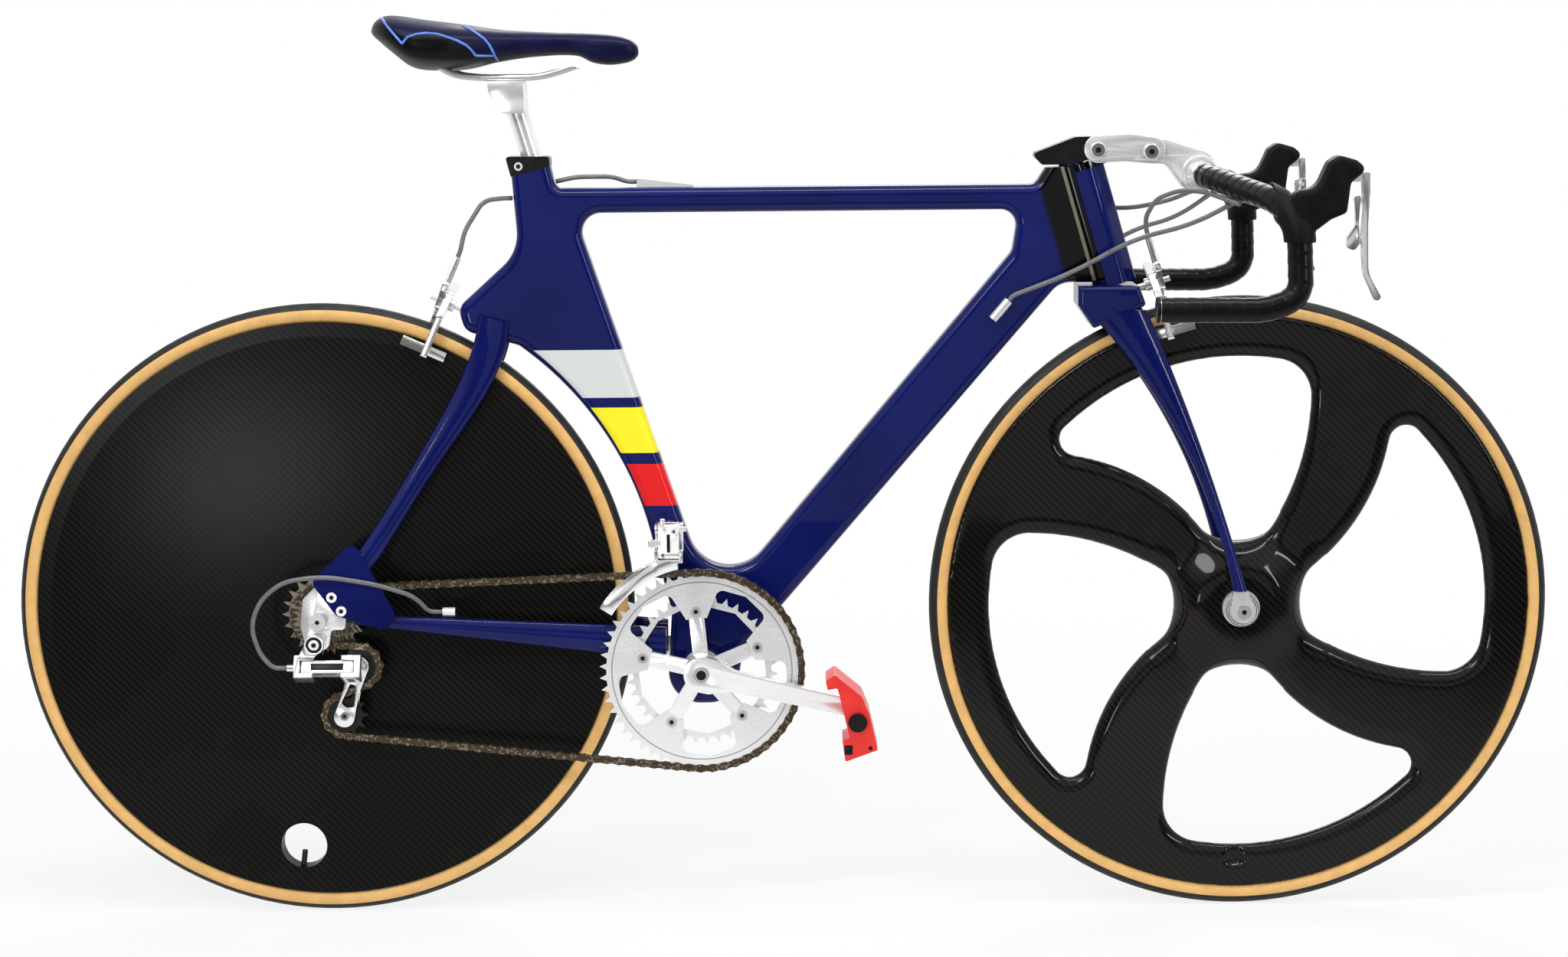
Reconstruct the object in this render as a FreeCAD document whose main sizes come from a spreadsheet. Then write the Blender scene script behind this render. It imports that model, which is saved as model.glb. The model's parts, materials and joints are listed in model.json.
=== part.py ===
"""Time trial bike: carbon frame, disc rear wheel, four-spoke front wheel. Millimetres, +X forward, +Z up."""

import FreeCAD, Part
import math
import os
from types import SimpleNamespace

Vector = FreeCAD.Vector
Placement = FreeCAD.Placement
Rotation = FreeCAD.Rotation

ALONG_X = Vector(1, 0, 0)
ALONG_Y = Vector(0, 1, 0)
ALONG_Z = Vector(0, 0, 1)
ORIGIN = Vector(0, 0, 0)
RIGHT = -1
LEFT = 1
SIDES = (RIGHT, LEFT)
HALF_CIRCLE = 180.0

SIZES = {
    # Fits
    "fit_gap": 0.05,
    "running_gap": 0.3,
    "cut_overrun": 1.0,
    # Frame layout
    "wheel_base": 987.0,
    "chainstay_length": 412.0,
    "bottom_bracket_drop": 62.0,
    "seat_setback": 176.0,
    "seat_top_height": 823.0,
    "seat_angle": 73.0,
    "head_angle": 74.0,
    "fork_rake": 43.0,
    "crown_rise": 16.0,
    "head_length": 129.0,
    "head_foot": 6.0,
    # Main frame
    "frame_width": 34.0,
    "frame_edge_radius": 10.0,
    "mast_depth": 46.7,
    "wheel_arch_gap": 28.0,
    "bracket_outer_radius": 43.0,
    "bracket_shell_radius": 23.0,
    "bracket_shell_width": 68.0,
    "bracket_bore_radius": 17.0,
    "head_tube_radius": 19.0,
    "steerer_radius": 13.0,
    "post_bore_depth": 190.0,
    "collar_height": 21.0,
    "collar_width": 32.0,
    "collar_bolt_radius": 4.5,
    # Rear triangle
    "hub_spacing_rear": 130.0,
    "dropout_thickness": 6.0,
    "seat_stay_width": 15.0,
    "chain_stay_width": 13.0,
    "yoke_thickness": 6.0,
    "dropout_bolt_radius": 5.5,
    "dropout_bolt_height": 1.5,
    "hanger_drop": 23.5,
    "hanger_setback": 3.6,
    "hanger_bolt_radius": 5.0,
    # Wheels
    "tyre_outer_radius": 334.0,
    "tyre_section_radius": 11.0,
    "rim_outer_radius": 314.0,
    "rim_half_width": 10.0,
    "brake_track_depth": 15.0,
    "disc_half_width": 16.0,
    "disc_hub_radius": 18.0,
    "disc_shoulder_radius": 62.0,
    "valve_window_radius": 25.0,
    "valve_window_reach": 262.0,
    "valve_window_angle": 263.0,
    "valve_radius": 3.0,
    "valve_length": 44.0,
    "front_valve_angle": 270.0,
    "spoke_inner_radius": 268.5,
    "spoke_half_width": 15.0,
    "front_hub_half_width": 32.0,
    "front_hub_block_radius": 44.0,
    "front_hub_skirt_radius": 76.0,
    "front_hub_radius": 14.0,
    "front_hub_cap_radius": 20.0,
    "front_hub_cap_width": 6.0,
    "front_hub_nose_radius": 9.0,
    "front_axle_radius": 4.5,
    "front_bolt_radius": 7.5,
    "front_bolt_height": 5.0,
    "hub_spacing_front": 100.0,
    "rear_axle_radius": 5.0,
    "rear_nut_radius": 9.0,
    "rear_nut_height": 9.0,
    "rear_hub_flange_radius": 26.0,
    "rear_hub_flange_width": 3.0,
    "rear_hub_nose_radius": 12.0,
    # Fork and stem
    "fairing_wall": 4.0,
    "fairing_gap": 1.2,
    "fairing_nose": 33.0,
    "fairing_top_drop": 7.0,
    "crown_half_width": 35.0,
    "crown_drop": 2.5,
    "crown_tyre_gap": 8.0,
    "crown_edge_radius": 6.0,
    "blade_top_height": 655.0,
    "blade_waist_height": 600.0,
    "blade_tip_height": 356.0,
    "blade_top_chord": 62.0,
    "blade_waist_chord": 40.0,
    "blade_tip_chord": 15.0,
    "blade_top_width": 20.0,
    "blade_waist_width": 17.0,
    "blade_tip_width": 11.0,
    "blade_top_offset": 25.5,
    "fork_tip_thickness": 7.0,
    "fork_tip_radius": 13.0,
    "stem_base_half_width": 14.0,
    "stem_base_height": 27.0,
    "stem_base_reach": 38.0,
    "stem_base_lift": 1.5,
    "stem_pivot_forward": 30.2,
    "stem_pivot_rise": 9.0,
    "stem_eye_radius": 13.0,
    "stem_cheek": 6.0,
    "stem_link_length": 56.5,
    "stem_link_drop": 2.3,
    "stem_link_end_radius": 14.6,
    "stem_bolt_radius": 5.0,
    "stem_bolt_head_radius": 8.0,
    "stem_bolt_head_height": 3.0,
    "bar_clamp_forward": 52.0,
    "bar_clamp_drop": 24.0,
    "bar_clamp_radius": 19.0,
    "bar_clamp_half_width": 21.0,
    # Handlebar
    "bar_radius": 12.0,
    "bar_tape_wall": 1.6,
    "bar_half_width": 212.0,
    "bar_tape_start": 46.0,
    "bar_plug_length": 4.0,
    "hood_offset": 205.0,
    "hood_width": 30.0,
    "hood_height": 72.0,
    "hood_edge_radius": 6.0,
    "hood_wall": 2.5,
    "lever_block_width": 11.0,
    "lever_blade_width": 11.0,
    "lever_blade_length": 122.0,
    "lever_pin_radius": 2.5,
    "lever_pin_length": 8.0,
    "paddle_width": 6.0,
    "paddle_offset": 9.5,
    "paddle_length": 50.0,
    "paddle_pin_radius": 2.0,
    # Saddle and post
    "post_radius": 11.0,
    "post_exposed": 62.0,
    "post_inserted": 150.0,
    "post_head_length": 44.0,
    "post_head_width": 52.0,
    "rail_radius": 3.5,
    "rail_half_spacing": 21.0,
    "saddle_length": 282.0,
    "saddle_half_width": 68.0,
    "saddle_depth": 58.0,
    "saddle_rise": 151.0,
    "saddle_tail_setback": 342.0,
    # Brakes
    "brake_tyre_gap": 26.0,
    "rear_brake_angle": 66.2,
    "front_brake_angle": 106.3,
    "brake_bolt_radius": 3.0,
    "brake_bolt_length": 27.0,
    "brake_bolt_root": 24.0,
    "brake_spacer": 5.0,
    "brake_spacer_radius": 7.0,
    "brake_arm_thickness": 7.0,
    "brake_pad_reach": 53.0,
    "brake_pad_gap": 2.4,
    "brake_pad_length": 50.0,
    "brake_pad_height": 10.0,
    "brake_pad_thickness": 8.0,
    "brake_arm_span": 24.0,
    "brake_adjuster_radius": 4.0,
    "brake_adjuster_height": 30.0,
    "brake_cable_offset": 17.0,
    # Cranks and pedals
    "crank_length": 170.0,
    "crank_angle": -12.9,
    "crank_inner": 57.0,
    "crank_thickness": 13.0,
    "crank_boss_radius": 19.0,
    "crank_eye_radius": 13.0,
    "spindle_radius": 8.5,
    "crank_bolt_radius": 8.0,
    "crank_bolt_height": 2.0,
    "cup_flange_radius": 21.0,
    "cup_flange_width": 2.5,
    "cup_depth": 14.0,
    "chain_line": 46.2,
    "ring_spacing": 7.5,
    "sprocket_thickness": 2.0,
    "bolt_circle_radius": 65.0,
    "ring_inner_radius": 58.0,
    "ring_bolt_radius": 4.0,
    "ring_bolt_head_radius": 5.5,
    "ring_bolt_head_height": 1.2,
    "spider_arm_width": 17.0,
    "spider_tab_radius": 8.0,
    "pedal_axle_radius": 5.0,
    "pedal_axle_length": 84.0,
    "pedal_barrel_radius": 11.0,
    "pedal_body_width": 52.0,
    "pedal_body_start": 14.0,
    "pedal_height": 95.0,
    # Chain and sprockets
    "chain_pitch": 12.7,
    "roller_radius": 3.8,
    "chain_inner_gap": 1.3,
    "chain_plate": 1.0,
    "chain_plate_gap": 0.15,
    "chain_plate_height": 8.4,
    "tooth_rise": 3.0,
    "tooth_root": 4.3,
    "tooth_valley_half": 2.7,
    "cog_spacing": 4.8,
    "freehub_radius": 17.0,
    "lockring_radius": 19.0,
    # Rear derailleur
    "guide_forward": 38.5,
    "guide_drop": 54.0,
    "pulley_spacing": 55.8,
    "pulley_body_radius": 7.0,
    "pulley_bolt_radius": 3.0,
    "cage_half_gap": 6.0,
    "cage_plate": 1.6,
    "cage_radius": 12.0,
    "upper_knuckle_thickness": 13.0,
    "upper_knuckle_radius": 10.5,
    "link_length": 44.0,
    "link_height": 14.0,
    "link_thickness": 6.0,
    "link_gap": 9.0,
    "link_pin_radius": 2.2,
    "link_ear": 5.0,
    "link_wall": 6.0,
    "link_wall_margin": 2.0,
    "link_rear_setback": 9.0,
    "link_rear_drop": 25.5,
    "link_outboard": 79.0,
    "cable_barrel_radius": 4.0,
    "cable_barrel_length": 14.0,
    "cage_pivot_radius": 5.0,
    "cage_bearing_radius": 10.0,
    "cage_bearing_width": 8.5,
    "derailleur_slant": 27.0,
    # Front derailleur
    "shifter_rise": 153.0,
    "shifter_setback": 34.0,
    "shifter_bracket_length": 30.0,
    "shifter_bracket_height": 26.0,
    "shifter_bracket_depth": 10.0,
    "shifter_link_drop": 26.0,
    "shifter_link_out": 14.0,
    "shifter_link_radius": 5.0,
    "shifter_link_length": 22.0,
    "shifter_pin_radius": 2.0,
    "shifter_ring_gap": 8.0,
    "shifter_plate": 1.2,
    "shifter_half_gap": 5.5,
    "shifter_plate_height": 15.0,
    # Cables
    "housing_radius": 2.5,
    "cable_stop_height": 8.0,
    "cable_stop_width": 10.0,
    "boss_radius": 5.0,
    "boss_length": 26.0,
}

COG_TEETH = (12, 13, 14, 15, 16, 17, 19, 21)
DRIVEN_COG = 3
OUTER_RING_TEETH = 53
INNER_RING_TEETH = 39
PULLEY_TEETH = 11
SPIDER_ARMS = 5
WHEEL_SPOKES = 4

doc = FreeCAD.newDocument("TimeTrialBike")
sheet = doc.addObject("Spreadsheet::Sheet", "Sizes")
for row, (alias, value) in enumerate(SIZES.items(), start=1):
    sheet.set(f"A{row}", alias)
    sheet.set(f"B{row}", str(value))
    sheet.setAlias(f"B{row}", alias)
doc.recompute()
mm = SimpleNamespace(**{alias: float(getattr(sheet, alias)) for alias in SIZES})

NODES = {}


# Document helpers


def keep(item, label):
    """Name a finished sub-part and list it for writing."""
    item.Label = label
    NODES[label] = item
    return item


def bind(item, **expressions):
    """Tie properties to the sheet, as in Radius="Sizes.bar_radius"."""
    for name, expression in expressions.items():
        item.setExpression(name.replace("__", "."), expression)
    return item


def place(item, base=ORIGIN, axis=ALONG_Y, angle=0.0):
    item.Placement = Placement(base, Rotation(axis, angle))
    return item


def feature(name, shape, placement=None):
    """A sub-part whose shape is worked out here."""
    item = doc.addObject("Part::Feature", name)
    item.Shape = shape
    if placement:
        item.Placement = placement
    return item


def fuse(name, pieces):
    item = doc.addObject("Part::MultiFuse", name)
    item.Shapes = pieces
    item.Refine = True
    return item


def cut(name, base, tool):
    item = doc.addObject("Part::Cut", name)
    item.Base = base
    item.Tool = tool
    item.Refine = True
    return item


def group(name, pieces):
    """Alike solids in one sub-part."""
    item = doc.addObject("Part::Compound", name)
    item.Links = pieces
    return item


def mirrored(name, source):
    """The same piece on the other side of the bike."""
    item = doc.addObject("Part::Mirroring", name)
    item.Source = source
    item.Normal = ALONG_Y
    item.Base = ORIGIN
    return item


def pair(name, right_piece):
    return group(name, [right_piece, mirrored(name + "_mirror", right_piece)])


def cylinder(name, radius, height, base=ORIGIN, direction=ALONG_Z):
    """A round bar; radius and height are sheet expressions."""
    item = doc.addObject("Part::Cylinder", name)
    bind(item, Radius=radius, Height=height)
    item.Placement = Placement(base, Rotation(ALONG_Z, direction))
    return item


# Outline helpers


def outline(points, closed=True):
    """Lines through (x, y, radius) points, with a tangent arc at each point that has a radius."""
    corners = []
    count = len(points)
    for index, (x, y, radius) in enumerate(points):
        here = Vector(x, y, 0)
        at_end = not closed and index in (0, count - 1)
        if radius == 0 or at_end:
            corners.append((here, None, here))
            continue
        back = (Vector(*points[index - 1][:2], 0) - here).normalize()
        ahead = (Vector(*points[(index + 1) % count][:2], 0) - here).normalize()
        half = back.getAngle(ahead) / 2
        reach = radius / math.tan(half)
        crest = here + (back + ahead).normalize() * (radius / math.sin(half) - radius)
        corners.append((here + back * reach, crest, here + ahead * reach))
    edges = []
    for index, (start, crest, end) in enumerate(corners):
        if crest:
            edges.append(Part.Arc(start, crest, end))
        last = index == count - 1
        if last and not closed:
            break
        following = corners[(index + 1) % count][0]
        if end.distanceToPoint(following) > Part.Precision.confusion():
            edges.append(Part.LineSegment(end, following))
    return edges


def scaled(shares, unit, base=(0.0, 0.0)):
    """Turn (x, y, radius) shares into lengths."""
    return [(base[0] + x * unit, base[1] + y * unit, r * unit) for x, y, r in shares]


def circle(x, y, radius):
    return [Part.Circle(Vector(x, y, 0), ALONG_Z, radius)]


def rectangle(x0, y0, x1, y1):
    return outline([(x0, y0, 0), (x1, y0, 0), (x1, y1, 0), (x0, y1, 0)])


def face_of(edges):
    return Part.Face(Part.Wire([edge.toShape() for edge in edges]))


# Body helpers


def new_body(name):
    return doc.addObject("PartDesign::Body", name)


def sketch(body, plane, edges, offset=ORIGIN):
    """A profile on one of the body's own planes; on XZ the offset's z runs towards the drive side."""
    item = body.newObject("Sketcher::SketchObject", body.Name + "Sketch")
    support = [f for f in body.Origin.OriginFeatures if f.Role == plane][0]
    item.AttachmentSupport = [(support, "")]
    item.MapMode = "FlatFace"
    item.AttachmentOffset = Placement(offset, Rotation())
    for edge in edges:
        item.addGeometry(edge, False)
    return item


def pad(body, edges, length, plane="XZ_Plane", offset=ORIGIN, symmetric=False):
    profile = sketch(body, plane, edges, offset)
    item = body.newObject("PartDesign::Pad", body.Name + "Pad")
    item.Profile = profile
    item.SideType = "Symmetric" if symmetric else "One side"
    bind(item, Length=length)
    return item


def pocket(body, edges, length, plane="XZ_Plane", offset=ORIGIN):
    """A cut as long each side of its sketch."""
    profile = sketch(body, plane, edges, offset)
    item = body.newObject("PartDesign::Pocket", body.Name + "Pocket")
    item.Profile = profile
    item.SideType = "Symmetric"
    bind(item, Length=length)
    return item


def turned(body, edges, plane="XY_Plane"):
    """A full turn about the sketch's upright axis, which is the bike's Y axis on XY."""
    profile = sketch(body, plane, edges)
    item = body.newObject("PartDesign::Revolution", body.Name + "Turn")
    item.Profile = profile
    item.ReferenceAxis = (profile, ["V_Axis"])
    item.Angle = 2 * HALF_CIRCLE
    return item


def rounded(body, chosen, radius):
    """Round the edges of the body's last feature for which chosen(edge) is true."""
    doc.recompute()
    base = body.Tip
    names = [f"Edge{i}" for i, edge in enumerate(base.Shape.Edges, start=1) if chosen(edge)]
    item = body.newObject("PartDesign::Fillet", body.Name + "Fillet")
    item.Base = (base, names)
    bind(item, Radius=radius)
    return item


def on_side(half_width):
    """True for edges that lie flat on either side face of a symmetric pad."""

    def test(edge):
        ends = [vertex.Y for vertex in edge.Vertexes]
        return all(abs(abs(y) - half_width) < Part.Precision.confusion() for y in ends) and ends[0] * ends[-1] > 0

    return test


# Layout


def polar(centre, angle, reach):
    turn = math.radians(angle)
    return (centre[0] + reach * math.cos(turn), centre[1] + reach * math.sin(turn))


def at(point, y=0.0):
    return Vector(point[0], y, point[1])


REAR_AXLE = (-mm.wheel_base / 2, mm.tyre_outer_radius)
FRONT_AXLE = (mm.wheel_base / 2, mm.tyre_outer_radius)
BRACKET = (
    REAR_AXLE[0] + math.sqrt(mm.chainstay_length**2 - mm.bottom_bracket_drop**2),
    mm.tyre_outer_radius - mm.bottom_bracket_drop,
)
SEAT_TOP = (BRACKET[0] - mm.seat_setback, mm.seat_top_height)
SEAT_UP = Vector(-math.cos(math.radians(mm.seat_angle)), 0, math.sin(math.radians(mm.seat_angle)))
HEAD_SLOPE = math.radians(mm.head_angle)
STEER_UP = Vector(-math.cos(HEAD_SLOPE), 0, math.sin(HEAD_SLOPE))
STEER_FORWARD = Vector(math.sin(HEAD_SLOPE), 0, math.cos(HEAD_SLOPE))
AXIS_AT_AXLE = FRONT_AXLE[0] - mm.fork_rake / math.sin(HEAD_SLOPE)
HEAD_TOP_HEIGHT = 2 * mm.tyre_outer_radius + mm.crown_rise + mm.head_length * STEER_UP.z
HEAD_TOP = (AXIS_AT_AXLE - (HEAD_TOP_HEIGHT - mm.tyre_outer_radius) / math.tan(HEAD_SLOPE), HEAD_TOP_HEIGHT)
HEAD_BOTTOM = (HEAD_TOP[0] - STEER_UP.x * mm.head_length, HEAD_TOP[1] - STEER_UP.z * mm.head_length)
STEER_FRAME = Placement(at(HEAD_BOTTOM), Rotation(ALONG_Y, mm.head_angle - HALF_CIRCLE / 2))


def steered(forward, rise, y=0.0):
    """A point given along and ahead of the steering axis, from the foot of the head tube."""
    return at(HEAD_BOTTOM, y) + STEER_FORWARD * forward + STEER_UP * rise


# Main frame. Outline points are shares of a size at the anchor that they follow.

FRAME_OUTER_SHARES = (
    ("seat", -0.46, -0.46, 0.0),
    ("seat", 0.43, -0.225, 0.0),
    ("seat", 0.546, -0.728, 0.2),
    ("head", -0.305, -0.147, 0.09),
    ("head", -0.22, -0.012, 0.0),
    ("head", 0.0, 0.0, 0.0),
    ("head", 0.2756, -0.9613, 0.0),
    ("head", -0.1, -0.961, 0.2),
    ("bracket", 1.02, 0.35, 0.5),
    ("bracket", 0.79, -1.0, 0.75),
    ("bracket", -0.93, -1.0, 0.8),
    ("bracket", -0.77, 1.35, 1.2),
)
ARCH_ANGLES = (14.0, 51.0)
GUSSET_SHARES = (
    (-0.36, -4.32, 0.25),
    (-1.60, -3.98, 0.34),
    (-1.75, -3.44, 0.34),
    (-0.33, -2.16, 1.0),
)
FRAME_INNER_SHARES = (
    ("seat", 0.95, -1.30, 0.45),
    ("head", -0.44, -0.354, 0.13),
    ("head", -0.495, -0.70, 0.12),
    ("bracket", 0.30, 1.44, 1.05),
)


def frame_points(shares):
    anchors = {
        "seat": (SEAT_TOP, mm.mast_depth),
        "head": (HEAD_TOP, mm.head_length),
        "bracket": (BRACKET, mm.bracket_outer_radius),
    }
    points = []
    for anchor, x, z, radius in shares:
        centre, unit = anchors[anchor]
        points.append((centre[0] + x * unit, centre[1] + z * unit, radius * unit))
    return points


def arch_corner():
    """The corner whose rounding follows the rear wheel."""
    reach = mm.tyre_outer_radius + mm.wheel_arch_gap
    middle = sum(ARCH_ANGLES) / 2
    half = math.radians((ARCH_ANGLES[1] - ARCH_ANGLES[0]) / 2)
    x, z = polar(REAR_AXLE, middle, reach / math.cos(half))
    return (x, z, reach)


def main_frame():
    gusset = scaled(GUSSET_SHARES, mm.mast_depth, SEAT_TOP)
    outer = frame_points(FRAME_OUTER_SHARES) + [arch_corner()] + gusset
    inner = frame_points(FRAME_INNER_SHARES)
    monocoque = new_body("Monocoque")
    pad(monocoque, outline(outer) + outline(inner), "Sizes.frame_width", symmetric=True)
    flat_ends = [(0, 1), (4, 5), (5, 6), (6, 7)]
    middles = [Vector((outer[a][0] + outer[b][0]) / 2, 0, (outer[a][1] + outer[b][1]) / 2) for a, b in flat_ends]
    flat = on_side(mm.frame_width / 2)

    def long_edge(edge):
        if not flat(edge):
            return False
        centre = edge.valueAt((edge.FirstParameter + edge.LastParameter) / 2)
        centre.y = 0
        return all(edge.distToShape(Part.Vertex(m.x, edge.Vertexes[0].Y, m.z))[0] > mm.cut_overrun for m in middles)

    rounded(monocoque, long_edge, "Sizes.frame_edge_radius")
    shell_start = at(BRACKET, -mm.bracket_shell_width / 2)
    shell = cylinder("BracketShell", "Sizes.bracket_shell_radius", "Sizes.bracket_shell_width", shell_start, ALONG_Y)
    head = cylinder(
        "HeadTube", "Sizes.head_tube_radius", "Sizes.head_length - Sizes.head_foot",
        steered(0, mm.head_foot), STEER_UP)
    solid = fuse("FrameSolid", [monocoque, shell, head])
    bracket_bore = cylinder(
        "BracketBore", "Sizes.bracket_bore_radius + Sizes.fit_gap", "Sizes.bracket_shell_width * 2",
        at(BRACKET, -mm.bracket_shell_width), ALONG_Y)
    head_bore = cylinder(
        "HeadBore", "Sizes.steerer_radius + Sizes.running_gap", "Sizes.head_length * 2",
        steered(0, -mm.head_length / 2), STEER_UP)
    post_bore = cylinder(
        "PostBore", "Sizes.post_radius + Sizes.fit_gap", "Sizes.post_bore_depth + Sizes.collar_height",
        at(SEAT_TOP) - SEAT_UP * mm.post_bore_depth, SEAT_UP)
    bolt_bore = cylinder(
        "BrakeBoltBore", "Sizes.brake_bolt_radius + Sizes.fit_gap", "Sizes.brake_bolt_root + Sizes.cut_overrun",
        brake_point(REAR_AXLE, mm.rear_brake_angle, -mm.brake_bolt_root - mm.cut_overrun),
        brake_outward(mm.rear_brake_angle, LEFT))
    bores = fuse("FrameBores", [bracket_bore, head_bore, post_bore, bolt_bore])
    return keep(cut("MainFrame", solid, bores), "main_frame")


COLLAR_SHARES = (
    (-0.58, 0.0, 0.06),
    (0.42, 0.0, 0.06),
    (0.43, -0.222, 0.0),
    (-0.46, -0.455, 0.0),
)


def seat_collar():
    band = new_body("Collar")
    pad(band, outline(scaled(COLLAR_SHARES, mm.mast_depth, SEAT_TOP)), "Sizes.collar_width", symmetric=True)
    bore = cylinder(
        "CollarBore", "Sizes.post_radius + Sizes.fit_gap", "Sizes.collar_height * 4",
        at(SEAT_TOP) - SEAT_UP * (2 * mm.collar_height), SEAT_UP)
    return keep(cut("SeatCollar", band, bore), "seat_collar")


# Rear triangle

SEAT_STAY_SHARES = (
    (0.565, 0.95, 1.15, 0.27),
    (0.52, 0.78, 1.10, 0.33),
    (0.365, 0.52, 0.80, 0.60),
    (0.235, 0.315, 0.72, 0.86),
    (0.072, 0.105, 0.70, 1.06),
)


def ellipse_wire(centre, long_axis, half_long, half_short):
    """An ellipse whose short axis runs across the bike."""
    ends = [centre + long_axis * half_long, centre + ALONG_Y * half_short]
    if half_short > half_long:
        ends = [ends[1], centre - long_axis * half_long]
    return Part.Wire([Part.Ellipse(*ends, centre).toShape()])


def seat_stay():
    """The right stay, lofted from the gusset over the tyre down to the dropout."""
    reach = mm.tyre_outer_radius
    inner = mm.hub_spacing_rear / 2
    sections = []
    centres = []
    for forward, rise, depth, spread in SEAT_STAY_SHARES:
        x = REAR_AXLE[0] + forward * reach
        z = REAR_AXLE[1] + rise * reach
        centres.append((Vector(x, RIGHT * spread * inner, z), depth * 2 * mm.seat_stay_width))
    for index, (centre, depth) in enumerate(centres):
        before = centres[max(index - 1, 0)][0]
        after = centres[min(index + 1, len(centres) - 1)][0]
        along = after - before
        along.y = 0
        across = Vector(-along.z, 0, along.x).normalize()
        sections.append(ellipse_wire(centre, across, depth / 2, mm.seat_stay_width / 2))
    return Part.makeLoft(sections, True, False)


YOKE_SHARES = (
    (0.12, 0.26, 0.03),
    (-0.02, 0.13, 0.03),
    (0.06, 0.02, 0.03),
    (0.22, -0.03, 0.03),
    (0.25, 0.02, 0.03),
)


def yoke():
    unit = mm.tyre_outer_radius
    start = mm.hub_spacing_rear / 2 + mm.dropout_thickness
    plate = face_of(outline(scaled(YOKE_SHARES, unit, REAR_AXLE)))
    plate.rotate(ORIGIN, ALONG_X, HALF_CIRCLE / 2)
    plate.translate(Vector(0, -start, 0))
    return plate.extrude(Vector(0, -mm.yoke_thickness, 0))


def chain_stay():
    """The right stay, lofted from the bottom bracket to the dropout."""
    inner = mm.hub_spacing_rear / 2
    width = mm.chain_stay_width
    front = Vector(BRACKET[0] - mm.bracket_outer_radius * 0.9, RIGHT * inner * 0.38, BRACKET[1] + width * 2)
    rear = Vector(REAR_AXLE[0] + width * 3, RIGHT * inner * 1.06, REAR_AXLE[1] + width * 0.1)
    start = ellipse_wire(front, ALONG_Z, width * 1.4, width / 2)
    end = ellipse_wire(rear, ALONG_Z, width * 0.45, width / 2)
    return Part.makeLoft([start, end], True, True)


DROPOUT_SHARES = (
    (-0.9, 1.3, 0.3),
    (0.1, 2.3, 0.3),
    (1.75, 1.0, 0.3),
    (1.55, -0.55, 0.25),
    (0.75, -0.55, 0.2),
    (0.55, -1.75, 0.45),
    (-0.75, -1.75, 0.6),
    (-1.05, -0.3, 0.5),
)


def dropout_plate():
    plate = new_body("Dropout")
    start = mm.hub_spacing_rear / 2
    edges = outline(scaled(DROPOUT_SHARES, 2 * mm.rear_nut_radius, REAR_AXLE))
    axle_hole = circle(REAR_AXLE[0], REAR_AXLE[1], mm.rear_axle_radius + mm.fit_gap)
    hanger = circle(HANGER[0], HANGER[1], mm.hanger_bolt_radius + mm.fit_gap)
    pad(plate, edges + axle_hole + hanger, "Sizes.dropout_thickness", offset=Vector(0, 0, start))
    return plate


HANGER = (REAR_AXLE[0] - mm.hanger_setback, REAR_AXLE[1] - mm.hanger_drop)
DROPOUT_BOLTS = (
    (REAR_AXLE[0] + 1.75 * mm.rear_nut_radius, REAR_AXLE[1] + 2.95 * mm.rear_nut_radius),
    (REAR_AXLE[0] + 2.85 * mm.rear_nut_radius, REAR_AXLE[1] + 1.3 * mm.rear_nut_radius),
)


def rear_triangle():
    plate = dropout_plate()
    keep(pair("Dropouts", plate), "dropouts")
    frame = NODES["main_frame"]
    stay = feature("SeatStaySolid", seat_stay().fuse(yoke()))
    trimmed = cut("SeatStayRight", stay, fuse("SeatStayTrim", [frame, plate]))
    keep(pair("SeatStays", trimmed), "seat_stays")
    lower = feature("ChainStaySolid", chain_stay())
    lower_trimmed = cut("ChainStayRight", lower, fuse("ChainStayTrim", [frame, plate, trimmed]))
    keep(pair("ChainStays", lower_trimmed), "chain_stays")


# Brakes, in a frame of their own: x along the pivot bolt, away from the frame; z away from the axle


def brake_outward(angle, forward):
    """Unit direction of a brake bolt, tangent to the wheel."""
    turn = math.radians(angle)
    return Vector(-math.sin(turn) * forward, 0, math.cos(turn) * forward)


def brake_point(axle, angle, along):
    """A point on a brake bolt; the front brake faces forward and the rear one backward."""
    forward = RIGHT if axle == FRONT_AXLE else LEFT
    reach = mm.tyre_outer_radius + mm.brake_tyre_gap
    return at(polar(axle, angle, reach)) + brake_outward(angle, forward) * along


def brake_frame(axle, angle):
    """Placement that carries the brake's own frame to its wheel."""
    turn = HALF_CIRCLE / 2 - angle
    tilt = Rotation(ALONG_Y, turn)
    if axle == REAR_AXLE:
        tilt = tilt.multiply(Rotation(ALONG_Z, HALF_CIRCLE))
    return Placement(brake_point(axle, angle, 0), tilt)


ARM_OUTER_SHARES = (
    (-0.5, 0.45, 0.3),
    (0.55, 0.55, 0.3),
    (1.28, -0.5, 0.5),
    (1.2, -2.05, 0.2),
    (1.2, -2.55, 0.15),
    (0.68, -2.55, 0.15),
    (0.68, -1.95, 0.2),
    (0.72, -0.9, 0.4),
    (0.3, -0.42, 0.2),
    (-0.35, -0.42, 0.25),
)
ARM_LEVER_SHARES = (
    (-0.95, 0.55, 0.12),
    (-0.95, 0.95, 0.12),
    (-0.5, 0.95, 0.12),
    (0.3, 0.35, 0.1),
    (0.0, -0.2, 0.1),
)


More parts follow.
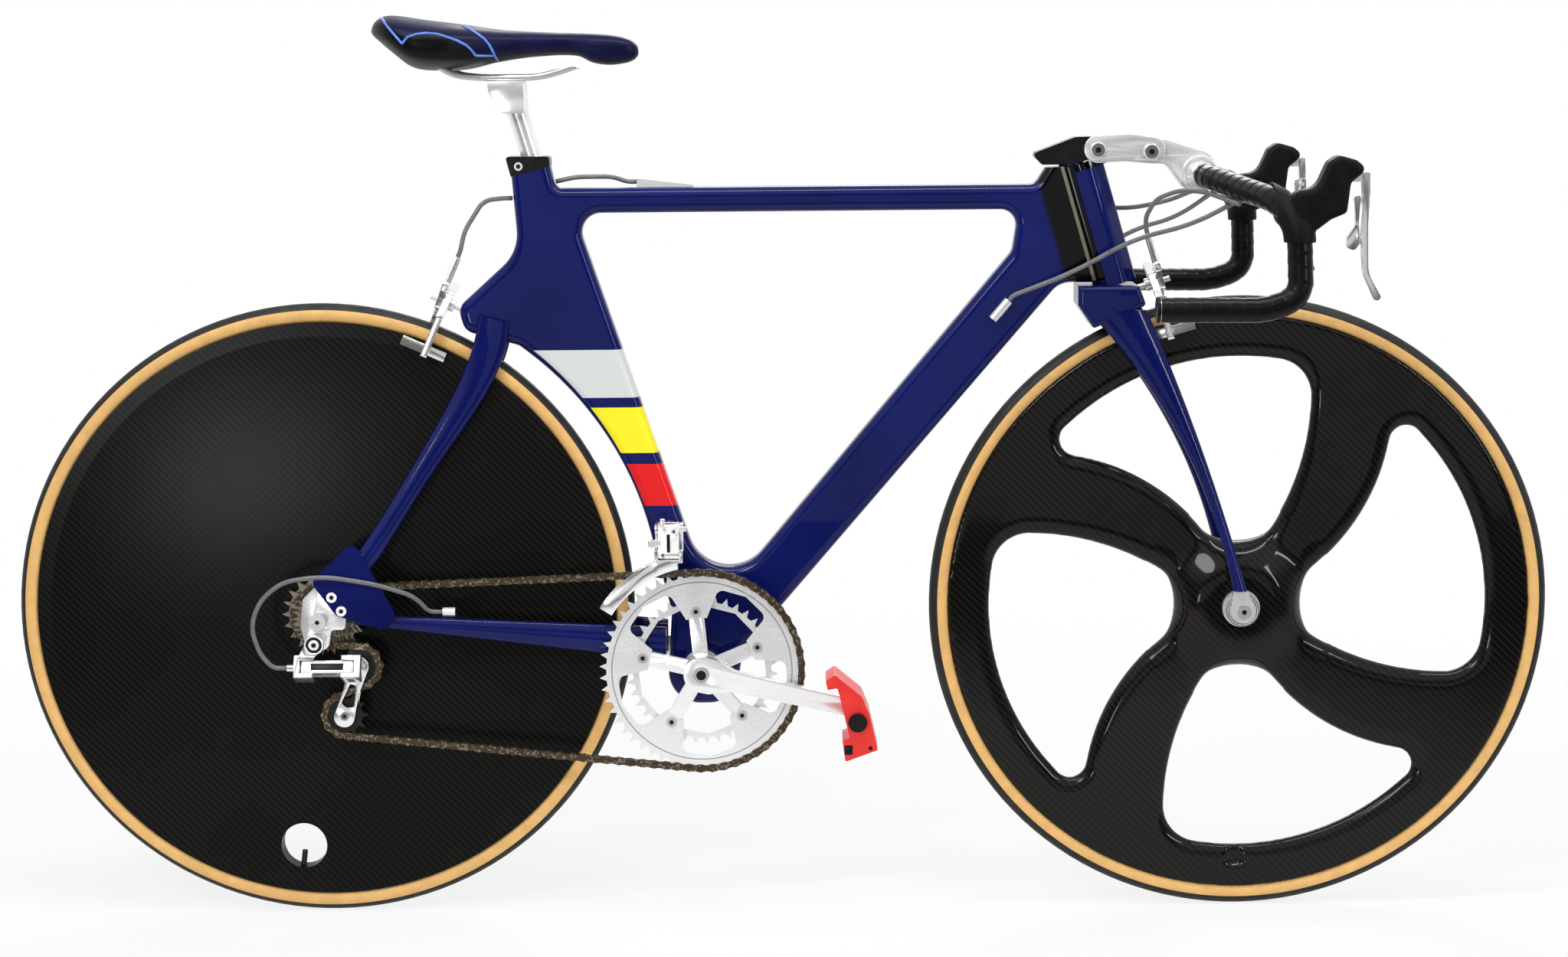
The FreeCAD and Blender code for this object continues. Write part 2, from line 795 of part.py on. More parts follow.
def brake_arm(name, side, layer, tall):
    """One arm with its pad holder and pad; layer counts arms outwards along the pivot bolt."""
    arm = new_body(name)
    start = mm.brake_spacer + layer * (mm.brake_arm_thickness + mm.running_gap)
    offset = Vector(0, 0, start)

    def across(shares):
        points = [(side * y, z, r) for y, z, r in scaled(shares, mm.brake_arm_span)]
        return outline(points)

    pad(arm, across(ARM_OUTER_SHARES), "Sizes.brake_arm_thickness", "YZ_Plane", offset)
    pad(arm, across(ARM_LEVER_SHARES), "Sizes.brake_arm_thickness", "YZ_Plane", offset)
    hole = circle(0, 0, mm.brake_bolt_radius + mm.fit_gap)
    pocket(arm, hole, "Sizes.brake_pad_length * 4", "YZ_Plane")
    inner = mm.rim_half_width + mm.brake_pad_gap
    low = -mm.brake_pad_reach - mm.brake_pad_height / 2
    middle = mm.brake_spacer + mm.brake_arm_thickness
    shoe = doc.addObject("Part::Box", name + "Shoe")
    bind(shoe, Length="Sizes.brake_pad_length", Width="Sizes.brake_pad_thickness", Height="Sizes.brake_pad_height")
    shoe_y = inner if side == LEFT else -inner - mm.brake_pad_thickness
    place(shoe, Vector(middle - mm.brake_pad_length / 2, shoe_y, low))
    pieces = [arm, shoe]
    if tall:
        foot = Vector(start + mm.brake_arm_thickness / 2, -side * mm.brake_cable_offset, 0.9 * mm.brake_arm_span)
        pieces.append(cylinder(name + "Adjuster", "Sizes.brake_adjuster_radius", "Sizes.brake_adjuster_height", foot))
    return fuse(name + "Solid", pieces)


def brake(title, axle, angle):
    frame = brake_frame(axle, angle)
    flip = 1 if axle == FRONT_AXLE else -1
    for side, word in ((RIGHT, "right"), (LEFT, "left")):
        outer = side == LEFT
        arm = brake_arm(f"{title}{word.title()}", side * flip, 1 if outer else 0, outer)
        arm.Placement = frame
        keep(arm, f"{title.lower()}_brake_arm_{word}")


def brake_bolt(name, axle, angle):
    frame = brake_frame(axle, angle)
    out = frame.Rotation.multVec(ALONG_X)
    shank = cylinder(
        name + "Shank", "Sizes.brake_bolt_radius", "Sizes.brake_bolt_length + Sizes.brake_bolt_root",
        frame.Base - out * mm.brake_bolt_root, out)
    spacer = cylinder(
        name + "Spacer", "Sizes.brake_spacer_radius", "Sizes.brake_spacer - Sizes.running_gap", frame.Base, out)
    return fuse(name, [shank, spacer])


# Wheels, each turned about its own axle and then placed


def tyre(name, valve_angle):
    """A tubular tyre, round but for its seat on the rim, with its valve."""
    seat = mm.rim_outer_radius + mm.fit_gap
    centre = mm.tyre_outer_radius - mm.tyre_section_radius
    half = math.sqrt(mm.tyre_section_radius**2 - (centre - seat) ** 2)
    crest = Part.Arc(Vector(seat, -half, 0), Vector(mm.tyre_outer_radius, 0, 0), Vector(seat, half, 0))
    carcass = new_body(name)
    turned(carcass, [crest, Part.LineSegment(Vector(seat, half, 0), Vector(seat, -half, 0))])
    out = Vector(math.cos(math.radians(valve_angle)), 0, math.sin(math.radians(valve_angle)))
    valve = cylinder(
        name + "Valve", "Sizes.valve_radius", "Sizes.valve_length + Sizes.cut_overrun",
        out * (seat - mm.valve_length), out)
    return fuse(name + "Solid", [carcass, valve])


def valve_bore(name, valve_angle):
    out = Vector(math.cos(math.radians(valve_angle)), 0, math.sin(math.radians(valve_angle)))
    foot = out * (mm.rim_outer_radius - mm.valve_length)
    return cylinder(name, "Sizes.valve_radius + Sizes.fit_gap", "Sizes.valve_length * 2", foot, out)


def rear_disc():
    track = mm.rim_outer_radius - mm.brake_track_depth
    bulge_radius = (mm.disc_shoulder_radius + track) / 2
    bulge = mm.rim_half_width + (mm.disc_half_width - mm.rim_half_width) * 0.72
    bore = mm.disc_hub_radius + mm.fit_gap
    edges = []
    corners = [(bore, mm.disc_half_width), (mm.disc_shoulder_radius, mm.disc_half_width)]
    rim = [(track, mm.rim_half_width), (mm.rim_outer_radius, mm.rim_half_width)]
    for side in SIDES:
        (a, b), (c, d) = [[Vector(r, side * y, 0) for r, y in run] for run in (corners, rim)]
        dome = Part.Arc(b, Vector(bulge_radius, side * bulge, 0), c)
        edges += [Part.LineSegment(a, b), dome, Part.LineSegment(c, d)]
    edges.append(Part.LineSegment(Vector(bore, -mm.disc_half_width, 0), Vector(bore, mm.disc_half_width, 0)))
    edges.append(
        Part.LineSegment(
            Vector(mm.rim_outer_radius, -mm.rim_half_width, 0), Vector(mm.rim_outer_radius, mm.rim_half_width, 0)))
    disc = new_body("Disc")
    turned(disc, edges)
    x, z = polar((0, 0), mm.valve_window_angle, mm.valve_window_reach)
    pocket(disc, circle(x, z, mm.valve_window_radius), "Sizes.disc_half_width * 4")
    return cut("RearDisc", disc, valve_bore("DiscValveBore", mm.valve_window_angle))


OPENING_SHARES = (
    ((-0.655, 0.605), (-0.712, 0.648), (-0.684, 0.7295)),
    ((-0.684, 0.7295), (-0.2235, 0.9747), (0.179, 0.98385)),
    ((0.179, 0.98385), (0.262, 0.925), (0.2895, 0.846)),
    ((0.2895, 0.846), (0.2625, 0.6145), (0.124, 0.291)),
    ((0.124, 0.291), (-0.004, 0.255), (-0.132, 0.291)),
    ((-0.132, 0.291), (-0.3885, 0.5105), (-0.655, 0.605)),
)


def front_wheel():
    """A lens-shaped disc, opened between four curved spokes."""
    bore = mm.front_hub_radius + mm.fit_gap
    half_section = (
        (bore, mm.front_hub_half_width),
        (mm.front_hub_block_radius, mm.front_hub_half_width),
        (mm.front_hub_skirt_radius, mm.spoke_half_width),
        (mm.spoke_inner_radius, mm.rim_half_width),
        (mm.rim_outer_radius, mm.rim_half_width),
    )
    profile = [(r, y, 0) for r, y in half_section] + [(r, -y, 0) for r, y in reversed(half_section)]
    wheel = new_body("SpokedWheel")
    turned(wheel, outline(profile))
    unit = mm.spoke_inner_radius
    arcs = [Part.Arc(*[Vector(x * unit, z * unit, 0) for x, z in run]) for run in OPENING_SHARES]
    opening = pocket(wheel, arcs, "Sizes.front_hub_half_width * 4")
    spokes = wheel.newObject("PartDesign::PolarPattern", "Spokes")
    spokes.Originals = [opening]
    spokes.Axis = (opening.Profile[0], ["N_Axis"])
    spokes.Angle = 2 * HALF_CIRCLE
    spokes.Occurrences = WHEEL_SPOKES
    wheel.Tip = spokes
    return cut("FrontWheel", wheel, valve_bore("FrontValveBore", mm.front_valve_angle))


def ring_profile(name, half_section):
    """A turned piece from (radius, y) corners."""
    piece = new_body(name)
    turned(piece, outline([(r, y, 0) for r, y in half_section]))
    return piece


def front_hub():
    bore = mm.front_axle_radius + mm.fit_gap
    cap_start = mm.front_hub_half_width + mm.fit_gap
    cap_end = cap_start + mm.front_hub_cap_width
    end = mm.hub_spacing_front / 2 - mm.running_gap
    right = (
        (bore, end), (mm.front_hub_nose_radius, end), (mm.front_hub_nose_radius, cap_end),
        (mm.front_hub_cap_radius, cap_end), (mm.front_hub_cap_radius, cap_start), (mm.front_hub_radius, cap_start),
    )
    return ring_profile("FrontHub", right + tuple((r, -y) for r, y in reversed(right)))


def rear_hub():
    bore = mm.rear_axle_radius + mm.fit_gap
    face = mm.disc_half_width + mm.fit_gap
    flange = face + mm.rear_hub_flange_width
    left_end = mm.hub_spacing_rear / 2 - mm.running_gap
    section = (
        (bore, left_end), (mm.rear_hub_nose_radius, left_end), (mm.rear_hub_nose_radius, flange),
        (mm.rear_hub_flange_radius, flange), (mm.rear_hub_flange_radius, face), (mm.disc_hub_radius, face),
        (mm.disc_hub_radius, -flange), (bore, -flange),
    )
    return ring_profile("RearHub", section)


def at_axle(item, label, sign):
    """Place a turned piece on the front (1) or rear (-1) axle."""
    bind(item, Placement__Base__x=f"Sizes.wheel_base / 2 * {sign}", Placement__Base__z="Sizes.tyre_outer_radius")
    return keep(item, label)


def wheels():
    at_axle(tyre("RearTyre", mm.valve_window_angle), "rear_tyre", -1)
    at_axle(rear_disc(), "rear_disc", -1)
    at_axle(rear_hub(), "rear_hub", -1)
    at_axle(tyre("FrontTyre", mm.front_valve_angle), "front_tyre", 1)
    at_axle(front_wheel(), "front_wheel", 1)
    at_axle(front_hub(), "front_hub", 1)


def axle_with_ends(name, axle, radius, spacing, plate, end_radius, end_height):
    """An axle through both plates, with a bolt head or nut outside each."""
    grip = getattr(mm, spacing) / 2 + getattr(mm, plate)
    tip = grip + getattr(mm, end_height)
    rod = cylinder(
        name + "Rod", f"Sizes.{radius}", f"Sizes.{spacing} + 2 * Sizes.{plate} + 2 * Sizes.{end_height}",
        at(axle, -tip), ALONG_Y)
    right = cylinder(name + "Right", f"Sizes.{end_radius}", f"Sizes.{end_height}", at(axle, -tip), ALONG_Y)
    left = cylinder(name + "Left", f"Sizes.{end_radius}", f"Sizes.{end_height}", at(axle, grip), ALONG_Y)
    return fuse(name, [rod, right, left])


# Fork


CROWN_SHARES = (
    (-0.87, 0.0, 0.05),
    (0.98, 0.0, 0.1),
    (1.2, -0.6, 0.1),
    (-0.4, -1.3, 0.1),
    (-0.87, -0.6, 0.12),
)


def fairing():
    """The shell in front of the head tube, as a section along the steering axis."""
    inner = mm.head_tube_radius + mm.fairing_gap
    outer = inner + mm.fairing_wall
    nose = mm.fairing_nose
    shell = new_body("Fairing")
    front = [(0, outer, 0), (nose * 0.55, outer, outer * 0.5), (nose, outer * 0.34, outer * 0.33)]
    points = front + [(x, -y, r) for x, y, r in reversed(front)]
    edges = outline(points, closed=False)
    edges.append(Part.LineSegment(Vector(0, -outer, 0), Vector(0, -inner, 0)))
    edges.append(Part.Arc(Vector(0, -inner, 0), Vector(inner, 0, 0), Vector(0, inner, 0)))
    edges.append(Part.LineSegment(Vector(0, inner, 0), Vector(0, outer, 0)))
    length = "Sizes.head_length - Sizes.fairing_top_drop + Sizes.crown_drop * 2"
    pad(shell, edges, length, "XY_Plane", Vector(0, 0, -2 * mm.crown_drop))
    shell.Placement = STEER_FRAME
    return shell


def blade_wire(x, y, z, chord, width):
    return ellipse_wire(Vector(x, y, z), ALONG_X, chord / 2, width / 2)


def fork_blade():
    """The right blade, from inside the crown to the fork tip."""
    tip_offset = mm.hub_spacing_front / 2 + mm.blade_tip_width / 2
    fall = (mm.blade_top_height - mm.blade_waist_height) / (mm.blade_top_height - mm.blade_tip_height)
    waist_offset = mm.blade_top_offset + (tip_offset - mm.blade_top_offset) * fall
    lean = (mm.blade_top_height - mm.tyre_outer_radius) / math.tan(HEAD_SLOPE)
    top_x = AXIS_AT_AXLE - lean + mm.blade_tip_width * 0.3
    waist_x = top_x + mm.blade_top_chord * 0.555
    tip_x = FRONT_AXLE[0] - mm.blade_tip_chord * 0.27
    sections = [
        blade_wire(top_x, RIGHT * mm.blade_top_offset, mm.blade_top_height, mm.blade_top_chord, mm.blade_top_width),
        blade_wire(waist_x, RIGHT * waist_offset, mm.blade_waist_height, mm.blade_waist_chord, mm.blade_waist_width),
        blade_wire(tip_x, RIGHT * tip_offset, mm.blade_tip_height, mm.blade_tip_chord, mm.blade_tip_width),
    ]
    return Part.makeLoft(sections, True, False)


def fork():
    crown = new_body("Crown")
    top = (HEAD_BOTTOM[0], HEAD_BOTTOM[1] - mm.crown_drop)
    edges = outline(scaled(CROWN_SHARES, mm.crown_half_width, top))
    pad(crown, edges, "Sizes.crown_half_width * 2", symmetric=True)
    rounded(crown, on_side(mm.crown_half_width), "Sizes.crown_edge_radius")
    right = feature("BladeRight", fork_blade())
    left = mirrored("BladeLeft", right)
    steerer = cylinder(
        "Steerer", "Sizes.steerer_radius",
        "Sizes.head_length + Sizes.crown_drop * 2 + Sizes.stem_base_lift + Sizes.stem_base_height / 2",
        steered(0, -2 * mm.crown_drop), STEER_UP)
    solid = fuse("ForkSolid", [crown, right, left, fairing(), steerer])
    tyre_room = cylinder(
        "CrownTyreRoom", "Sizes.tyre_outer_radius + Sizes.crown_tyre_gap", "Sizes.tyre_section_radius * 3",
        at(FRONT_AXLE, -1.5 * mm.tyre_section_radius), ALONG_Y)
    bolt_room = cylinder(
        "ForkBoltBore", "Sizes.brake_bolt_radius + Sizes.fit_gap", "Sizes.brake_bolt_root + Sizes.brake_bolt_length",
        brake_point(FRONT_AXLE, mm.front_brake_angle, -mm.brake_bolt_root - mm.cut_overrun),
        brake_outward(mm.front_brake_angle, RIGHT))
    return keep(cut("Fork", solid, fuse("ForkRooms", [tyre_room, bolt_room])), "fork")


FORK_TIP_SHARES = (
    (-0.85, 1.69, 0.0),
    (0.3, 1.69, 0.0),
    (1.0, 0.2, 0.4),
    (1.0, -1.0, 0.98),
    (-1.0, -1.0, 0.98),
    (-1.0, 0.2, 0.4),
)


def fork_tips():
    tip = new_body("ForkTip")
    edges = outline(scaled(FORK_TIP_SHARES, mm.fork_tip_radius, FRONT_AXLE))
    hole = circle(FRONT_AXLE[0], FRONT_AXLE[1], mm.front_axle_radius + mm.fit_gap)
    pad(tip, edges + hole, "Sizes.fork_tip_thickness", offset=Vector(0, 0, mm.hub_spacing_front / 2))
    return keep(pair("ForkTips", tip), "fork_tips")


# Stem

STEM_PIVOT = steered(mm.stem_pivot_forward, mm.head_length + mm.stem_pivot_rise)
LINK_END = STEM_PIVOT + Vector(mm.stem_link_length, 0, -mm.stem_link_drop)
BAR_CENTRE = LINK_END + Vector(mm.bar_clamp_forward, 0, -mm.bar_clamp_drop)


def stem_base():
    """The black cap on the steerer, drawn along the steering axis."""
    low = mm.head_length + mm.stem_base_lift
    ledge = mm.head_length - mm.fairing_top_drop + mm.fit_gap
    high = low + mm.stem_base_height
    step = mm.head_tube_radius + mm.stem_base_lift
    front = mm.stem_pivot_forward + mm.stem_eye_radius
    reach = mm.stem_base_reach
    points = [
        (-reach, high - 0.15 * mm.stem_base_height, 0.1 * reach),
        (-0.8 * reach, low + 0.8 * reach / math.tan(HEAD_SLOPE), 0.08 * reach),
        (0, low, 0),
        (step, low, 0),
        (step, ledge, 0),
        (front - 0.15 * reach, ledge, 0.1 * reach),
        (front, low + 0.3 * mm.stem_base_height, 0.3 * reach),
        (0.85 * front, high - 0.25 * mm.stem_base_height, 0.2 * reach),
        (0.3 * reach, high, 0.25 * reach),
    ]
    cap = new_body("StemCap")
    pad(cap, outline(points), "Sizes.stem_base_half_width * 2", symmetric=True)
    bore = circle(0, 0, mm.steerer_radius + mm.fit_gap)
    pocket(cap, bore, "(Sizes.stem_base_lift + Sizes.stem_base_height / 2) * 2", "XY_Plane",
           Vector(0, 0, mm.head_length))
    pocket(cap, circle(mm.stem_pivot_forward, mm.head_length + mm.stem_pivot_rise, mm.stem_bolt_radius + mm.fit_gap),
           "Sizes.stem_base_half_width * 4")
    cap.Placement = STEER_FRAME
    return keep(cap, "stem_base")


LINK_SHARES = (
    (-0.256, -0.256, 0.25),
    (-0.256, 0.256, 0.25),
    (0.6, 0.30, 0.7),
    (1.256, 0.2, 0.22),
    (1.256, -0.29, 0.22),
    (0.5, -0.22, 0.7),
)


def stem_link():
    link = new_body("StemLink")
    base = (STEM_PIVOT.x, STEM_PIVOT.z)
    half = mm.stem_base_half_width + mm.stem_cheek + mm.running_gap
    pad(link, outline(scaled(LINK_SHARES, mm.stem_link_length, base)),
        "(Sizes.stem_base_half_width + Sizes.stem_cheek + Sizes.running_gap) * 2", symmetric=True)
    room = mm.stem_link_end_radius + mm.running_gap
    slot = "(Sizes.stem_base_half_width + Sizes.running_gap) * 2"
    low = base[1] - half
    high = base[1] + half
    pocket(link, rectangle(base[0] - 2 * room, low, base[0] + room, high), slot)
    pocket(link, rectangle(LINK_END.x - room, low, LINK_END.x + 2 * room, high), slot)
    for pivot in (STEM_PIVOT, LINK_END):
        pocket(link, circle(pivot.x, pivot.z, mm.stem_bolt_radius + mm.fit_gap), "Sizes.bar_half_width")
    return link


def stem_bolts():
    """Two pivot bolts, each with a head at both ends."""
    half = mm.stem_base_half_width + mm.stem_cheek + mm.running_gap
    bolts = []
    for number, pivot in enumerate((STEM_PIVOT, LINK_END)):
        name = f"StemBolt{number}"
        shank = cylinder(
            name + "Shank", "Sizes.stem_bolt_radius",
            "(Sizes.stem_base_half_width + Sizes.stem_cheek + Sizes.running_gap) * 2",
            pivot - ALONG_Y * half, ALONG_Y)
        right = cylinder(name + "Right", "Sizes.stem_bolt_head_radius", "Sizes.stem_bolt_head_height",
                         pivot - ALONG_Y * (half + mm.stem_bolt_head_height), ALONG_Y)
        left = cylinder(name + "Left", "Sizes.stem_bolt_head_radius", "Sizes.stem_bolt_head_height",
                        pivot + ALONG_Y * half, ALONG_Y)
        bolts.append(fuse(name, [shank, right, left]))
    return bolts


CLAMP_SHARES = (
    (-0.25, 0.25, 0.24),
    (0.3, 0.24, 0.15),
    (1.3, -0.08, 0.3),
    (1.3, -0.82, 0.34),
    (0.7, -0.78, 0.25),
    (0.3, -0.25, 0.2),
    (-0.25, -0.25, 0.24),
)


def bar_clamp():
    arm = new_body("ClampArm")
    pad(arm, outline(scaled(CLAMP_SHARES, mm.bar_clamp_forward, (LINK_END.x, LINK_END.z))),
        "Sizes.stem_base_half_width * 2", symmetric=True)
    pocket(arm, circle(LINK_END.x, LINK_END.z, mm.stem_bolt_radius + mm.fit_gap), "Sizes.stem_base_half_width * 4")
    barrel = cylinder("ClampBarrel", "Sizes.bar_clamp_radius", "Sizes.bar_clamp_half_width * 2",
                      BAR_CENTRE - ALONG_Y * mm.bar_clamp_half_width, ALONG_Y)
    bore = cylinder("ClampBore", "Sizes.bar_radius + Sizes.fit_gap", "Sizes.bar_clamp_half_width * 4",
                    BAR_CENTRE - ALONG_Y * (2 * mm.bar_clamp_half_width), ALONG_Y)
    return keep(cut("BarClamp", fuse("ClampSolid", [arm, barrel]), bore), "bar_clamp")


# Handlebar, drawn as half bars from the middle of the clamp; shares of the half width

BAR_SHARES = (
    (0.0, 0.0, 0.0),
    (0.0, 0.25, 0.0),
    (0.27, 0.85, -0.10),
    (0.358, 0.985, -0.197),
    (0.368, 1.0, -0.546),
    (0.21, 1.0, -0.61),
    (-0.30, 1.0, -0.605),
)


def route(points):
    """Straight runs joined by tangent arcs as large as their two runs allow."""
    edges = []
    radii = []
    cursor = points[0]
    for before, here, after in zip(points, points[1:], points[2:]):
        back = before - here
        ahead = after - here
        half = back.getAngle(ahead) / 2
        reach = 0.45 * min(back.Length, ahead.Length)
        radius = reach * math.tan(half)
        back.normalize()
        ahead.normalize()
        start = here + back * reach
        end = here + ahead * reach
        crest = here + (back + ahead).normalize() * (radius / math.sin(half) - radius)
        edges.append(Part.LineSegment(cursor, start).toShape())
        edges.append(Part.Arc(start, crest, end).toShape())
        cursor = end
        radii.append(radius)
    edges.append(Part.LineSegment(cursor, points[-1]).toShape())
    return Part.Wire(edges), radii


def tube(points, radius):
    """A round bar along a route."""
    spine, radii = route(points)
    ahead = points[1] - points[0]
    section = Part.Wire([Part.Circle(points[0], ahead, radius).toShape()])
    shell = spine.makePipeShell([section], True, False)
    return shell, spine.Length, radii


def bar_points(side):
    unit = mm.bar_half_width
    return [BAR_CENTRE + Vector(x * unit, side * y * unit, z * unit) for x, y, z in BAR_SHARES]


def half_bar(side, radius):
    return tube(bar_points(side), radius)[0]


def tape_room():
    """The space that the hoods leave for the taped bar, right side."""
    return half_bar(RIGHT, mm.bar_radius + mm.bar_tape_wall + 2 * mm.fit_gap)


def handlebar():
    right = half_bar(RIGHT, mm.bar_radius)
    bar = feature("Bar", right.fuse(half_bar(LEFT, mm.bar_radius)))
    keep(bar, "handlebar")
    wrap = half_bar(RIGHT, mm.bar_radius + mm.bar_tape_wall).cut(half_bar(RIGHT, mm.bar_radius + mm.fit_gap))
    bare = Part.makeBox(2 * mm.bar_half_width, 2 * mm.bar_tape_start, 2 * mm.bar_half_width)
    bare.translate(BAR_CENTRE - Vector(mm.bar_half_width, mm.bar_tape_start, mm.bar_half_width))
    before, end = bar_points(RIGHT)[-2:]
    way = (end - before).normalize()
    plug = Part.makeCylinder(mm.bar_radius + mm.bar_tape_wall, mm.bar_plug_length, end + way * mm.fit_gap, way)
    tape = feature("Tape", Part.makeCompound([wrap.cut(bare), plug]))
    keep(pair("BarTape", tape), "bar_tape")


# Hoods and levers, from a point on the front of the bar's top bend

LEVER_FOOT_SHARES = (0.435, -0.985, -0.20)
LEVER_FOOT = BAR_CENTRE + Vector(*LEVER_FOOT_SHARES) * mm.bar_half_width
HOOD_SHARES = (
    (-0.34, 0.46, 0.12),
    (-0.02, 0.47, 0.25),
    (0.15, 0.85, 0.10),
    (0.29, 0.945, 0.12),
    (0.55, 0.87, 0.12),
    (0.70, 0.74, 0.09),
    (0.47, 0.56, 0.08),
    (0.42, 0.14, 0.07),
    (0.20, 0.05, 0.1),
    (-0.05, -0.14, 0.12),
    (-0.30, 0.10, 0.12),
)
SLEEVE_LOW_SHARES = (-0.53, -0.27)
SLEEVE_HIGH_SHARES = (0.2, 0.7)


def lever_point(x_share, z_share):
    return (LEVER_FOOT.x + x_share * mm.hood_height, LEVER_FOOT.z + z_share * mm.hood_height)


def hoods():
    hood = new_body("Hood")
    foot = (LEVER_FOOT.x, LEVER_FOOT.z)
    pad(hood, outline(scaled(HOOD_SHARES, mm.hood_height, foot)), "Sizes.hood_width", symmetric=True)
    rounded(hood, on_side(mm.hood_width / 2), "Sizes.hood_edge_radius")
    place(hood, Vector(0, RIGHT * mm.hood_offset, 0))
    sleeve = half_bar(RIGHT, mm.bar_radius + mm.bar_tape_wall + 2 * mm.fit_gap + mm.hood_wall)
    low = Vector(*lever_point(*SLEEVE_LOW_SHARES), 0)
    high = Vector(*lever_point(*SLEEVE_HIGH_SHARES), 0)
    reach = Part.makeBox(high.x - low.x, 2 * mm.bar_half_width, high.y - low.y)
    reach.translate(Vector(low.x, -2 * mm.bar_half_width, low.y))
    body = fuse("HoodSolid", [hood, feature("HoodSleeve", sleeve.common(reach))])
    y = RIGHT * mm.hood_offset
    half = mm.lever_block_width / 2 + mm.running_gap
    swing = cylinder("LeverRoom", "Sizes.lever_block_width * 1.15", "Sizes.lever_block_width + Sizes.running_gap * 2",
                     at(BRAKE_PIVOT, y - half), ALONG_Y)
    bore = cylinder("LeverBore", "Sizes.lever_pin_radius + Sizes.fit_gap", "Sizes.lever_block_width * 2.2",
                    at(BRAKE_PIVOT, y - 1.1 * mm.lever_block_width), ALONG_Y)
    rooms = fuse("HoodRooms", [feature("HoodRoom", tape_room()), swing, bore])
    seated = cut("HoodRight", body, rooms)
    return keep(pair("Hoods", seated), "brake_hoods")


BRAKE_PIVOT_SHARES = (0.585, 0.72)
BRAKE_PIVOT = lever_point(*BRAKE_PIVOT_SHARES)
BLADE_SHARES = (
    (0.0, 0.035, 0.02),
    (0.062, 0.035, 0.02),
    (0.066, -0.12, 0.08),
    (0.052, -0.40, 0.2),
    (0.06, -0.80, 0.3),
    (0.175, -1.0, 0.03),
    (0.125, -1.03, 0.02),
    (0.02, -0.80, 0.2),
    (0.0, -0.50, 0.3),
    (0.016, -0.28, 0.1),
)
PADDLE_SHARES = (
    (-0.06, 0.09, 0.05),
    (0.06, 0.09, 0.05),
    (0.02, -0.5, 0.1),
    (0.08, -0.85, 0.12),
    (-0.06, -1.02, 0.08),
    (-0.22, -0.95, 0.08),
    (-0.20, -0.75, 0.08),
    (-0.04, -0.52, 0.1),
)


def lever_set(side, word):
    """Carrier block, brake blade and shift paddle of one side."""
    y = side * mm.hood_offset
    block = new_body(f"Carrier{word}")
    half = mm.lever_block_width / 2
    pin_z = BRAKE_PIVOT[1] - half
    pivot_x, pivot_z = BRAKE_PIVOT
    edges = rectangle(pivot_x - half, pivot_z - 2 * half, pivot_x + 0.6 * half, pivot_z + half)
    pad(block, edges, "Sizes.lever_block_width", symmetric=True)
    place(block, Vector(0, y, 0))
    pin = cylinder(f"CarrierPin{word}", "Sizes.lever_pin_radius", "Sizes.lever_pin_length + Sizes.running_gap",
                   Vector(BRAKE_PIVOT[0] + 0.5 * half, y, pin_z), ALONG_X)
    hinge = cylinder(f"CarrierHinge{word}", "Sizes.lever_pin_radius", "Sizes.lever_block_width * 2",
                     at(BRAKE_PIVOT, y - mm.lever_block_width), ALONG_Y)
    keep(fuse(f"LeverCarrier{word}", [block, pin, hinge]), f"{word}_lever_carrier")
    blade_start = BRAKE_PIVOT[0] + 0.6 * half + mm.running_gap
    blade = new_body(f"Blade{word}")
    points = scaled(BLADE_SHARES, mm.lever_blade_length, (blade_start, pin_z))
    pad(blade, outline(points), "Sizes.lever_blade_width", symmetric=True)
    pocket(blade, circle(0, pin_z, mm.lever_pin_radius + mm.fit_gap), "Sizes.lever_blade_length", "YZ_Plane",
           Vector(0, 0, blade_start))
    ear_z = pin_z - 2.2 * mm.lever_block_width
    ear_x = blade_start + 0.2 * mm.lever_blade_width
    ear = mm.paddle_offset + mm.paddle_width / 2
    ear_edges = rectangle(ear_x, ear_z - half, ear_x + half, ear_z + half)
    pad(blade, ear_edges, "Sizes.paddle_offset + Sizes.paddle_width / 2",
        offset=Vector(0, 0, 0 if side == LEFT else -ear))
    place(blade, Vector(0, y, 0))
    inboard = y - side * mm.paddle_offset
    paddle_pin = cylinder(f"PaddlePin{word}", "Sizes.paddle_pin_radius", "Sizes.lever_pin_length + Sizes.cut_overrun",
                          Vector(ear_x - mm.lever_pin_length, inboard, ear_z), ALONG_X)
    keep(fuse(f"BrakeBlade{word}", [blade, paddle_pin]), f"{word}_brake_blade")
    paddle = new_body(f"Paddle{word}")
    middle = ear_x - 0.5 * mm.lever_pin_length - mm.running_gap
    edges = outline(scaled(PADDLE_SHARES, mm.paddle_length, (middle, ear_z)))
    pad(paddle, edges, "Sizes.paddle_width", symmetric=True)
    pocket(paddle, circle(0, ear_z, mm.paddle_pin_radius + mm.fit_gap), "Sizes.lever_blade_length", "YZ_Plane",
           Vector(0, 0, middle))
    place(paddle, Vector(0, inboard, 0))
    keep(paddle, f"{word}_shift_paddle")


# Saddle and post

POST_TOP = at(SEAT_TOP) + SEAT_UP * mm.post_exposed


def seat_post():
    post = cylinder("Post", "Sizes.post_radius", "Sizes.post_exposed + Sizes.post_inserted",
                    at(SEAT_TOP) - SEAT_UP * mm.post_inserted, SEAT_UP)
    keep(post, "seatpost")


HEAD_SHARES = (
    (-0.58, 0.47, 0.0),
    (-0.55, 0.2, 0.05),
    (-0.27, -0.3, 0.2),
    (0.30, -0.3, 0.05),
    (0.28, 0.47, 0.0),
)


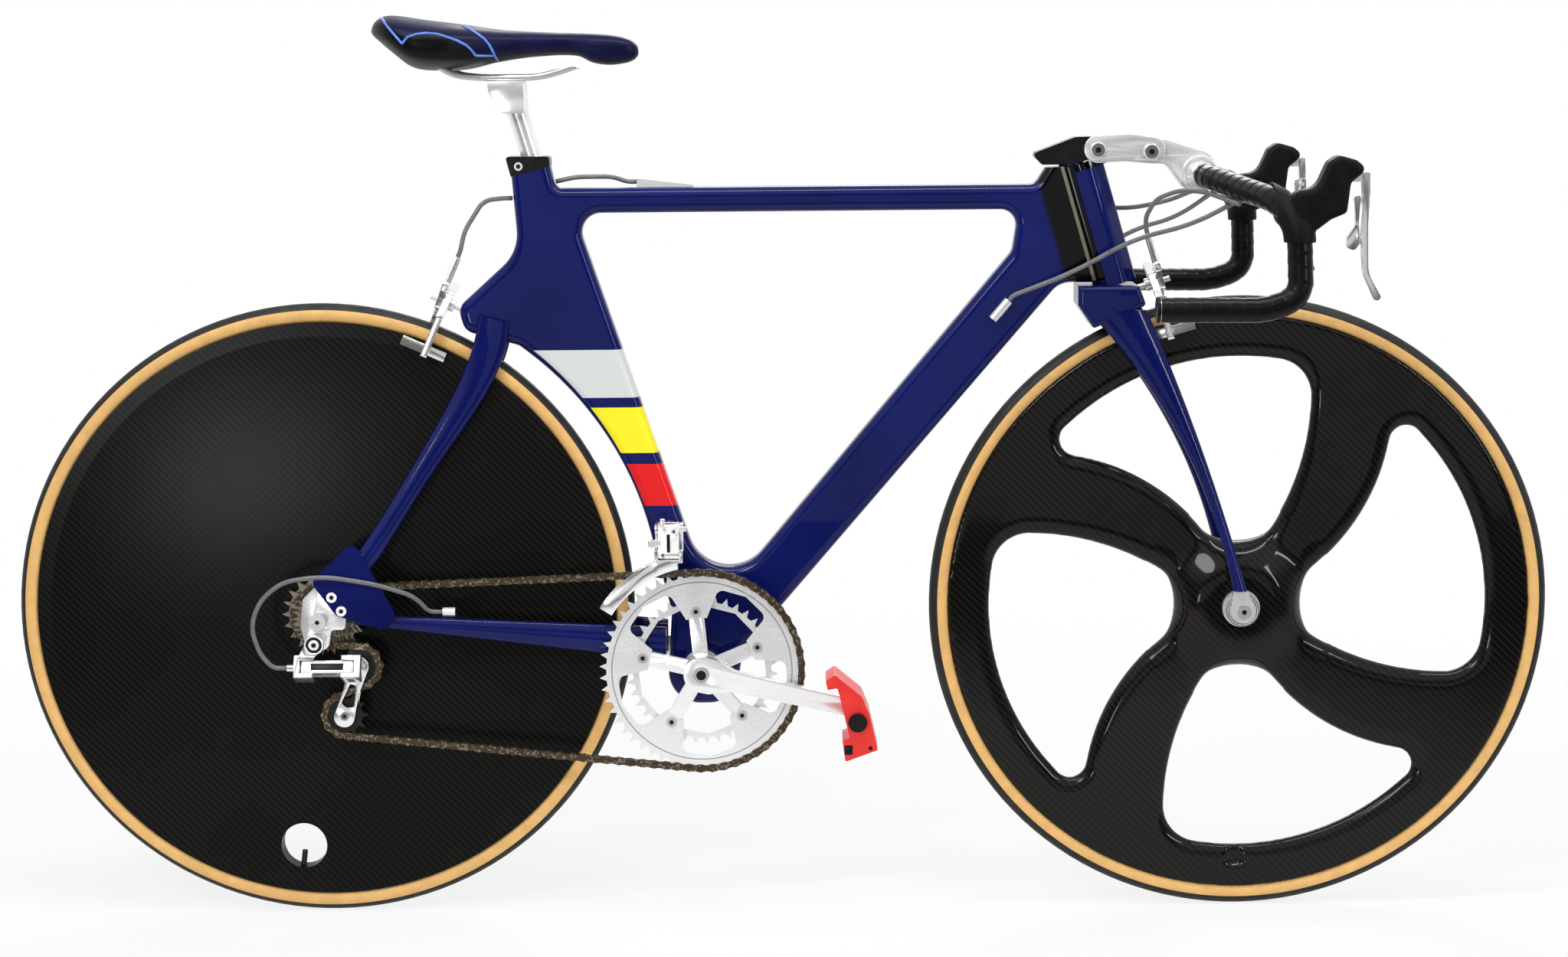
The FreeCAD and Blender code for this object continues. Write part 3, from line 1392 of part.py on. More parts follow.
def post_clamp():
    """The cradle on top of the post, under the rails."""
    head = new_body("PostHead")
    base = (POST_TOP.x, POST_TOP.z)
    pad(head, outline(scaled(HEAD_SHARES, mm.post_head_length, base)), "Sizes.post_head_width", symmetric=True)
    bore = cylinder("PostHeadBore", "Sizes.post_radius + Sizes.fit_gap", "Sizes.post_exposed",
                    POST_TOP - SEAT_UP * (mm.post_exposed - mm.fit_gap), SEAT_UP)
    return keep(cut("PostClamp", head, bore), "seatpost_clamp")


SADDLE_SHARES = (
    (0.0, 0.55, -0.16, 0.30),
    (0.07, 0.95, 0.0, 0.72),
    (0.30, 1.0, -0.06, 0.90),
    (0.58, 0.48, -0.42, 0.62),
    (0.85, 0.25, -0.50, 0.48),
    (1.0, 0.14, -0.72, 0.26),
)


def saddle_section(x, half, top, depth):
    """A crowned section with drawn-in sides."""
    low = top - depth
    edge = top - 0.38 * depth
    flank = top - 0.75 * depth
    crown = Part.Arc(Vector(x, -half, edge), Vector(x, 0, top), Vector(x, half, edge))
    right = Part.Arc(Vector(x, half, edge), Vector(x, 0.98 * half, flank), Vector(x, 0.8 * half, low))
    under = Part.LineSegment(Vector(x, 0.8 * half, low), Vector(x, -0.8 * half, low))
    left = Part.Arc(Vector(x, -0.8 * half, low), Vector(x, -0.98 * half, flank), Vector(x, -half, edge))
    return Part.Wire([run.toShape() for run in (crown, right, under, left)])


def saddle():
    tail = BRACKET[0] - mm.saddle_tail_setback
    sections = []
    for along, half, top, depth in SADDLE_SHARES:
        sections.append(
            saddle_section(
                tail + along * mm.saddle_length, half * mm.saddle_half_width,
                SEAT_TOP[1] + mm.saddle_rise + top * mm.saddle_depth, depth * mm.saddle_depth))
    return keep(feature("Saddle", Part.makeLoft(sections, True, False)), "saddle")


RAIL_SHARES = (
    (0.20, 1.6, 0.09),
    (0.30, 1.15, 0.012),
    (0.40, 1.0, 0.0),
    (0.62, 1.0, 0.0),
    (0.70, 0.8, 0.02),
    (0.82, 0.4, 0.06),
)


def saddle_rails():
    """Two bent rods on the post's cradle, ending where they meet the saddle."""
    tail = BRACKET[0] - mm.saddle_tail_setback
    seat = POST_TOP.z + HEAD_SHARES[0][1] * mm.post_head_length + mm.rail_radius
    points = []
    for along, spread, rise in RAIL_SHARES:
        x = tail + along * mm.saddle_length
        points.append(Vector(x, RIGHT * spread * mm.rail_half_spacing, seat + rise * mm.saddle_length))
    rod = feature("Rail", tube(points, mm.rail_radius)[0])
    trimmed = cut("RailRight", rod, NODES["saddle"])
    return keep(pair("Rails", trimmed), "saddle_rails")


# Cranks, drawn along the arm and turned to the crank angle


def crank_shape(length, boss, eye):
    points = [
        (-0.7 * boss, boss, 0.7 * boss),
        (0.6 * boss, boss, 0.6 * boss),
        (1.9 * boss, 0.58 * boss, boss),
        (length - eye, 0.75 * eye, eye),
        (length + eye, eye, 0.85 * eye),
        (length + eye, -eye, 0.85 * eye),
        (length - eye, -0.75 * eye, eye),
        (1.9 * boss, -0.58 * boss, boss),
        (0.6 * boss, -boss, 0.6 * boss),
        (-0.7 * boss, -boss, 0.7 * boss),
    ]
    return outline(points)


def crank_arm(name):
    """An arm pointing forward on the drive side."""
    arm = new_body(name)
    edges = crank_shape(mm.crank_length, mm.crank_boss_radius, mm.crank_eye_radius)
    hole = circle(mm.crank_length, 0, mm.pedal_axle_radius + mm.fit_gap)
    pad(arm, edges + hole, "Sizes.crank_thickness", offset=Vector(0, 0, mm.crank_inner))
    return arm


def turned_crank(item, flip=0.0):
    """Turn a piece drawn about the spindle to the crank angle."""
    item.Placement = Placement(at(BRACKET), Rotation(ALONG_Y, -(mm.crank_angle + flip)))
    return item


def right_crank():
    arm = crank_arm("RightArm")
    spider_start = mm.chain_line - mm.ring_spacing + mm.sprocket_thickness / 2
    spider = new_body("Spider")
    tab = mm.spider_tab_radius
    half = mm.spider_arm_width / 2
    edges = outline([
        (0, half, 0), (mm.bolt_circle_radius + tab, tab, tab * 0.9),
        (mm.bolt_circle_radius + tab, -tab, tab * 0.9), (0, -half, 0)])
    hole = circle(mm.bolt_circle_radius, 0, mm.ring_bolt_radius + mm.fit_gap)
    first = pad(spider, edges + hole, "Sizes.ring_spacing - Sizes.sprocket_thickness",
                offset=Vector(0, 0, spider_start))
    arms = spider.newObject("PartDesign::PolarPattern", "SpiderArms")
    arms.Originals = [first]
    arms.Axis = (first.Profile[0], ["N_Axis"])
    arms.Angle = 2 * HALF_CIRCLE
    arms.Occurrences = SPIDER_ARMS
    spider.Tip = arms
    place(spider, angle=HALF_CIRCLE / SPIDER_ARMS)
    boss_end = mm.crank_inner + mm.crank_thickness
    boss = cylinder("RightBoss", "Sizes.crank_boss_radius",
                    "Sizes.crank_inner + Sizes.crank_thickness - Sizes.chain_line + Sizes.ring_spacing"
                    " - Sizes.sprocket_thickness / 2",
                    Vector(0, -boss_end, 0), ALONG_Y)
    bore = cylinder("RightBossBore", "Sizes.spindle_radius + Sizes.fit_gap", "Sizes.crank_inner * 2",
                    Vector(0, -2 * boss_end, 0), ALONG_Y)
    turned_crank(keep(cut("RightCrank", fuse("RightCrankSolid", [arm, spider, boss]), bore), "right_crank"))


def left_crank():
    """The plain arm on the far side, pointing the other way."""
    arm = crank_arm("LeftArm")
    boss_end = mm.crank_inner + mm.crank_thickness
    boss = cylinder("LeftBoss", "Sizes.crank_boss_radius", "Sizes.crank_thickness * 2",
                    Vector(0, -boss_end, 0), ALONG_Y)
    bore = cylinder("LeftBossBore", "Sizes.spindle_radius + Sizes.fit_gap", "Sizes.crank_inner * 2",
                    Vector(0, -2 * boss_end, 0), ALONG_Y)
    solid = cut("LeftCrankSolid", fuse("LeftCrankFused", [arm, boss]), bore)
    turned_crank(keep(mirrored("LeftCrank", solid), "left_crank"), HALF_CIRCLE)


def spindle():
    """The bottom bracket spindle with a bolt cap at each end."""
    end = mm.crank_inner + mm.crank_thickness
    rod = cylinder("SpindleRod", "Sizes.spindle_radius", "(Sizes.crank_inner + Sizes.crank_thickness) * 2",
                   at(BRACKET, -end), ALONG_Y)
    caps = []
    for side in SIDES:
        start = -end - mm.crank_bolt_height if side == RIGHT else end
        caps.append(cylinder(f"SpindleCap{side + 1}", "Sizes.crank_bolt_radius", "Sizes.crank_bolt_height",
                             at(BRACKET, start), ALONG_Y))
    return fuse("Spindle", [rod] + caps)


def bearing_cups():
    """Bottom bracket cups and headset races, all fixed in the frame."""
    bore = mm.spindle_radius + mm.fit_gap
    end = mm.bracket_shell_width / 2
    section = (
        (bore, end - mm.cup_depth),
        (mm.bracket_bore_radius, end - mm.cup_depth),
        (mm.bracket_bore_radius, end + mm.fit_gap),
        (mm.cup_flange_radius, end + mm.fit_gap), (mm.cup_flange_radius, end + mm.cup_flange_width),
        (bore, end + mm.cup_flange_width),
    )
    right = ring_profile("BracketCup", [(r, -y) for r, y in section])
    place(right, at(BRACKET))
    keep(pair("BracketCups", right), "bottom_bracket_cups")


def crank_bolts():
    """Chainring bolts on their circle."""
    start = mm.chain_line - mm.ring_spacing - mm.sprocket_thickness / 2
    end = mm.chain_line + mm.sprocket_thickness / 2
    head = mm.ring_bolt_head_height
    section = (
        (0, -start + head), (mm.ring_bolt_head_radius, -start + head), (mm.ring_bolt_head_radius, -start),
        (mm.ring_bolt_radius, -start), (mm.ring_bolt_radius, -end), (mm.ring_bolt_head_radius, -end),
        (mm.ring_bolt_head_radius, -end - head), (0, -end - head),
    )
    bolt = ring_profile("RingBolt", section)
    doc.recompute()
    copies = []
    for number in range(SPIDER_ARMS):
        angle = (number + 0.5) * 2 * HALF_CIRCLE / SPIDER_ARMS
        x, z = polar((0, 0), angle, mm.bolt_circle_radius)
        copy = bolt.Shape.copy()
        copy.translate(Vector(x, 0, z))
        copies.append(copy)
    return turned_crank(feature("RingBolts", Part.makeCompound(copies)))


PEDAL_SHARES = (
    (-0.25, 0.53, 0.03),
    (-0.35, 0.46, 0.02),
    (-0.33, 0.36, 0.01),
    (-0.22, 0.38, 0.02),
    (-0.15, 0.08, 0.0),
    (-0.09, -0.18, 0.0),
    (-0.17, -0.21, 0.01),
    (-0.14, -0.45, 0.02),
    (0.22, -0.32, 0.02),
    (0.13, 0.08, 0.1),
    (0.05, 0.28, 0.1),
)


def pedal_axles():
    start = mm.crank_inner
    right_eye = polar(BRACKET, mm.crank_angle, mm.crank_length)
    left_eye = polar(BRACKET, mm.crank_angle + HALF_CIRCLE, mm.crank_length)
    right = cylinder("RightPedalAxle", "Sizes.pedal_axle_radius", "Sizes.pedal_axle_length",
                     at(right_eye, -start - mm.pedal_axle_length), ALONG_Y)
    left = cylinder(
        "LeftPedalAxle", "Sizes.pedal_axle_radius", "Sizes.pedal_axle_length", at(left_eye, start), ALONG_Y)
    keep(group("PedalAxles", [right, left]), "pedal_axles")
    return right_eye, left_eye


def pedal(name):
    """A hook-fronted clipless pedal about its axle, drive side."""
    start = mm.crank_inner + mm.crank_thickness + mm.pedal_body_start
    body = new_body(name)
    pad(body, outline(scaled(PEDAL_SHARES, mm.pedal_height)), "Sizes.pedal_body_width", offset=Vector(0, 0, start))
    barrel_start = mm.crank_inner + mm.crank_thickness + mm.cut_overrun
    pad(body, circle(0, 0, mm.pedal_barrel_radius), "Sizes.pedal_body_start + Sizes.pedal_body_width",
        offset=Vector(0, 0, barrel_start))
    pocket(body, circle(0, 0, mm.pedal_axle_radius + mm.fit_gap), "Sizes.crank_length * 4")
    return body


def pedals():
    right_eye, left_eye = pedal_axles()
    place(keep(pedal("RightPedal"), "right_pedal"), at(right_eye))
    left = mirrored("LeftPedal", pedal("LeftPedalSource"))
    place(keep(left, "left_pedal"), at(left_eye))


# Chain and sprockets


def pitch_radius(teeth):
    return mm.chain_pitch / (2 * math.sin(math.pi / teeth))


GUIDE = (REAR_AXLE[0] + mm.guide_forward, REAR_AXLE[1] - mm.guide_drop)


def chain_circles(cage_angle):
    """Chainring, tension pulley, guide pulley and cog, as the chain runs: (centre, teeth, turn)."""
    tension = polar(GUIDE, cage_angle, mm.pulley_spacing)
    return (
        (BRACKET, OUTER_RING_TEETH, -1),
        (tension, PULLEY_TEETH, -1),
        (GUIDE, PULLEY_TEETH, 1),
        (REAR_AXLE, COG_TEETH[DRIVEN_COG], -1),
    )


def chain_spans(circles):
    """Straight runs between neighbours as (start, end, length, heading)."""
    spans = []
    for index, (centre, teeth, turn) in enumerate(circles):
        other, other_teeth, other_turn = circles[(index + 1) % len(circles)]
        offset = other_turn * pitch_radius(other_teeth) - turn * pitch_radius(teeth)
        dx = other[0] - centre[0]
        dz = other[1] - centre[1]
        length = math.sqrt(dx * dx + dz * dz - offset * offset)
        heading = math.atan2(dz, dx) - math.atan2(offset, length)
        normal = heading + math.pi / 2
        start = polar(centre, math.degrees(normal), -turn * pitch_radius(teeth))
        end = polar(other, math.degrees(normal), -other_turn * pitch_radius(other_teeth))
        spans.append((start, end, length, heading))
    return spans


def chain_wraps(circles, spans):
    """Angle that the chain lies on each sprocket."""
    wraps = []
    for index, (centre, teeth, turn) in enumerate(circles):
        arrive = spans[index - 1][3]
        leave = spans[index][3]
        wraps.append((turn * (leave - arrive)) % (2 * math.pi))
    return wraps


def chain_length(cage_angle):
    circles = chain_circles(cage_angle)
    spans = chain_spans(circles)
    wraps = chain_wraps(circles, spans)
    arcs = sum(w * c[1] * mm.chain_pitch / (2 * math.pi) for w, c in zip(wraps, circles))
    return arcs + sum(span[2] for span in spans)


CAGE_ANGLES = (225.0, 285.0)


def settle_cage():
    """The cage angle at which the chain has a whole, even number of links."""
    low, high = CAGE_ANGLES
    links = 2 * round(chain_length(sum(CAGE_ANGLES) / 2) / (2 * mm.chain_pitch))
    target = links * mm.chain_pitch
    rising = chain_length(high) > chain_length(low)
    for _ in range(60):
        middle = (low + high) / 2
        if (chain_length(middle) < target) == rising:
            low = middle
        else:
            high = middle
    return middle, links


CAGE_ANGLE, LINK_COUNT = settle_cage()
TENSION = polar(GUIDE, CAGE_ANGLE, mm.pulley_spacing)


def chain_pins():
    """Every pin's place, and for each sprocket the angle of one pin that lies on it."""
    circles = chain_circles(CAGE_ANGLE)
    spans = chain_spans(circles)
    wraps = chain_wraps(circles, spans)
    pins = []
    phases = [None] * len(circles)
    wanted = 0.0
    travelled = 0.0
    for index, (centre, teeth, turn) in enumerate(circles):
        per_angle = teeth * mm.chain_pitch / (2 * math.pi)
        arrive = spans[index - 1][1]
        first = math.atan2(arrive[1] - centre[1], arrive[0] - centre[0])
        arc = wraps[index] * per_angle
        while wanted < travelled + arc:
            angle = first + turn * (wanted - travelled) / per_angle
            pins.append(polar(centre, math.degrees(angle), pitch_radius(teeth)))
            phases[index] = math.degrees(angle)
            wanted += mm.chain_pitch
        travelled += arc
        start, end, length, heading = spans[index]
        while wanted < travelled + length and len(pins) < LINK_COUNT:
            pins.append(polar(start, math.degrees(heading), wanted - travelled))
            wanted += mm.chain_pitch
        travelled += length
    return pins, phases


PINS, PHASES = chain_pins()


def prism(edges, start, length):
    """A profile in the bike's side view, as thick as length from y = start to the left."""
    shape = face_of(edges)
    shape.rotate(ORIGIN, ALONG_X, HALF_CIRCLE / 2)
    shape.translate(Vector(0, start, 0))
    return shape.extrude(Vector(0, length, 0))


def ring_of(points):
    return outline([(x, y, 0) for x, y in points])


def link_plate(start):
    half = mm.chain_pitch / 2
    high = mm.chain_plate_height / 2
    reach = half + high
    points = [(-reach, 0), (-half, -high), (half, -high), (reach, 0), (half, high), (-half, high)]
    return prism(ring_of(points), start, mm.chain_plate)


def inner_link():
    half = mm.chain_pitch / 2
    gap = mm.chain_inner_gap
    solid = link_plate(gap).fuse(link_plate(-gap - mm.chain_plate))
    for side in SIDES:
        corners = [polar((side * half, 0), 60.0 * step, mm.roller_radius) for step in range(6)]
        solid = solid.fuse(prism(ring_of(corners), -gap, 2 * gap))
    return [solid.removeSplitter()]


def outer_link():
    start = mm.chain_inner_gap + mm.chain_plate + mm.chain_plate_gap
    return [link_plate(start), link_plate(-start - mm.chain_plate)]


def chain():
    kinds = (inner_link(), outer_link())
    solids = []
    for index, (x, z) in enumerate(PINS):
        next_x, next_z = PINS[(index + 1) % len(PINS)]
        turn = math.degrees(math.atan2(next_z - z, next_x - x))
        middle = Vector((x + next_x) / 2, -mm.chain_line, (z + next_z) / 2)
        for template in kinds[index % 2]:
            piece = template.copy()
            piece.Placement = Placement(middle, Rotation(ALONG_Y, -turn))
            solids.append(piece)
    return keep(feature("Chain", Part.makeCompound(solids)), "chain")


def sprocket_edges(teeth, phase):
    """Pointed teeth with flat valleys under the rollers; one valley lies at the phase angle."""
    radius = pitch_radius(teeth)
    step = 2 * HALF_CIRCLE / teeth
    root = radius - mm.tooth_root
    valley = math.degrees(math.atan2(mm.tooth_valley_half, root))
    points = []
    for tooth in range(teeth):
        angle = phase + tooth * step
        reach = root / math.cos(math.radians(valley))
        points.append(polar((0, 0), angle - valley, reach))
        points.append(polar((0, 0), angle + valley, reach))
        points.append(polar((0, 0), angle + step / 2, radius + mm.tooth_rise))
    return ring_of(points)


def sprocket(name, teeth, phase, bore, y):
    body = new_body(name)
    edges = sprocket_edges(teeth, phase) + circle(0, 0, bore)
    pad(body, edges, "Sizes.sprocket_thickness", offset=Vector(0, 0, y), symmetric=True)
    return body


# Openings between the bolt tabs: share of the bolt circle, degrees from the middle, corner share

OUTER_WINDOW_SHARES = (
    (1.40, -19.0, 0.12),
    (1.44, 0.0, 0.0),
    (1.40, 19.0, 0.12),
    (0.80, 27.0, 0.0),
    (0.80, -27.0, 0.0),
)
INNER_WINDOW_SHARES = (
    (1.06, -25.0, 0.08),
    (1.09, 0.0, 0.0),
    (1.06, 25.0, 0.08),
    (0.80, 28.0, 0.0),
    (0.80, -28.0, 0.0),
)


def ring_window(shares, middle):
    points = []
    for share, spread, bend in shares:
        x, z = polar((0, 0), middle + spread, share * mm.bolt_circle_radius)
        points.append((x, z, bend * mm.bolt_circle_radius))
    return outline(points)


def chainrings():
    """Both rings are drawn at the crank's own angle, so that they turn with it."""
    phase = PHASES[0] - mm.crank_angle
    for label, teeth, y, shares in (
        ("outer_chainring", OUTER_RING_TEETH, mm.chain_line, OUTER_WINDOW_SHARES),
        ("inner_chainring", INNER_RING_TEETH, mm.chain_line - mm.ring_spacing, INNER_WINDOW_SHARES),
    ):
        ring = sprocket(label.title().replace("_", ""), teeth, phase, mm.ring_inner_radius, y)
        holes = []
        for number in range(SPIDER_ARMS):
            angle = (number + 0.5) * 2 * HALF_CIRCLE / SPIDER_ARMS
            holes += circle(*polar((0, 0), angle, mm.bolt_circle_radius), mm.ring_bolt_radius + mm.fit_gap)
        pocket(ring, holes, "Sizes.chain_line * 4")
        for number in range(SPIDER_ARMS):
            pocket(ring, ring_window(shares, number * 2 * HALF_CIRCLE / SPIDER_ARMS), "Sizes.chain_line * 4")
        turned_crank(keep(ring, label))


def cassette():
    cogs = []
    outermost = mm.chain_line + DRIVEN_COG * mm.cog_spacing
    for index, teeth in enumerate(COG_TEETH):
        phase = PHASES[3] if index == DRIVEN_COG else 0.0
        y = outermost - index * mm.cog_spacing
        cogs.append(place(sprocket(f"Cog{teeth}T", teeth, phase, mm.freehub_radius + mm.fit_gap, y), at(REAR_AXLE)))
    bore = mm.rear_axle_radius + mm.fit_gap
    inner_end = mm.disc_half_width + mm.rear_hub_flange_width + mm.running_gap + mm.fit_gap
    outer_cog = outermost + mm.sprocket_thickness / 2 + mm.fit_gap
    end = mm.hub_spacing_rear / 2 - mm.running_gap
    section = (
        (bore, -inner_end), (mm.freehub_radius, -inner_end), (mm.freehub_radius, -outer_cog),
        (mm.lockring_radius, -outer_cog), (mm.lockring_radius, -end), (bore, -end),
    )
    freehub = place(ring_profile("Freehub", section), at(REAR_AXLE))
    keep(group("Cassette", cogs + [freehub]), "cassette")


# Rear derailleur. Its two links swing on slanted pins, so they are drawn in a slanted frame: x forward,
# z along the pins, y towards the wheel.

LINK_FOOT = Vector(HANGER[0] - mm.link_rear_setback, RIGHT * mm.link_outboard, HANGER[1] - mm.link_rear_drop)
SLANT_FRAME = Placement(LINK_FOOT, Rotation(ALONG_X, -mm.derailleur_slant))


def clevis(name, x, toward):
    """A wall behind the links' ends with an ear above and below, and the two pins; toward is the way to the links."""
    eye = mm.link_height / 2 - mm.running_gap
    half_height = mm.link_height / 2
    wall = eye + 2 * mm.running_gap
    block = new_body(name)
    low = -mm.link_thickness / 2 - mm.link_wall_margin
    high = mm.link_gap + mm.link_thickness / 2 + mm.link_wall_margin
    back = x - toward * (wall + mm.link_wall)
    front = x + toward * eye
    top = half_height + mm.running_gap + mm.link_ear
    pad(block, rectangle(min(back, front), low, max(back, front), high),
        "(Sizes.link_height / 2 + Sizes.running_gap + Sizes.link_ear) * 2", "XY_Plane", symmetric=True)
    inside = x - toward * wall
    outside = x + toward * (2 * eye)
    room = half_height + mm.running_gap
    pocket(block, rectangle(min(inside, outside), -room, max(inside, outside), room), "Sizes.bar_half_width")
    pins = [Part.Circle(Vector(x, y, 0), ALONG_Z, mm.link_pin_radius) for y in (0.0, mm.link_gap)]
    pad(block, pins, "Sizes.link_height + Sizes.running_gap * 2 + Sizes.link_ear", "XY_Plane", symmetric=True)
    block.Placement = SLANT_FRAME
    return block, top


def swing_link(name, y):
    """One link on its two pins."""
    link = new_body(name)
    end = mm.link_height / 2 - mm.running_gap * 2
    half = mm.link_thickness / 2
    edges = outline([
        (-end, y - half, half * 0.9), (mm.link_length + end, y - half, half * 0.9),
        (mm.link_length + end, y + half, half * 0.9), (-end, y + half, half * 0.9)])
    holes = circle(0, y, mm.link_pin_radius + mm.fit_gap) + circle(mm.link_length, y, mm.link_pin_radius + mm.fit_gap)
    pad(link, edges + holes, "Sizes.link_height", "XY_Plane", symmetric=True)
    link.Placement = SLANT_FRAME
    return link


def upper_knuckle():
    """The part that hangs on the dropout: hanger bolt, boss, neck, clevis and cable barrel."""
    face = mm.hub_spacing_rear / 2 + mm.dropout_thickness + mm.running_gap
    boss = cylinder("KnuckleBoss", "Sizes.upper_knuckle_radius", "Sizes.upper_knuckle_thickness", at(HANGER, -face),
                    ALONG_Y * -1)
    bolt = cylinder("HangerBolt", "Sizes.hanger_bolt_radius", "Sizes.dropout_thickness + Sizes.running_gap",
                    at(HANGER, -face), ALONG_Y)
    block, top = clevis("UpperClevis", 0.0, LEFT)
    neck = new_body("KnuckleNeck")
    foot = LINK_FOOT.z + top * math.cos(math.radians(mm.derailleur_slant)) - mm.link_ear / 2
    radius = mm.upper_knuckle_radius
    edges = outline([
        (LINK_FOOT.x - radius, foot, 0), (LINK_FOOT.x + 0.6 * radius, foot, 0),
        (HANGER[0] + 0.6 * radius, HANGER[1] - 0.6 * radius, 0),
        (HANGER[0] - 0.8 * radius, HANGER[1] + 0.4 * radius, 0)])
    pad(neck, edges, "Sizes.upper_knuckle_thickness * 0.6", offset=Vector(0, 0, face))
    barrel = cylinder("CableBarrel", "Sizes.cable_barrel_radius", "Sizes.cable_barrel_length",
                      LINK_FOOT - ALONG_X * (mm.link_height / 2), BARREL_WAY)
    keep(fuse("UpperKnuckle", [boss, bolt, neck, block, barrel]), "rd_upper_knuckle")


BARREL_WAY = Vector(-1, 0, 0)
BARREL_END = LINK_FOOT - ALONG_X * (mm.link_height / 2 + mm.cable_barrel_length)


def lower_knuckle():
    """The part that the links carry, with the bearing of the cage."""
    start = mm.chain_line + mm.cage_half_gap + mm.cage_plate + mm.running_gap
    boss = cylinder(
        "CageBearing", "Sizes.cage_bearing_radius", "Sizes.cage_bearing_width", at(GUIDE, -start), ALONG_Y * -1)
    bore = cylinder(
        "CageBore", "Sizes.cage_pivot_radius + Sizes.fit_gap", "Sizes.cage_bearing_width + Sizes.cage_plate",
        at(GUIDE, -start + mm.cut_overrun), ALONG_Y * -1)
    block, top = clevis("LowerClevis", mm.link_length, RIGHT)
    wall_x = LINK_FOOT.x + mm.link_length + mm.link_height / 2 + mm.running_gap
    bridge = new_body("KnuckleBridge")
    low = GUIDE[1] - 0.6 * mm.cage_bearing_radius
    high = GUIDE[1] + mm.cage_bearing_radius
    edges = rectangle(wall_x, low, wall_x + mm.link_wall, high)
    pad(bridge, edges, "Sizes.link_outboard - Sizes.chain_line - Sizes.cage_half_gap - Sizes.cage_plate"
        " - Sizes.running_gap", offset=Vector(0, 0, start))
    keep(cut("LowerKnuckle", fuse("LowerKnuckleSolid", [boss, block, bridge]), bore), "rd_lower_knuckle")


# Opening in the cage, as shares of its radius from the tension pulley

CAGE_WINDOW_SHARES = (
    (-3.0, -0.30, 0.15),
    (-1.05, -0.60, 0.3),
    (-0.80, 0.0, 0.5),
    (-1.05, 0.60, 0.3),
    (-3.0, 0.30, 0.15),
)


def cage():
    """Two plates round the pulleys, with the pulley bolts and the pivot in the lower knuckle."""
    radius = mm.cage_radius
    reach = mm.pulley_spacing
    stadium = [(-radius, radius, 0.9 * radius), (reach / 2, 0.72 * radius, radius),
               (reach + radius, radius, 0.9 * radius), (reach + radius, -radius, 0.9 * radius),
               (reach / 2, -0.72 * radius, radius), (-radius, -radius, 0.9 * radius)]
    frame = new_body("Cage")
    outer = mm.chain_line + mm.cage_half_gap
    inner = mm.chain_line - mm.cage_half_gap - mm.cage_plate
    pad(frame, outline(stadium), "Sizes.cage_plate", offset=Vector(0, 0, outer))
    bolts = circle(0, 0, mm.pulley_bolt_radius) + circle(reach, 0, mm.pulley_bolt_radius)
    pad(frame, bolts, "Sizes.cage_half_gap * 2 + Sizes.cage_plate", offset=Vector(0, 0, inner + mm.cage_plate / 2))
    pad(frame, outline(stadium), "Sizes.cage_plate", offset=Vector(0, 0, inner))
    pad(frame, circle(0, 0, mm.cage_pivot_radius), "Sizes.cage_bearing_width + Sizes.cage_plate",
        offset=Vector(0, 0, outer))
    pocket(frame, outline(scaled(CAGE_WINDOW_SHARES, mm.cage_radius, (reach, 0))), "Sizes.chain_line * 4")
    frame.Placement = Placement(at(GUIDE), Rotation(ALONG_Y, -CAGE_ANGLE))
    keep(frame, "rd_cage")


def pulley(name, centre, phase, label):
    wheel = new_body(name)
    offset = Vector(0, 0, mm.chain_line)
    pad(wheel, sprocket_edges(PULLEY_TEETH, phase), "Sizes.sprocket_thickness", offset=offset, symmetric=True)
    pad(wheel, circle(0, 0, mm.pulley_body_radius), "(Sizes.cage_half_gap - Sizes.running_gap) * 2", offset=offset,
        symmetric=True)
    pocket(wheel, circle(0, 0, mm.pulley_bolt_radius + mm.fit_gap), "Sizes.chain_line * 4")
    place(keep(wheel, label), at(centre))


def rear_derailleur():
    upper_knuckle()
    keep(swing_link("OuterLink", 0.0), "rd_outer_link")
    keep(swing_link("InnerLink", mm.link_gap), "rd_inner_link")
    lower_knuckle()
    cage()
    pulley("GuidePulley", GUIDE, PHASES[2], "rd_guide_pulley")
    pulley("TensionPulley", TENSION, PHASES[1], "rd_tension_pulley")


# Front derailleur. Its link swings on pins along the bike.

SHIFTER_FOOT = (BRACKET[0] - mm.shifter_setback, BRACKET[1] + mm.shifter_rise)
SHIFTER_TOP = Vector(SHIFTER_FOOT[0], RIGHT * (mm.chain_line - mm.shifter_link_out), SHIFTER_FOOT[1])
SHIFTER_LOW = Vector(SHIFTER_FOOT[0], RIGHT * mm.chain_line, SHIFTER_FOOT[1] - mm.shifter_link_drop)


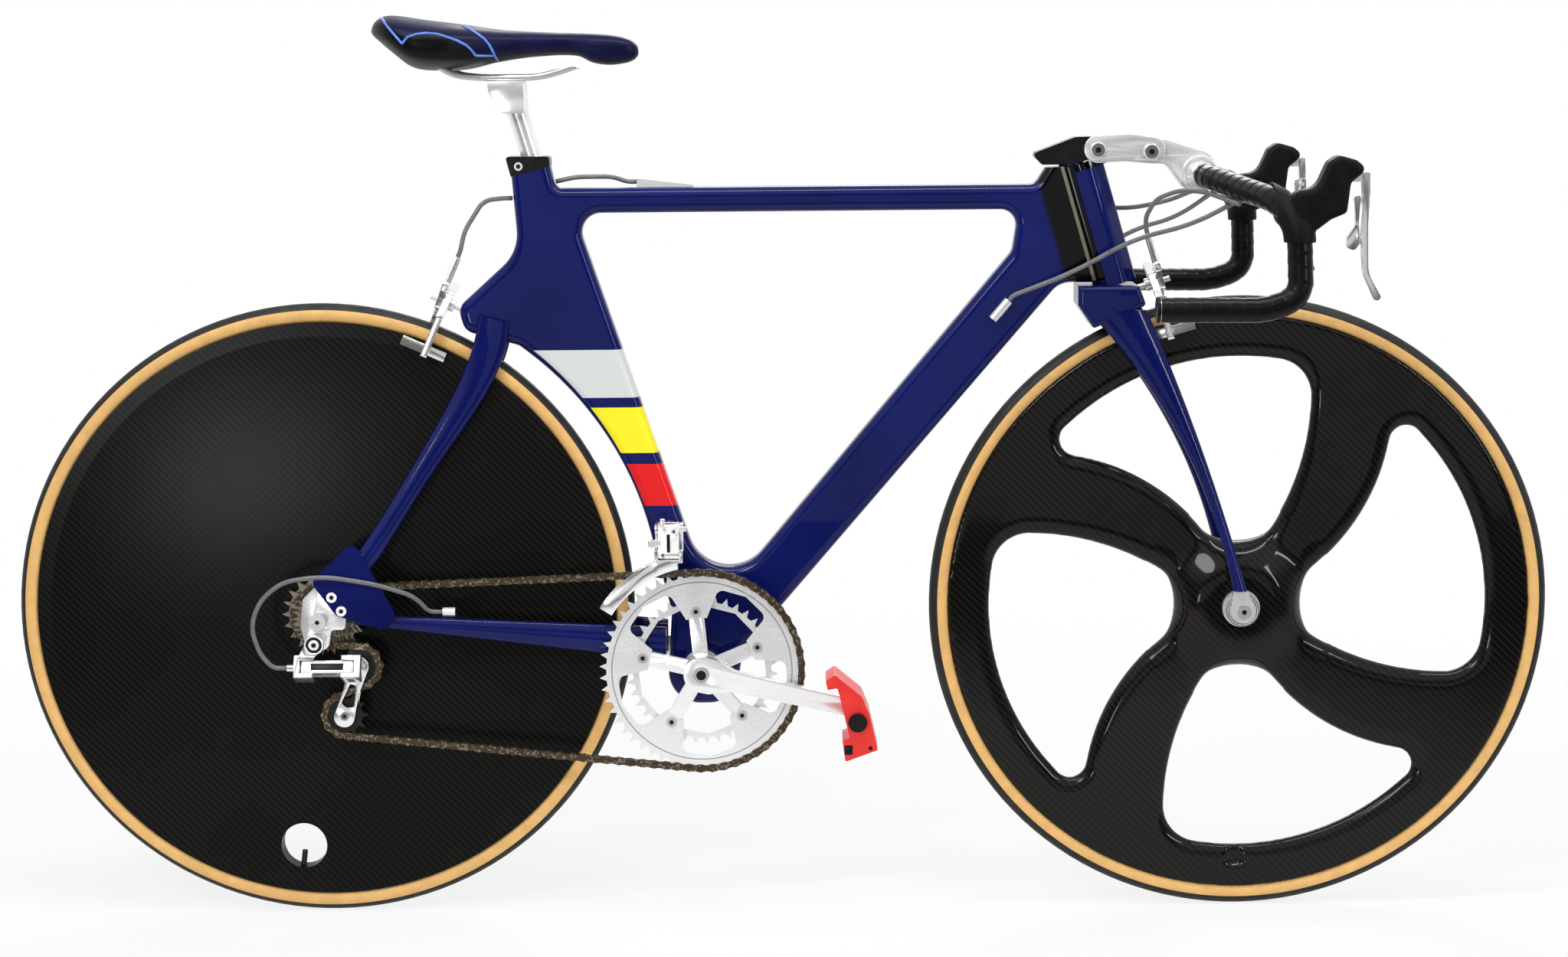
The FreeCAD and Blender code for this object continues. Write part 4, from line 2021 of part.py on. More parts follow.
def shifter_bracket():
    """The foot on the seat tube with the upper pivot."""
    foot = new_body("ShifterFoot")
    half = mm.shifter_bracket_length / 2
    x, z = SHIFTER_FOOT
    face = mm.frame_width / 2
    pad(foot, rectangle(x - half, z - mm.shifter_bracket_height, x + half, z + mm.shifter_link_radius),
        "Sizes.shifter_bracket_depth", offset=Vector(0, 0, face))
    out = -SHIFTER_TOP.y - face
    radius = mm.shifter_link_radius
    pad(foot, rectangle(x - half, z - radius, x + half, z + radius),
        "Sizes.chain_line - Sizes.shifter_link_out - Sizes.frame_width / 2 + Sizes.shifter_link_radius",
        offset=Vector(0, 0, face))
    inner = mm.shifter_link_length / 2 + mm.running_gap
    gap = rectangle(x - inner, z - mm.shifter_bracket_height * 2, x + inner, z + mm.shifter_bracket_height)
    depth = face + mm.shifter_bracket_depth + mm.chain_line / 2 - out / 2
    pocket(foot, gap, "Sizes.chain_line", offset=Vector(0, 0, depth))
    pin = cylinder("ShifterTopPin", "Sizes.shifter_pin_radius", "Sizes.shifter_bracket_length",
                   SHIFTER_TOP - ALONG_X * half, ALONG_X)
    keep(fuse("ShifterBracket", [foot, pin]), "front_derailleur_bracket")


def shifter_link():
    along = SHIFTER_LOW - SHIFTER_TOP
    radius = mm.shifter_link_radius
    turn = math.degrees(math.atan2(along.z, along.y))
    link = new_body("ShifterLink")
    reach = along.Length
    edges = outline([(-radius, radius, 0.9 * radius), (reach + radius, radius, 0.9 * radius),
                     (reach + radius, -radius, 0.9 * radius), (-radius, -radius, 0.9 * radius)])
    holes = circle(0, 0, mm.shifter_pin_radius + mm.fit_gap) + circle(reach, 0, mm.shifter_pin_radius + mm.fit_gap)
    pad(link, edges + holes, "Sizes.shifter_link_length", "YZ_Plane", symmetric=True)
    link.Placement = Placement(SHIFTER_TOP, Rotation(ALONG_X, turn))
    keep(link, "front_derailleur_link")


SHIFTER_ANGLES = (102.0, 147.0)


def shifter_cage():
    """Two curved plates either side of the chain, bridged above it and at the tail."""
    low = pitch_radius(OUTER_RING_TEETH) + mm.tooth_rise + mm.shifter_ring_gap / 2
    high = low + mm.shifter_plate_height
    start, end = SHIFTER_ANGLES
    middle = (start + end) / 2
    corner = {}
    for name, angle in (("a", start), ("m", middle), ("b", end)):
        for reach in (low, high):
            corner[name, reach] = Vector(*polar(BRACKET, angle, reach), 0)
    edges = [
        Part.Arc(corner["a", low], corner["m", low], corner["b", low]),
        Part.LineSegment(corner["b", low], corner["b", high]),
        Part.Arc(corner["b", high], corner["m", high], corner["a", high]),
        Part.LineSegment(corner["a", high], corner["a", low]),
    ]
    plates = new_body("ShifterPlates")
    outer = mm.chain_line + mm.shifter_half_gap
    inner = mm.chain_line - mm.shifter_half_gap - mm.shifter_plate
    pad(plates, edges, "Sizes.shifter_plate", offset=Vector(0, 0, outer))
    width = "(Sizes.shifter_half_gap + Sizes.shifter_plate) * 2"
    x, z = SHIFTER_FOOT
    half = mm.shifter_bracket_length / 2
    top = SHIFTER_LOW.z + mm.shifter_link_radius
    bridge_low = BRACKET[1] + pitch_radius(OUTER_RING_TEETH) + mm.chain_plate_height + mm.tooth_rise
    pad(plates, rectangle(x - half, bridge_low, x + half, top), width, offset=Vector(0, 0, inner))
    tail = polar(BRACKET, end - mm.shifter_plate * 2, (low + high) / 2)
    pad(plates, circle(*tail, mm.shifter_pin_radius), width, offset=Vector(0, 0, inner))
    pad(plates, edges, "Sizes.shifter_plate", offset=Vector(0, 0, inner))
    room = mm.shifter_link_length / 2 + mm.running_gap
    floor = SHIFTER_LOW.z - mm.shifter_link_radius - mm.running_gap
    pocket(plates, rectangle(x - room, floor, x + room, top * 2), "Sizes.bar_half_width")
    pin = cylinder("ShifterLowPin", "Sizes.shifter_pin_radius", "Sizes.shifter_bracket_length",
                   SHIFTER_LOW - ALONG_X * half, ALONG_X)
    keep(fuse("ShifterCage", [plates, pin]), "front_derailleur_cage")


def front_derailleur():
    shifter_bracket()
    shifter_link()
    shifter_cage()


# Fittings and cables


def frame_fittings():
    """Small hard pieces on the frame: bolts, brake bolt, cable stops and adjuster bosses."""
    pieces = [brake_bolt("RearBrakeBolt", REAR_AXLE, mm.rear_brake_angle)]
    yoke_face = mm.hub_spacing_rear / 2 + mm.dropout_thickness + mm.yoke_thickness
    for number, bolt in enumerate(DROPOUT_BOLTS):
        head = cylinder(f"DropoutBolt{number}", "Sizes.dropout_bolt_radius", "Sizes.dropout_bolt_height",
                        at(bolt, -yoke_face), ALONG_Y * -1)
        pieces += [head, mirrored(f"DropoutBoltFar{number}", head)]
    back, down = COLLAR_BOLT_SHARES
    collar_point = (SEAT_TOP[0] - back * mm.mast_depth, SEAT_TOP[1] - down * mm.mast_depth)
    collar_bolt = cylinder("CollarBolt", "Sizes.collar_bolt_radius", "Sizes.dropout_bolt_height",
                           at(collar_point, -mm.collar_width / 2), ALONG_Y * -1)
    pieces += [collar_bolt, mirrored("CollarNut", collar_bolt)]
    wedge = new_body("TopTubeStop")
    floor = frame_points(FRAME_OUTER_SHARES)[3][1]
    tail, nose = TOP_STOP
    pad(wedge, outline([(tail, floor, 0), (nose, floor, 0), (nose, floor + 0.3 * mm.cable_stop_height, 0),
                        (tail, floor + 1.2 * mm.cable_stop_height, 0)]), "Sizes.cable_stop_width", symmetric=True)
    pieces.append(wedge)
    for number, side in enumerate(SIDES):
        pieces.append(cylinder(f"DownTubeBoss{number}", "Sizes.boss_radius", "Sizes.boss_length",
                               boss_point(side, 0.0), DOWN_TUBE_UP))
    pieces.append(cylinder("HeadStop", "Sizes.boss_radius", "Sizes.boss_length / 2", HEAD_STOP, ALONG_X))
    pieces.append(cylinder("ChainStayStop", "Sizes.boss_radius", "Sizes.boss_length / 2", STAY_STOP, ALONG_X * -1))
    return keep(group("FrameFittings", pieces), "frame_fittings")


COLLAR_BOLT_SHARES = (0.28, 0.22)
TOP_STOP_SHARES = (0.177, 0.282)
TOP_STOP = (
    SEAT_TOP[0] + TOP_STOP_SHARES[0] * (HEAD_TOP[0] - SEAT_TOP[0]) + mm.cable_stop_width,
    SEAT_TOP[0] + TOP_STOP_SHARES[1] * (HEAD_TOP[0] - SEAT_TOP[0]) + mm.cable_stop_width,
)
BOSS_SHARE = 0.86


def down_tube_line():
    """Middle line of the down tube, from the bottom bracket up to the head."""
    outer = frame_points(FRAME_OUTER_SHARES)
    inner = frame_points(FRAME_INNER_SHARES)
    low = Vector((outer[8][0] + inner[3][0]) / 2, 0, (outer[8][1] + inner[3][1]) / 2)
    high = Vector((outer[7][0] + inner[2][0]) / 2, 0, (outer[7][1] + inner[2][1]) / 2)
    return low, high


DOWN_TUBE_LOW, DOWN_TUBE_HIGH = down_tube_line()
DOWN_TUBE_UP = (DOWN_TUBE_HIGH - DOWN_TUBE_LOW).normalize()
BOSS_OUT = mm.frame_width / 2 + mm.boss_radius
HEAD_STOP = Vector(HEAD_TOP[0] - 0.5 * mm.head_length, LEFT * BOSS_OUT, HEAD_TOP[1] - 0.26 * mm.head_length)
STAY_STOP = Vector(
    REAR_AXLE[0] + 0.35 * mm.chainstay_length,
    RIGHT * 0.41 * mm.hub_spacing_rear,
    REAR_AXLE[1] + 0.45 * mm.chain_stay_width)


def boss_point(side, along):
    low, high = DOWN_TUBE_LOW, DOWN_TUBE_HIGH
    place_on = low + DOWN_TUBE_UP * ((high - low).Length * BOSS_SHARE + along)
    return Vector(place_on.x, side * BOSS_OUT, place_on.z)


def beside_bar(side, along, lean):
    """A point where a cable lies against the taped top of the bar; lean tips it round the bar."""
    points = bar_points(side)
    start, end = points[1], points[2]
    way = (end - start).normalize()
    out = Vector(lean, 0, -1)
    out = (out - way * out.dot(way)).normalize()
    clear = mm.bar_radius + mm.bar_tape_wall + mm.housing_radius + mm.running_gap
    return start + (end - start) * along + out * clear


def housing(name, points):
    """A cable housing whose length and bends are printed."""
    shape, length, radii = tube(points, mm.housing_radius)
    share = shape.Volume / (math.pi * mm.housing_radius**2 * length)
    print(name, "length", round(length, 1), "least bend", round(min(radii), 1), "volume share", round(share, 4))
    return feature(name, shape)


DERAILLEUR_LOOP_SHARES = (
    (0.25, 1.06, 0.062),
    (0.16, 1.30, 0.10),
    (0.02, 1.36, 0.125),
    (-0.085, 1.34, 0.11),
    (-0.145, 1.33, 0.06),
    (-0.17, 1.30, -0.01),
    (-0.15, 1.25, -0.08),
)
REAR_BRAKE_LOOP_SHARES = (
    (0.13, 0.45),
    (0.48, 0.97),
)
TOP_LOOP_SHARES = (0.3, 0.75)
RIGHT_SHIFT_SHARES = (
    (0.0, -0.30, -0.86),
    (0.47, -0.43, -0.585),
    (0.92, -0.66, -0.46),
)
LEFT_SHIFT_SHARES = (
    (0.0, 0.30, -0.88),
    (0.565, 0.465, -0.555),
    (0.95, 0.66, -0.47),
)
BRAKE_RUN_SHARES = (
    (0.0, 0.27, -0.30),
    (0.45, 0.31, -0.385),
    (0.85, 0.36, -0.315),
)
FRONT_LOOP_SHARES = (
    (0.60, -0.15, -0.42),
    (0.68, -0.20, -0.27),
    (0.86, -0.33, -0.195),
)


def head_points(shares):
    """Points round the head, as shares of its length from its top."""
    unit = mm.head_length
    return [at(HEAD_TOP) + Vector(x * unit, y * unit, z * unit) for x, y, z in shares]


def adjuster_top(axle, angle):
    """The top of a brake's cable adjuster, and the way it points."""
    frame = brake_frame(axle, angle)
    flip = LEFT if axle == FRONT_AXLE else RIGHT
    start = mm.brake_spacer + mm.brake_arm_thickness + mm.running_gap
    local = Vector(start + mm.brake_arm_thickness / 2, RIGHT * flip * mm.brake_cable_offset,
                   0.9 * mm.brake_arm_span + mm.brake_adjuster_height + mm.fit_gap)
    return frame.multVec(local), frame.Rotation.multVec(ALONG_Z)


def rear_housings():
    """The rear brake loop, the loop over the top tube and the rear derailleur loop."""
    start, way = adjuster_top(REAR_AXLE, mm.rear_brake_angle)
    mast_x = SEAT_TOP[0] - 0.46 * mm.mast_depth + 0.012 * mm.mast_depth
    end = Vector(mast_x - mm.running_gap, RIGHT * mm.housing_radius, SEAT_TOP[1] - 0.95 * mm.mast_depth)
    points = [start, start + way * (3 * mm.housing_radius)]
    for x, z in REAR_BRAKE_LOOP_SHARES:
        across = start.y + x * (end.y - start.y)
        points.append(Vector(start.x + x * (end.x - start.x), across, start.z + z * (end.z - start.z)))
    points += [end - ALONG_X * (4 * mm.housing_radius), end]
    brake_loop = housing("RearBrakeHousing", points)
    floor = frame_points(FRAME_OUTER_SHARES)[3][1]
    level = floor + 0.75 * mm.cable_stop_height
    mast_front = frame_points(FRAME_OUTER_SHARES)[2][0] - mm.running_gap
    tail = TOP_STOP[0] - mm.fit_gap
    run = tail - mast_front
    points = [Vector(tail, 0, level), Vector(tail - 0.12 * run, 0, level)]
    points += [Vector(tail - share * run, 0, level + 0.7 * mm.cable_stop_height) for share in TOP_LOOP_SHARES]
    points.append(Vector(mast_front, 0, level + 0.1 * mm.cable_stop_height))
    top_loop = housing("TopTubeHousing", points)
    half = mm.hub_spacing_rear / 2
    start = STAY_STOP - ALONG_X * (mm.boss_length / 2 + mm.fit_gap)
    points = [start, start - ALONG_X * (6 * mm.housing_radius)]
    for x, y, z in DERAILLEUR_LOOP_SHARES:
        place_on = at(REAR_AXLE) + Vector(x, 0, z) * mm.chainstay_length
        points.append(place_on + Vector(0, RIGHT * y * half, 0))
    end = BARREL_END + BARREL_WAY * mm.fit_gap
    points += [end + BARREL_WAY * (6 * mm.housing_radius), end]
    shift_loop = housing("DerailleurHousing", points)
    keep(group("RearHousings", [brake_loop, top_loop, shift_loop]), "rear_housings")


def steering_housings():
    """Cables from the bar to the frame; they bend when the bar is steered."""
    loops = []
    for name, side, shares in (("Right", RIGHT, RIGHT_SHIFT_SHARES), ("Left", LEFT, LEFT_SHIFT_SHARES)):
        start = boss_point(side, mm.boss_length + mm.fit_gap)
        points = [start, start + DOWN_TUBE_UP * (3 * mm.housing_radius)] + head_points(shares)
        points += [beside_bar(side, 0.44, 0.8), beside_bar(side, 0.68, 0.8)]
        loops.append(housing(f"{name}ShiftHousing", points))
    start = HEAD_STOP + ALONG_X * (mm.boss_length / 2 + mm.fit_gap)
    points = [start, start + ALONG_X * (3 * mm.housing_radius)] + head_points(BRAKE_RUN_SHARES)
    points += [beside_bar(LEFT, 0.2, -0.2), beside_bar(LEFT, 0.8, -0.2)]
    loops.append(housing("BrakeRunHousing", points))
    keep(group("SteeringHousings", loops), "steering_housings")


def front_brake_housing():
    start, way = adjuster_top(FRONT_AXLE, mm.front_brake_angle)
    points = [start, start + way * (3 * mm.housing_radius)] + head_points(FRONT_LOOP_SHARES)
    points += [beside_bar(RIGHT, 0.12, -0.6), beside_bar(RIGHT, 0.6, -0.6)]
    keep(housing("FrontBrakeHousing", points), "front_brake_housing")


def build():
    main_frame()
    seat_collar()
    rear_triangle()
    wheels()
    keep(axle_with_ends("RearAxle", REAR_AXLE, "rear_axle_radius", "hub_spacing_rear", "dropout_thickness",
                        "rear_nut_radius", "rear_nut_height"), "rear_axle")
    front_axle = axle_with_ends("FrontAxle", FRONT_AXLE, "front_axle_radius", "hub_spacing_front",
                                "fork_tip_thickness", "front_bolt_radius", "front_bolt_height")
    front_bolt = brake_bolt("FrontBrakeBolt", FRONT_AXLE, mm.front_brake_angle)
    keep(group("ForkFasteners", [front_axle, front_bolt]), "fork_fasteners")
    fork()
    fork_tips()
    stem_base()
    keep(group("StemLinkAndBolts", [stem_link()] + stem_bolts()), "stem_link")
    bar_clamp()
    handlebar()
    hoods()
    lever_set(RIGHT, "right")
    lever_set(LEFT, "left")
    seat_post()
    post_clamp()
    saddle()
    saddle_rails()
    brake("Rear", REAR_AXLE, mm.rear_brake_angle)
    brake("Front", FRONT_AXLE, mm.front_brake_angle)
    right_crank()
    left_crank()
    keep(group("CrankFasteners", [spindle(), crank_bolts()]), "crank_fasteners")
    bearing_cups()
    pedals()
    chain()
    chainrings()
    cassette()
    rear_derailleur()
    front_derailleur()
    frame_fittings()
    rear_housings()
    steering_housings()
    front_brake_housing()


def check_and_write():
    """Stop on any failed object, then write one file per sub-part."""
    doc.recompute()
    for item in doc.Objects:
        if {"Invalid", "Error"} & set(item.State):
            raise RuntimeError(f"{item.Label} failed: {item.State}")
    os.makedirs("parts", exist_ok=True)
    for label, item in NODES.items():
        shape = item.Shape
        if shape.isNull() or not shape.isValid() or not shape.Solids:
            raise RuntimeError(f"{label} has no sound shape")
        shape.exportStep(f"parts/{label}.step")
        print(label, len(shape.Solids), round(shape.Volume, 1))
    print(len(NODES), "sub-parts")


build()
check_and_write()
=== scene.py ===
"""A time trial bike: finishes for its solids, its soft pieces, and the studio that it stands in."""

import json
import math
from collections import defaultdict

import bpy
from bpy.props import FloatProperty, FloatVectorProperty, PointerProperty
from mathutils import Matrix, Vector
from mathutils.kdtree import KDTree
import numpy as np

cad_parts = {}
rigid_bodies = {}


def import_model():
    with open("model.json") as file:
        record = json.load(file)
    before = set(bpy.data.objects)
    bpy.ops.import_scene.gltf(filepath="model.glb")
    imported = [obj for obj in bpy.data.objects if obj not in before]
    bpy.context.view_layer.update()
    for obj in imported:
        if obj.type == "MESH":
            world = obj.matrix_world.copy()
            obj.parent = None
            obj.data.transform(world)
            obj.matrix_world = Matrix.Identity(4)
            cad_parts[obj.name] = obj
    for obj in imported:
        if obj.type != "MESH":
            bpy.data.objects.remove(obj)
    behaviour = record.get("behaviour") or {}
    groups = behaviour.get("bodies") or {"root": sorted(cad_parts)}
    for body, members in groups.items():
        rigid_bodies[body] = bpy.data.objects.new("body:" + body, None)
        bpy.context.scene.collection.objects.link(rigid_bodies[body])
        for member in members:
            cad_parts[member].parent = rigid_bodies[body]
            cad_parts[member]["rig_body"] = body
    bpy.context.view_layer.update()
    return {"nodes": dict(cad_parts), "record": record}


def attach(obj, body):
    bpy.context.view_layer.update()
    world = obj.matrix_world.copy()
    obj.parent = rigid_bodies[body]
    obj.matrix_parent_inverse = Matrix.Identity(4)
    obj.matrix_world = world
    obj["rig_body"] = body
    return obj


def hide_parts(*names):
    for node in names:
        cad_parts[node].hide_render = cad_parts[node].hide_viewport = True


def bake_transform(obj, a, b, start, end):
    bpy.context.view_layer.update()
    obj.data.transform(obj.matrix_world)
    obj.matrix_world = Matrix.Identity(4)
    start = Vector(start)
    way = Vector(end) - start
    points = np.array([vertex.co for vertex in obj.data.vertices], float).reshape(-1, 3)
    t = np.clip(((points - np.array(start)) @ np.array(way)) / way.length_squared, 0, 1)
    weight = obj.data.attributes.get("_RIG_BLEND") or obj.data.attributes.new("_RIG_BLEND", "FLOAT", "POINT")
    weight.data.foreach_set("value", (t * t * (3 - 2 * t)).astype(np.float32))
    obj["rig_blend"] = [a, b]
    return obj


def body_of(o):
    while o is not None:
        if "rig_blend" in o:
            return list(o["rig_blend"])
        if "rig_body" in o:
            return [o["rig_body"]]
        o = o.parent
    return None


bl_info = {
    "name": "Time trial bike",
    "version": (1, 0, 0),
    "blender": (4, 5, 0),
    "location": "View3D > Sidebar > Bike",
    "description": "Dresses the solids of a time trial bike and sets up its studio",
    "category": "Object",
}

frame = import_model()
NODES = frame["nodes"]

# Places on the bike, in metres
REAR_AXLE = (-0.4935, 0.0, 0.334)
FRONT_AXLE = (0.4935, 0.0, 0.334)
CRANK_CENTRE = (-0.08619, 0.0, 0.272)
HEAD_FOOT = (0.34841, 0.0, 0.684)
STEER_FORWARD = (0.96126, 0.0, 0.27564)


def colour_property(name, description, default):
    return FloatVectorProperty(name=name, description=description, subtype="COLOR", size=3, min=0.0, max=1.0,
                               default=default)


def length_property(name, description, default):
    return FloatProperty(name=name, description=description, default=default, min=0.0, unit="LENGTH", precision=5)


class BikeColours(bpy.types.PropertyGroup):
    """Colours that a user may want to change."""

    paint: colour_property("Paint", "Gloss paint of the frame and fork", (0.002, 0.004, 0.062))
    paint_lift: colour_property("Paint lift", "Lighter cloud in the paint", (0.004, 0.009, 0.11))
    band_grey: colour_property("Grey band", "Upper band on the seat tube", (0.60, 0.63, 0.62))
    band_yellow: colour_property("Yellow band", "Middle band on the seat tube", (0.90, 0.78, 0.02))
    band_red: colour_property("Red band", "Lower band on the seat tube", (0.72, 0.012, 0.015))
    # Painted shade: black where the head tube lies recessed in shadow, in front of the frame's navy
    head_painted_shade: colour_property("Head painted shade", "Black paint in front of the head tube", (0.002, 0.002, 0.0025))
    # Partly painted highlight: the strip stands for the steerer seen in the gap and paints the highlight on the
    # head's front edge
    head_strip_and_glint: colour_property("Head strip", "Thin strip along the black head", (0.17, 0.155, 0.11))
    tan: colour_property("Tyre side", "Tan side of the tyres", (0.84, 0.50, 0.175))
    tread: colour_property("Tread", "Black of the tyre tread", (0.012, 0.012, 0.012))
    carbon: colour_property("Carbon", "Darker tows of the woven wheels", (0.002, 0.002, 0.0018))
    carbon_lift: colour_property("Carbon lift", "Lighter tows of the woven wheels", (0.009, 0.0085, 0.007))
    alloy: colour_property("Alloy", "Polished alloy", (0.91, 0.91, 0.92))
    bolt: colour_property("Bolts", "Dull steel of the stem bolts", (0.22, 0.21, 0.19))
    steel: colour_property("Steel", "Bright steel", (0.58, 0.57, 0.56))
    # Partly painted shade: the chain's oily brown is darkened further for the shadow it runs in
    chain: colour_property("Chain", "Oily brown of the chain", (0.085, 0.058, 0.034))
    leather: colour_property("Leather", "Blue leather of the saddle", (0.0025, 0.0035, 0.028))
    piping: colour_property("Piping", "Light blue piping of the saddle", (0.10, 0.20, 0.62))
    pedal: colour_property("Pedal", "Red pedal bodies", (0.72, 0.018, 0.014))
    housing: colour_property("Housing", "Grey cable housing", (0.16, 0.165, 0.17))
    tape: colour_property("Tape", "Black bar tape", (0.004, 0.004, 0.004))
    rubber: colour_property("Rubber", "Black hoods", (0.004, 0.004, 0.0042))


class BikeSizes(bpy.types.PropertyGroup):
    """Sizes that a user may want to change."""

    tow: length_property("Tow width", "Width of one tow of the carbon weave", 0.0021)
    tape_pitch: length_property("Tape pitch", "How far one turn of bar tape moves along the bar", 0.0145)
    tape_lap: length_property("Tape lap", "Step where one turn of tape lies on the last", 0.0006)
    piping: length_property("Piping radius", "Radius of the saddle's piping", 0.0013)
    hood_voxel: length_property("Hood detail", "Grain size at which the hoods are moulded", 0.0011)
    spoke_voxel: length_property("Spoke detail", "Grain size at which the spokes are moulded", 0.0023)
    spoke_roll: length_property("Spoke edge", "Width over which the spokes thin out to their edges", 0.016)
    edge: length_property("Metal edge", "Width of the rounded edges of bright metal", 0.0005)
    floor: length_property("Floor half width", "Half the width of the studio floor", 14.0)


# Wiring of materials: the numbers of a mix node's sockets for floats and for colours

MIXED_FLOATS = (2, 3)
MIXED_COLOURS = (6, 7)
MIX_RESULT = 2


class Wires:
    """A node tree with short ways to add and join nodes."""

    def __init__(self, tree):
        self.tree = tree

    def feed(self, socket, value):
        if isinstance(value, bpy.types.NodeSocket):
            self.tree.links.new(value, socket)
        else:
            socket.default_value = value

    def node(self, kind, values=None, **settings):
        made = self.tree.nodes.new(kind)
        for key, value in settings.items():
            setattr(made, key, value)
        for label, value in (values or {}).items():
            self.feed(made.inputs[label], value)
        return made

    def math(self, operation, *values):
        return self.node("ShaderNodeMath", dict(enumerate(values)), operation=operation).outputs[0]

    def plus(self, first, second):
        return self.math("ADD", first, second)

    def times(self, first, second):
        return self.math("MULTIPLY", first, second)

    def vector_math(self, operation, *values):
        made = self.node("ShaderNodeVectorMath", dict(enumerate(values)), operation=operation)
        return made.outputs["Value" if operation in ("DOT_PRODUCT", "LENGTH") else "Vector"]

    def split(self, place):
        return self.node("ShaderNodeSeparateXYZ", {"Vector": place}).outputs

    def noise(self, place, size, detail):
        scale = self.math("DIVIDE", 1.0, size)
        return self.node("ShaderNodeTexNoise", {"Vector": place, "Scale": scale, "Detail": detail}).outputs["Fac"]

    def waves(self, value, count):
        """A sine with so many waves to one unit of a value."""
        return self.math("SINE", self.times(value, 2 * math.pi * count))

    def spread(self, value, low, high, to_low=0.0, to_high=1.0, kind="SMOOTHSTEP"):
        made = self.node("ShaderNodeMapRange", {
            "Value": value, "From Min": low, "From Max": high, "To Min": to_low, "To Max": to_high,
        }, interpolation_type=kind)
        return made.outputs["Result"]

    def ranged(self, share, low, high):
        """A share from 0 to 1, turned into a value between two limits."""
        return self.spread(share, 0.0, 1.0, low, high)

    def mix(self, share, first, second):
        values = {"Factor": share}
        for slot, colour in zip(MIXED_COLOURS, (first, second)):
            values[slot] = colour if isinstance(colour, bpy.types.NodeSocket) else (*colour, 1.0)
        return self.node("ShaderNodeMix", values, data_type="RGBA").outputs[MIX_RESULT]

    def use(self, group, **values):
        return self.node("ShaderNodeGroup", values, node_tree=bpy.data.node_groups[group]).outputs


class Finish(Wires):
    """One material while it is being wired up."""

    def __init__(self, name, plain):
        self.material = bpy.data.materials.new(name)
        self.material.use_nodes = True
        super().__init__(self.material.node_tree)
        self.shader = self.tree.nodes["Principled BSDF"]
        for label, value in plain.items():
            self.set(label, value)
        self.place = self.node("ShaderNodeTexCoord").outputs["Object"]

    def set(self, label, value):
        self.feed(self.shader.inputs[label], value)

    def wear(self, colour, rough, height, depth, strength):
        """Set the colour, roughness and relief, and hand over the material."""
        relief = self.node("ShaderNodeBump", {"Height": height, "Strength": strength, "Distance": depth})
        self.set("Base Color", colour)
        self.set("Roughness", rough)
        self.set("Normal", relief.outputs["Normal"])
        return self.material

    def grain(self, size, detail):
        return self.use("Grain", Place=self.place, Size=size, Detail=detail)["Value"]

    def specks(self, size, amount):
        return self.use("Specks", Place=self.place, Size=size, Amount=amount)["Mask"]

    def band(self, value, low, high, soft):
        return self.use("Band", Value=value, Low=low, High=high, Soft=soft)["Mask"]

    def axle(self, centre):
        return self.use("Round an axle", Place=self.place, Centre=centre)


def shade(colour, share):
    """A colour made darker or lighter."""
    return [min(1.0, value * share) for value in colour]


VECTOR_INPUTS = ("Place", "Centre")


def new_group(name, inputs, *outputs):
    tree = bpy.data.node_groups.new(name, "ShaderNodeTree")
    for label in inputs:
        kind = "NodeSocketVector" if label in VECTOR_INPUTS else "NodeSocketFloat"
        tree.interface.new_socket(label, in_out="INPUT", socket_type=kind)
    for label in outputs:
        tree.interface.new_socket(label, in_out="OUTPUT", socket_type="NodeSocketFloat")
    wires = Wires(tree)
    return wires, wires.node("NodeGroupInput").outputs, wires.node("NodeGroupOutput").inputs


def grain_group():
    """Soft cloud of a given size, from 0 to 1."""
    wires, source, drain = new_group("Grain", ("Place", "Size", "Detail"), "Value")
    cloud = wires.noise(source["Place"], source["Size"], source["Detail"])
    wires.feed(drain["Value"], wires.spread(cloud, 0.25, 0.75, kind="LINEAR"))


def band_group():
    """One where a value lies between two limits, with soft ends."""
    wires, source, drain = new_group("Band", ("Value", "Low", "High", "Soft"), "Mask")
    ends = []
    for label in ("Low", "High"):
        first = wires.math("SUBTRACT", source[label], source["Soft"])
        last = wires.plus(source[label], source["Soft"])
        ends.append(wires.spread(source["Value"], first, last))
    wires.feed(drain["Mask"], wires.math("SUBTRACT", ends[0], ends[1]))


def axle_group():
    """Distance from an axle that runs along Y, and the angle round it in turns."""
    wires, source, drain = new_group("Round an axle", ("Place", "Centre"), "Radius", "Turn")
    offset = wires.vector_math("SUBTRACT", source["Place"], source["Centre"])
    flat = wires.vector_math("MULTIPLY", offset, (1.0, 0.0, 1.0))
    wires.feed(drain["Radius"], wires.vector_math("LENGTH", flat))
    parts = wires.split(flat)
    angle = wires.math("ARCTAN2", parts["Z"], parts["X"])
    wires.feed(drain["Turn"], wires.math("DIVIDE", angle, 2 * math.pi))


def weave_group():
    """Two by two cloth in the XZ plane: which tow is on top, and how high it stands."""
    wires, source, drain = new_group("Weave", ("Place", "Tow"), "Over", "Height")
    parts = wires.split(source["Place"])
    across, along = (wires.math("DIVIDE", parts[axis], source["Tow"]) for axis in "XZ")
    count = wires.plus(wires.math("FLOOR", across), wires.math("FLOOR", along))
    over = wires.math("LESS_THAN", wires.math("FLOORED_MODULO", count, 4.0), 2.0)
    wires.feed(drain["Over"], over)
    lobes = [wires.math("ABSOLUTE", wires.waves(value, 0.5)) for value in (along, across)]
    picked = wires.node("ShaderNodeMix", {"Factor": over, **dict(zip(MIXED_FLOATS, lobes))}, data_type="FLOAT")
    wires.feed(drain["Height"], picked.outputs[0])


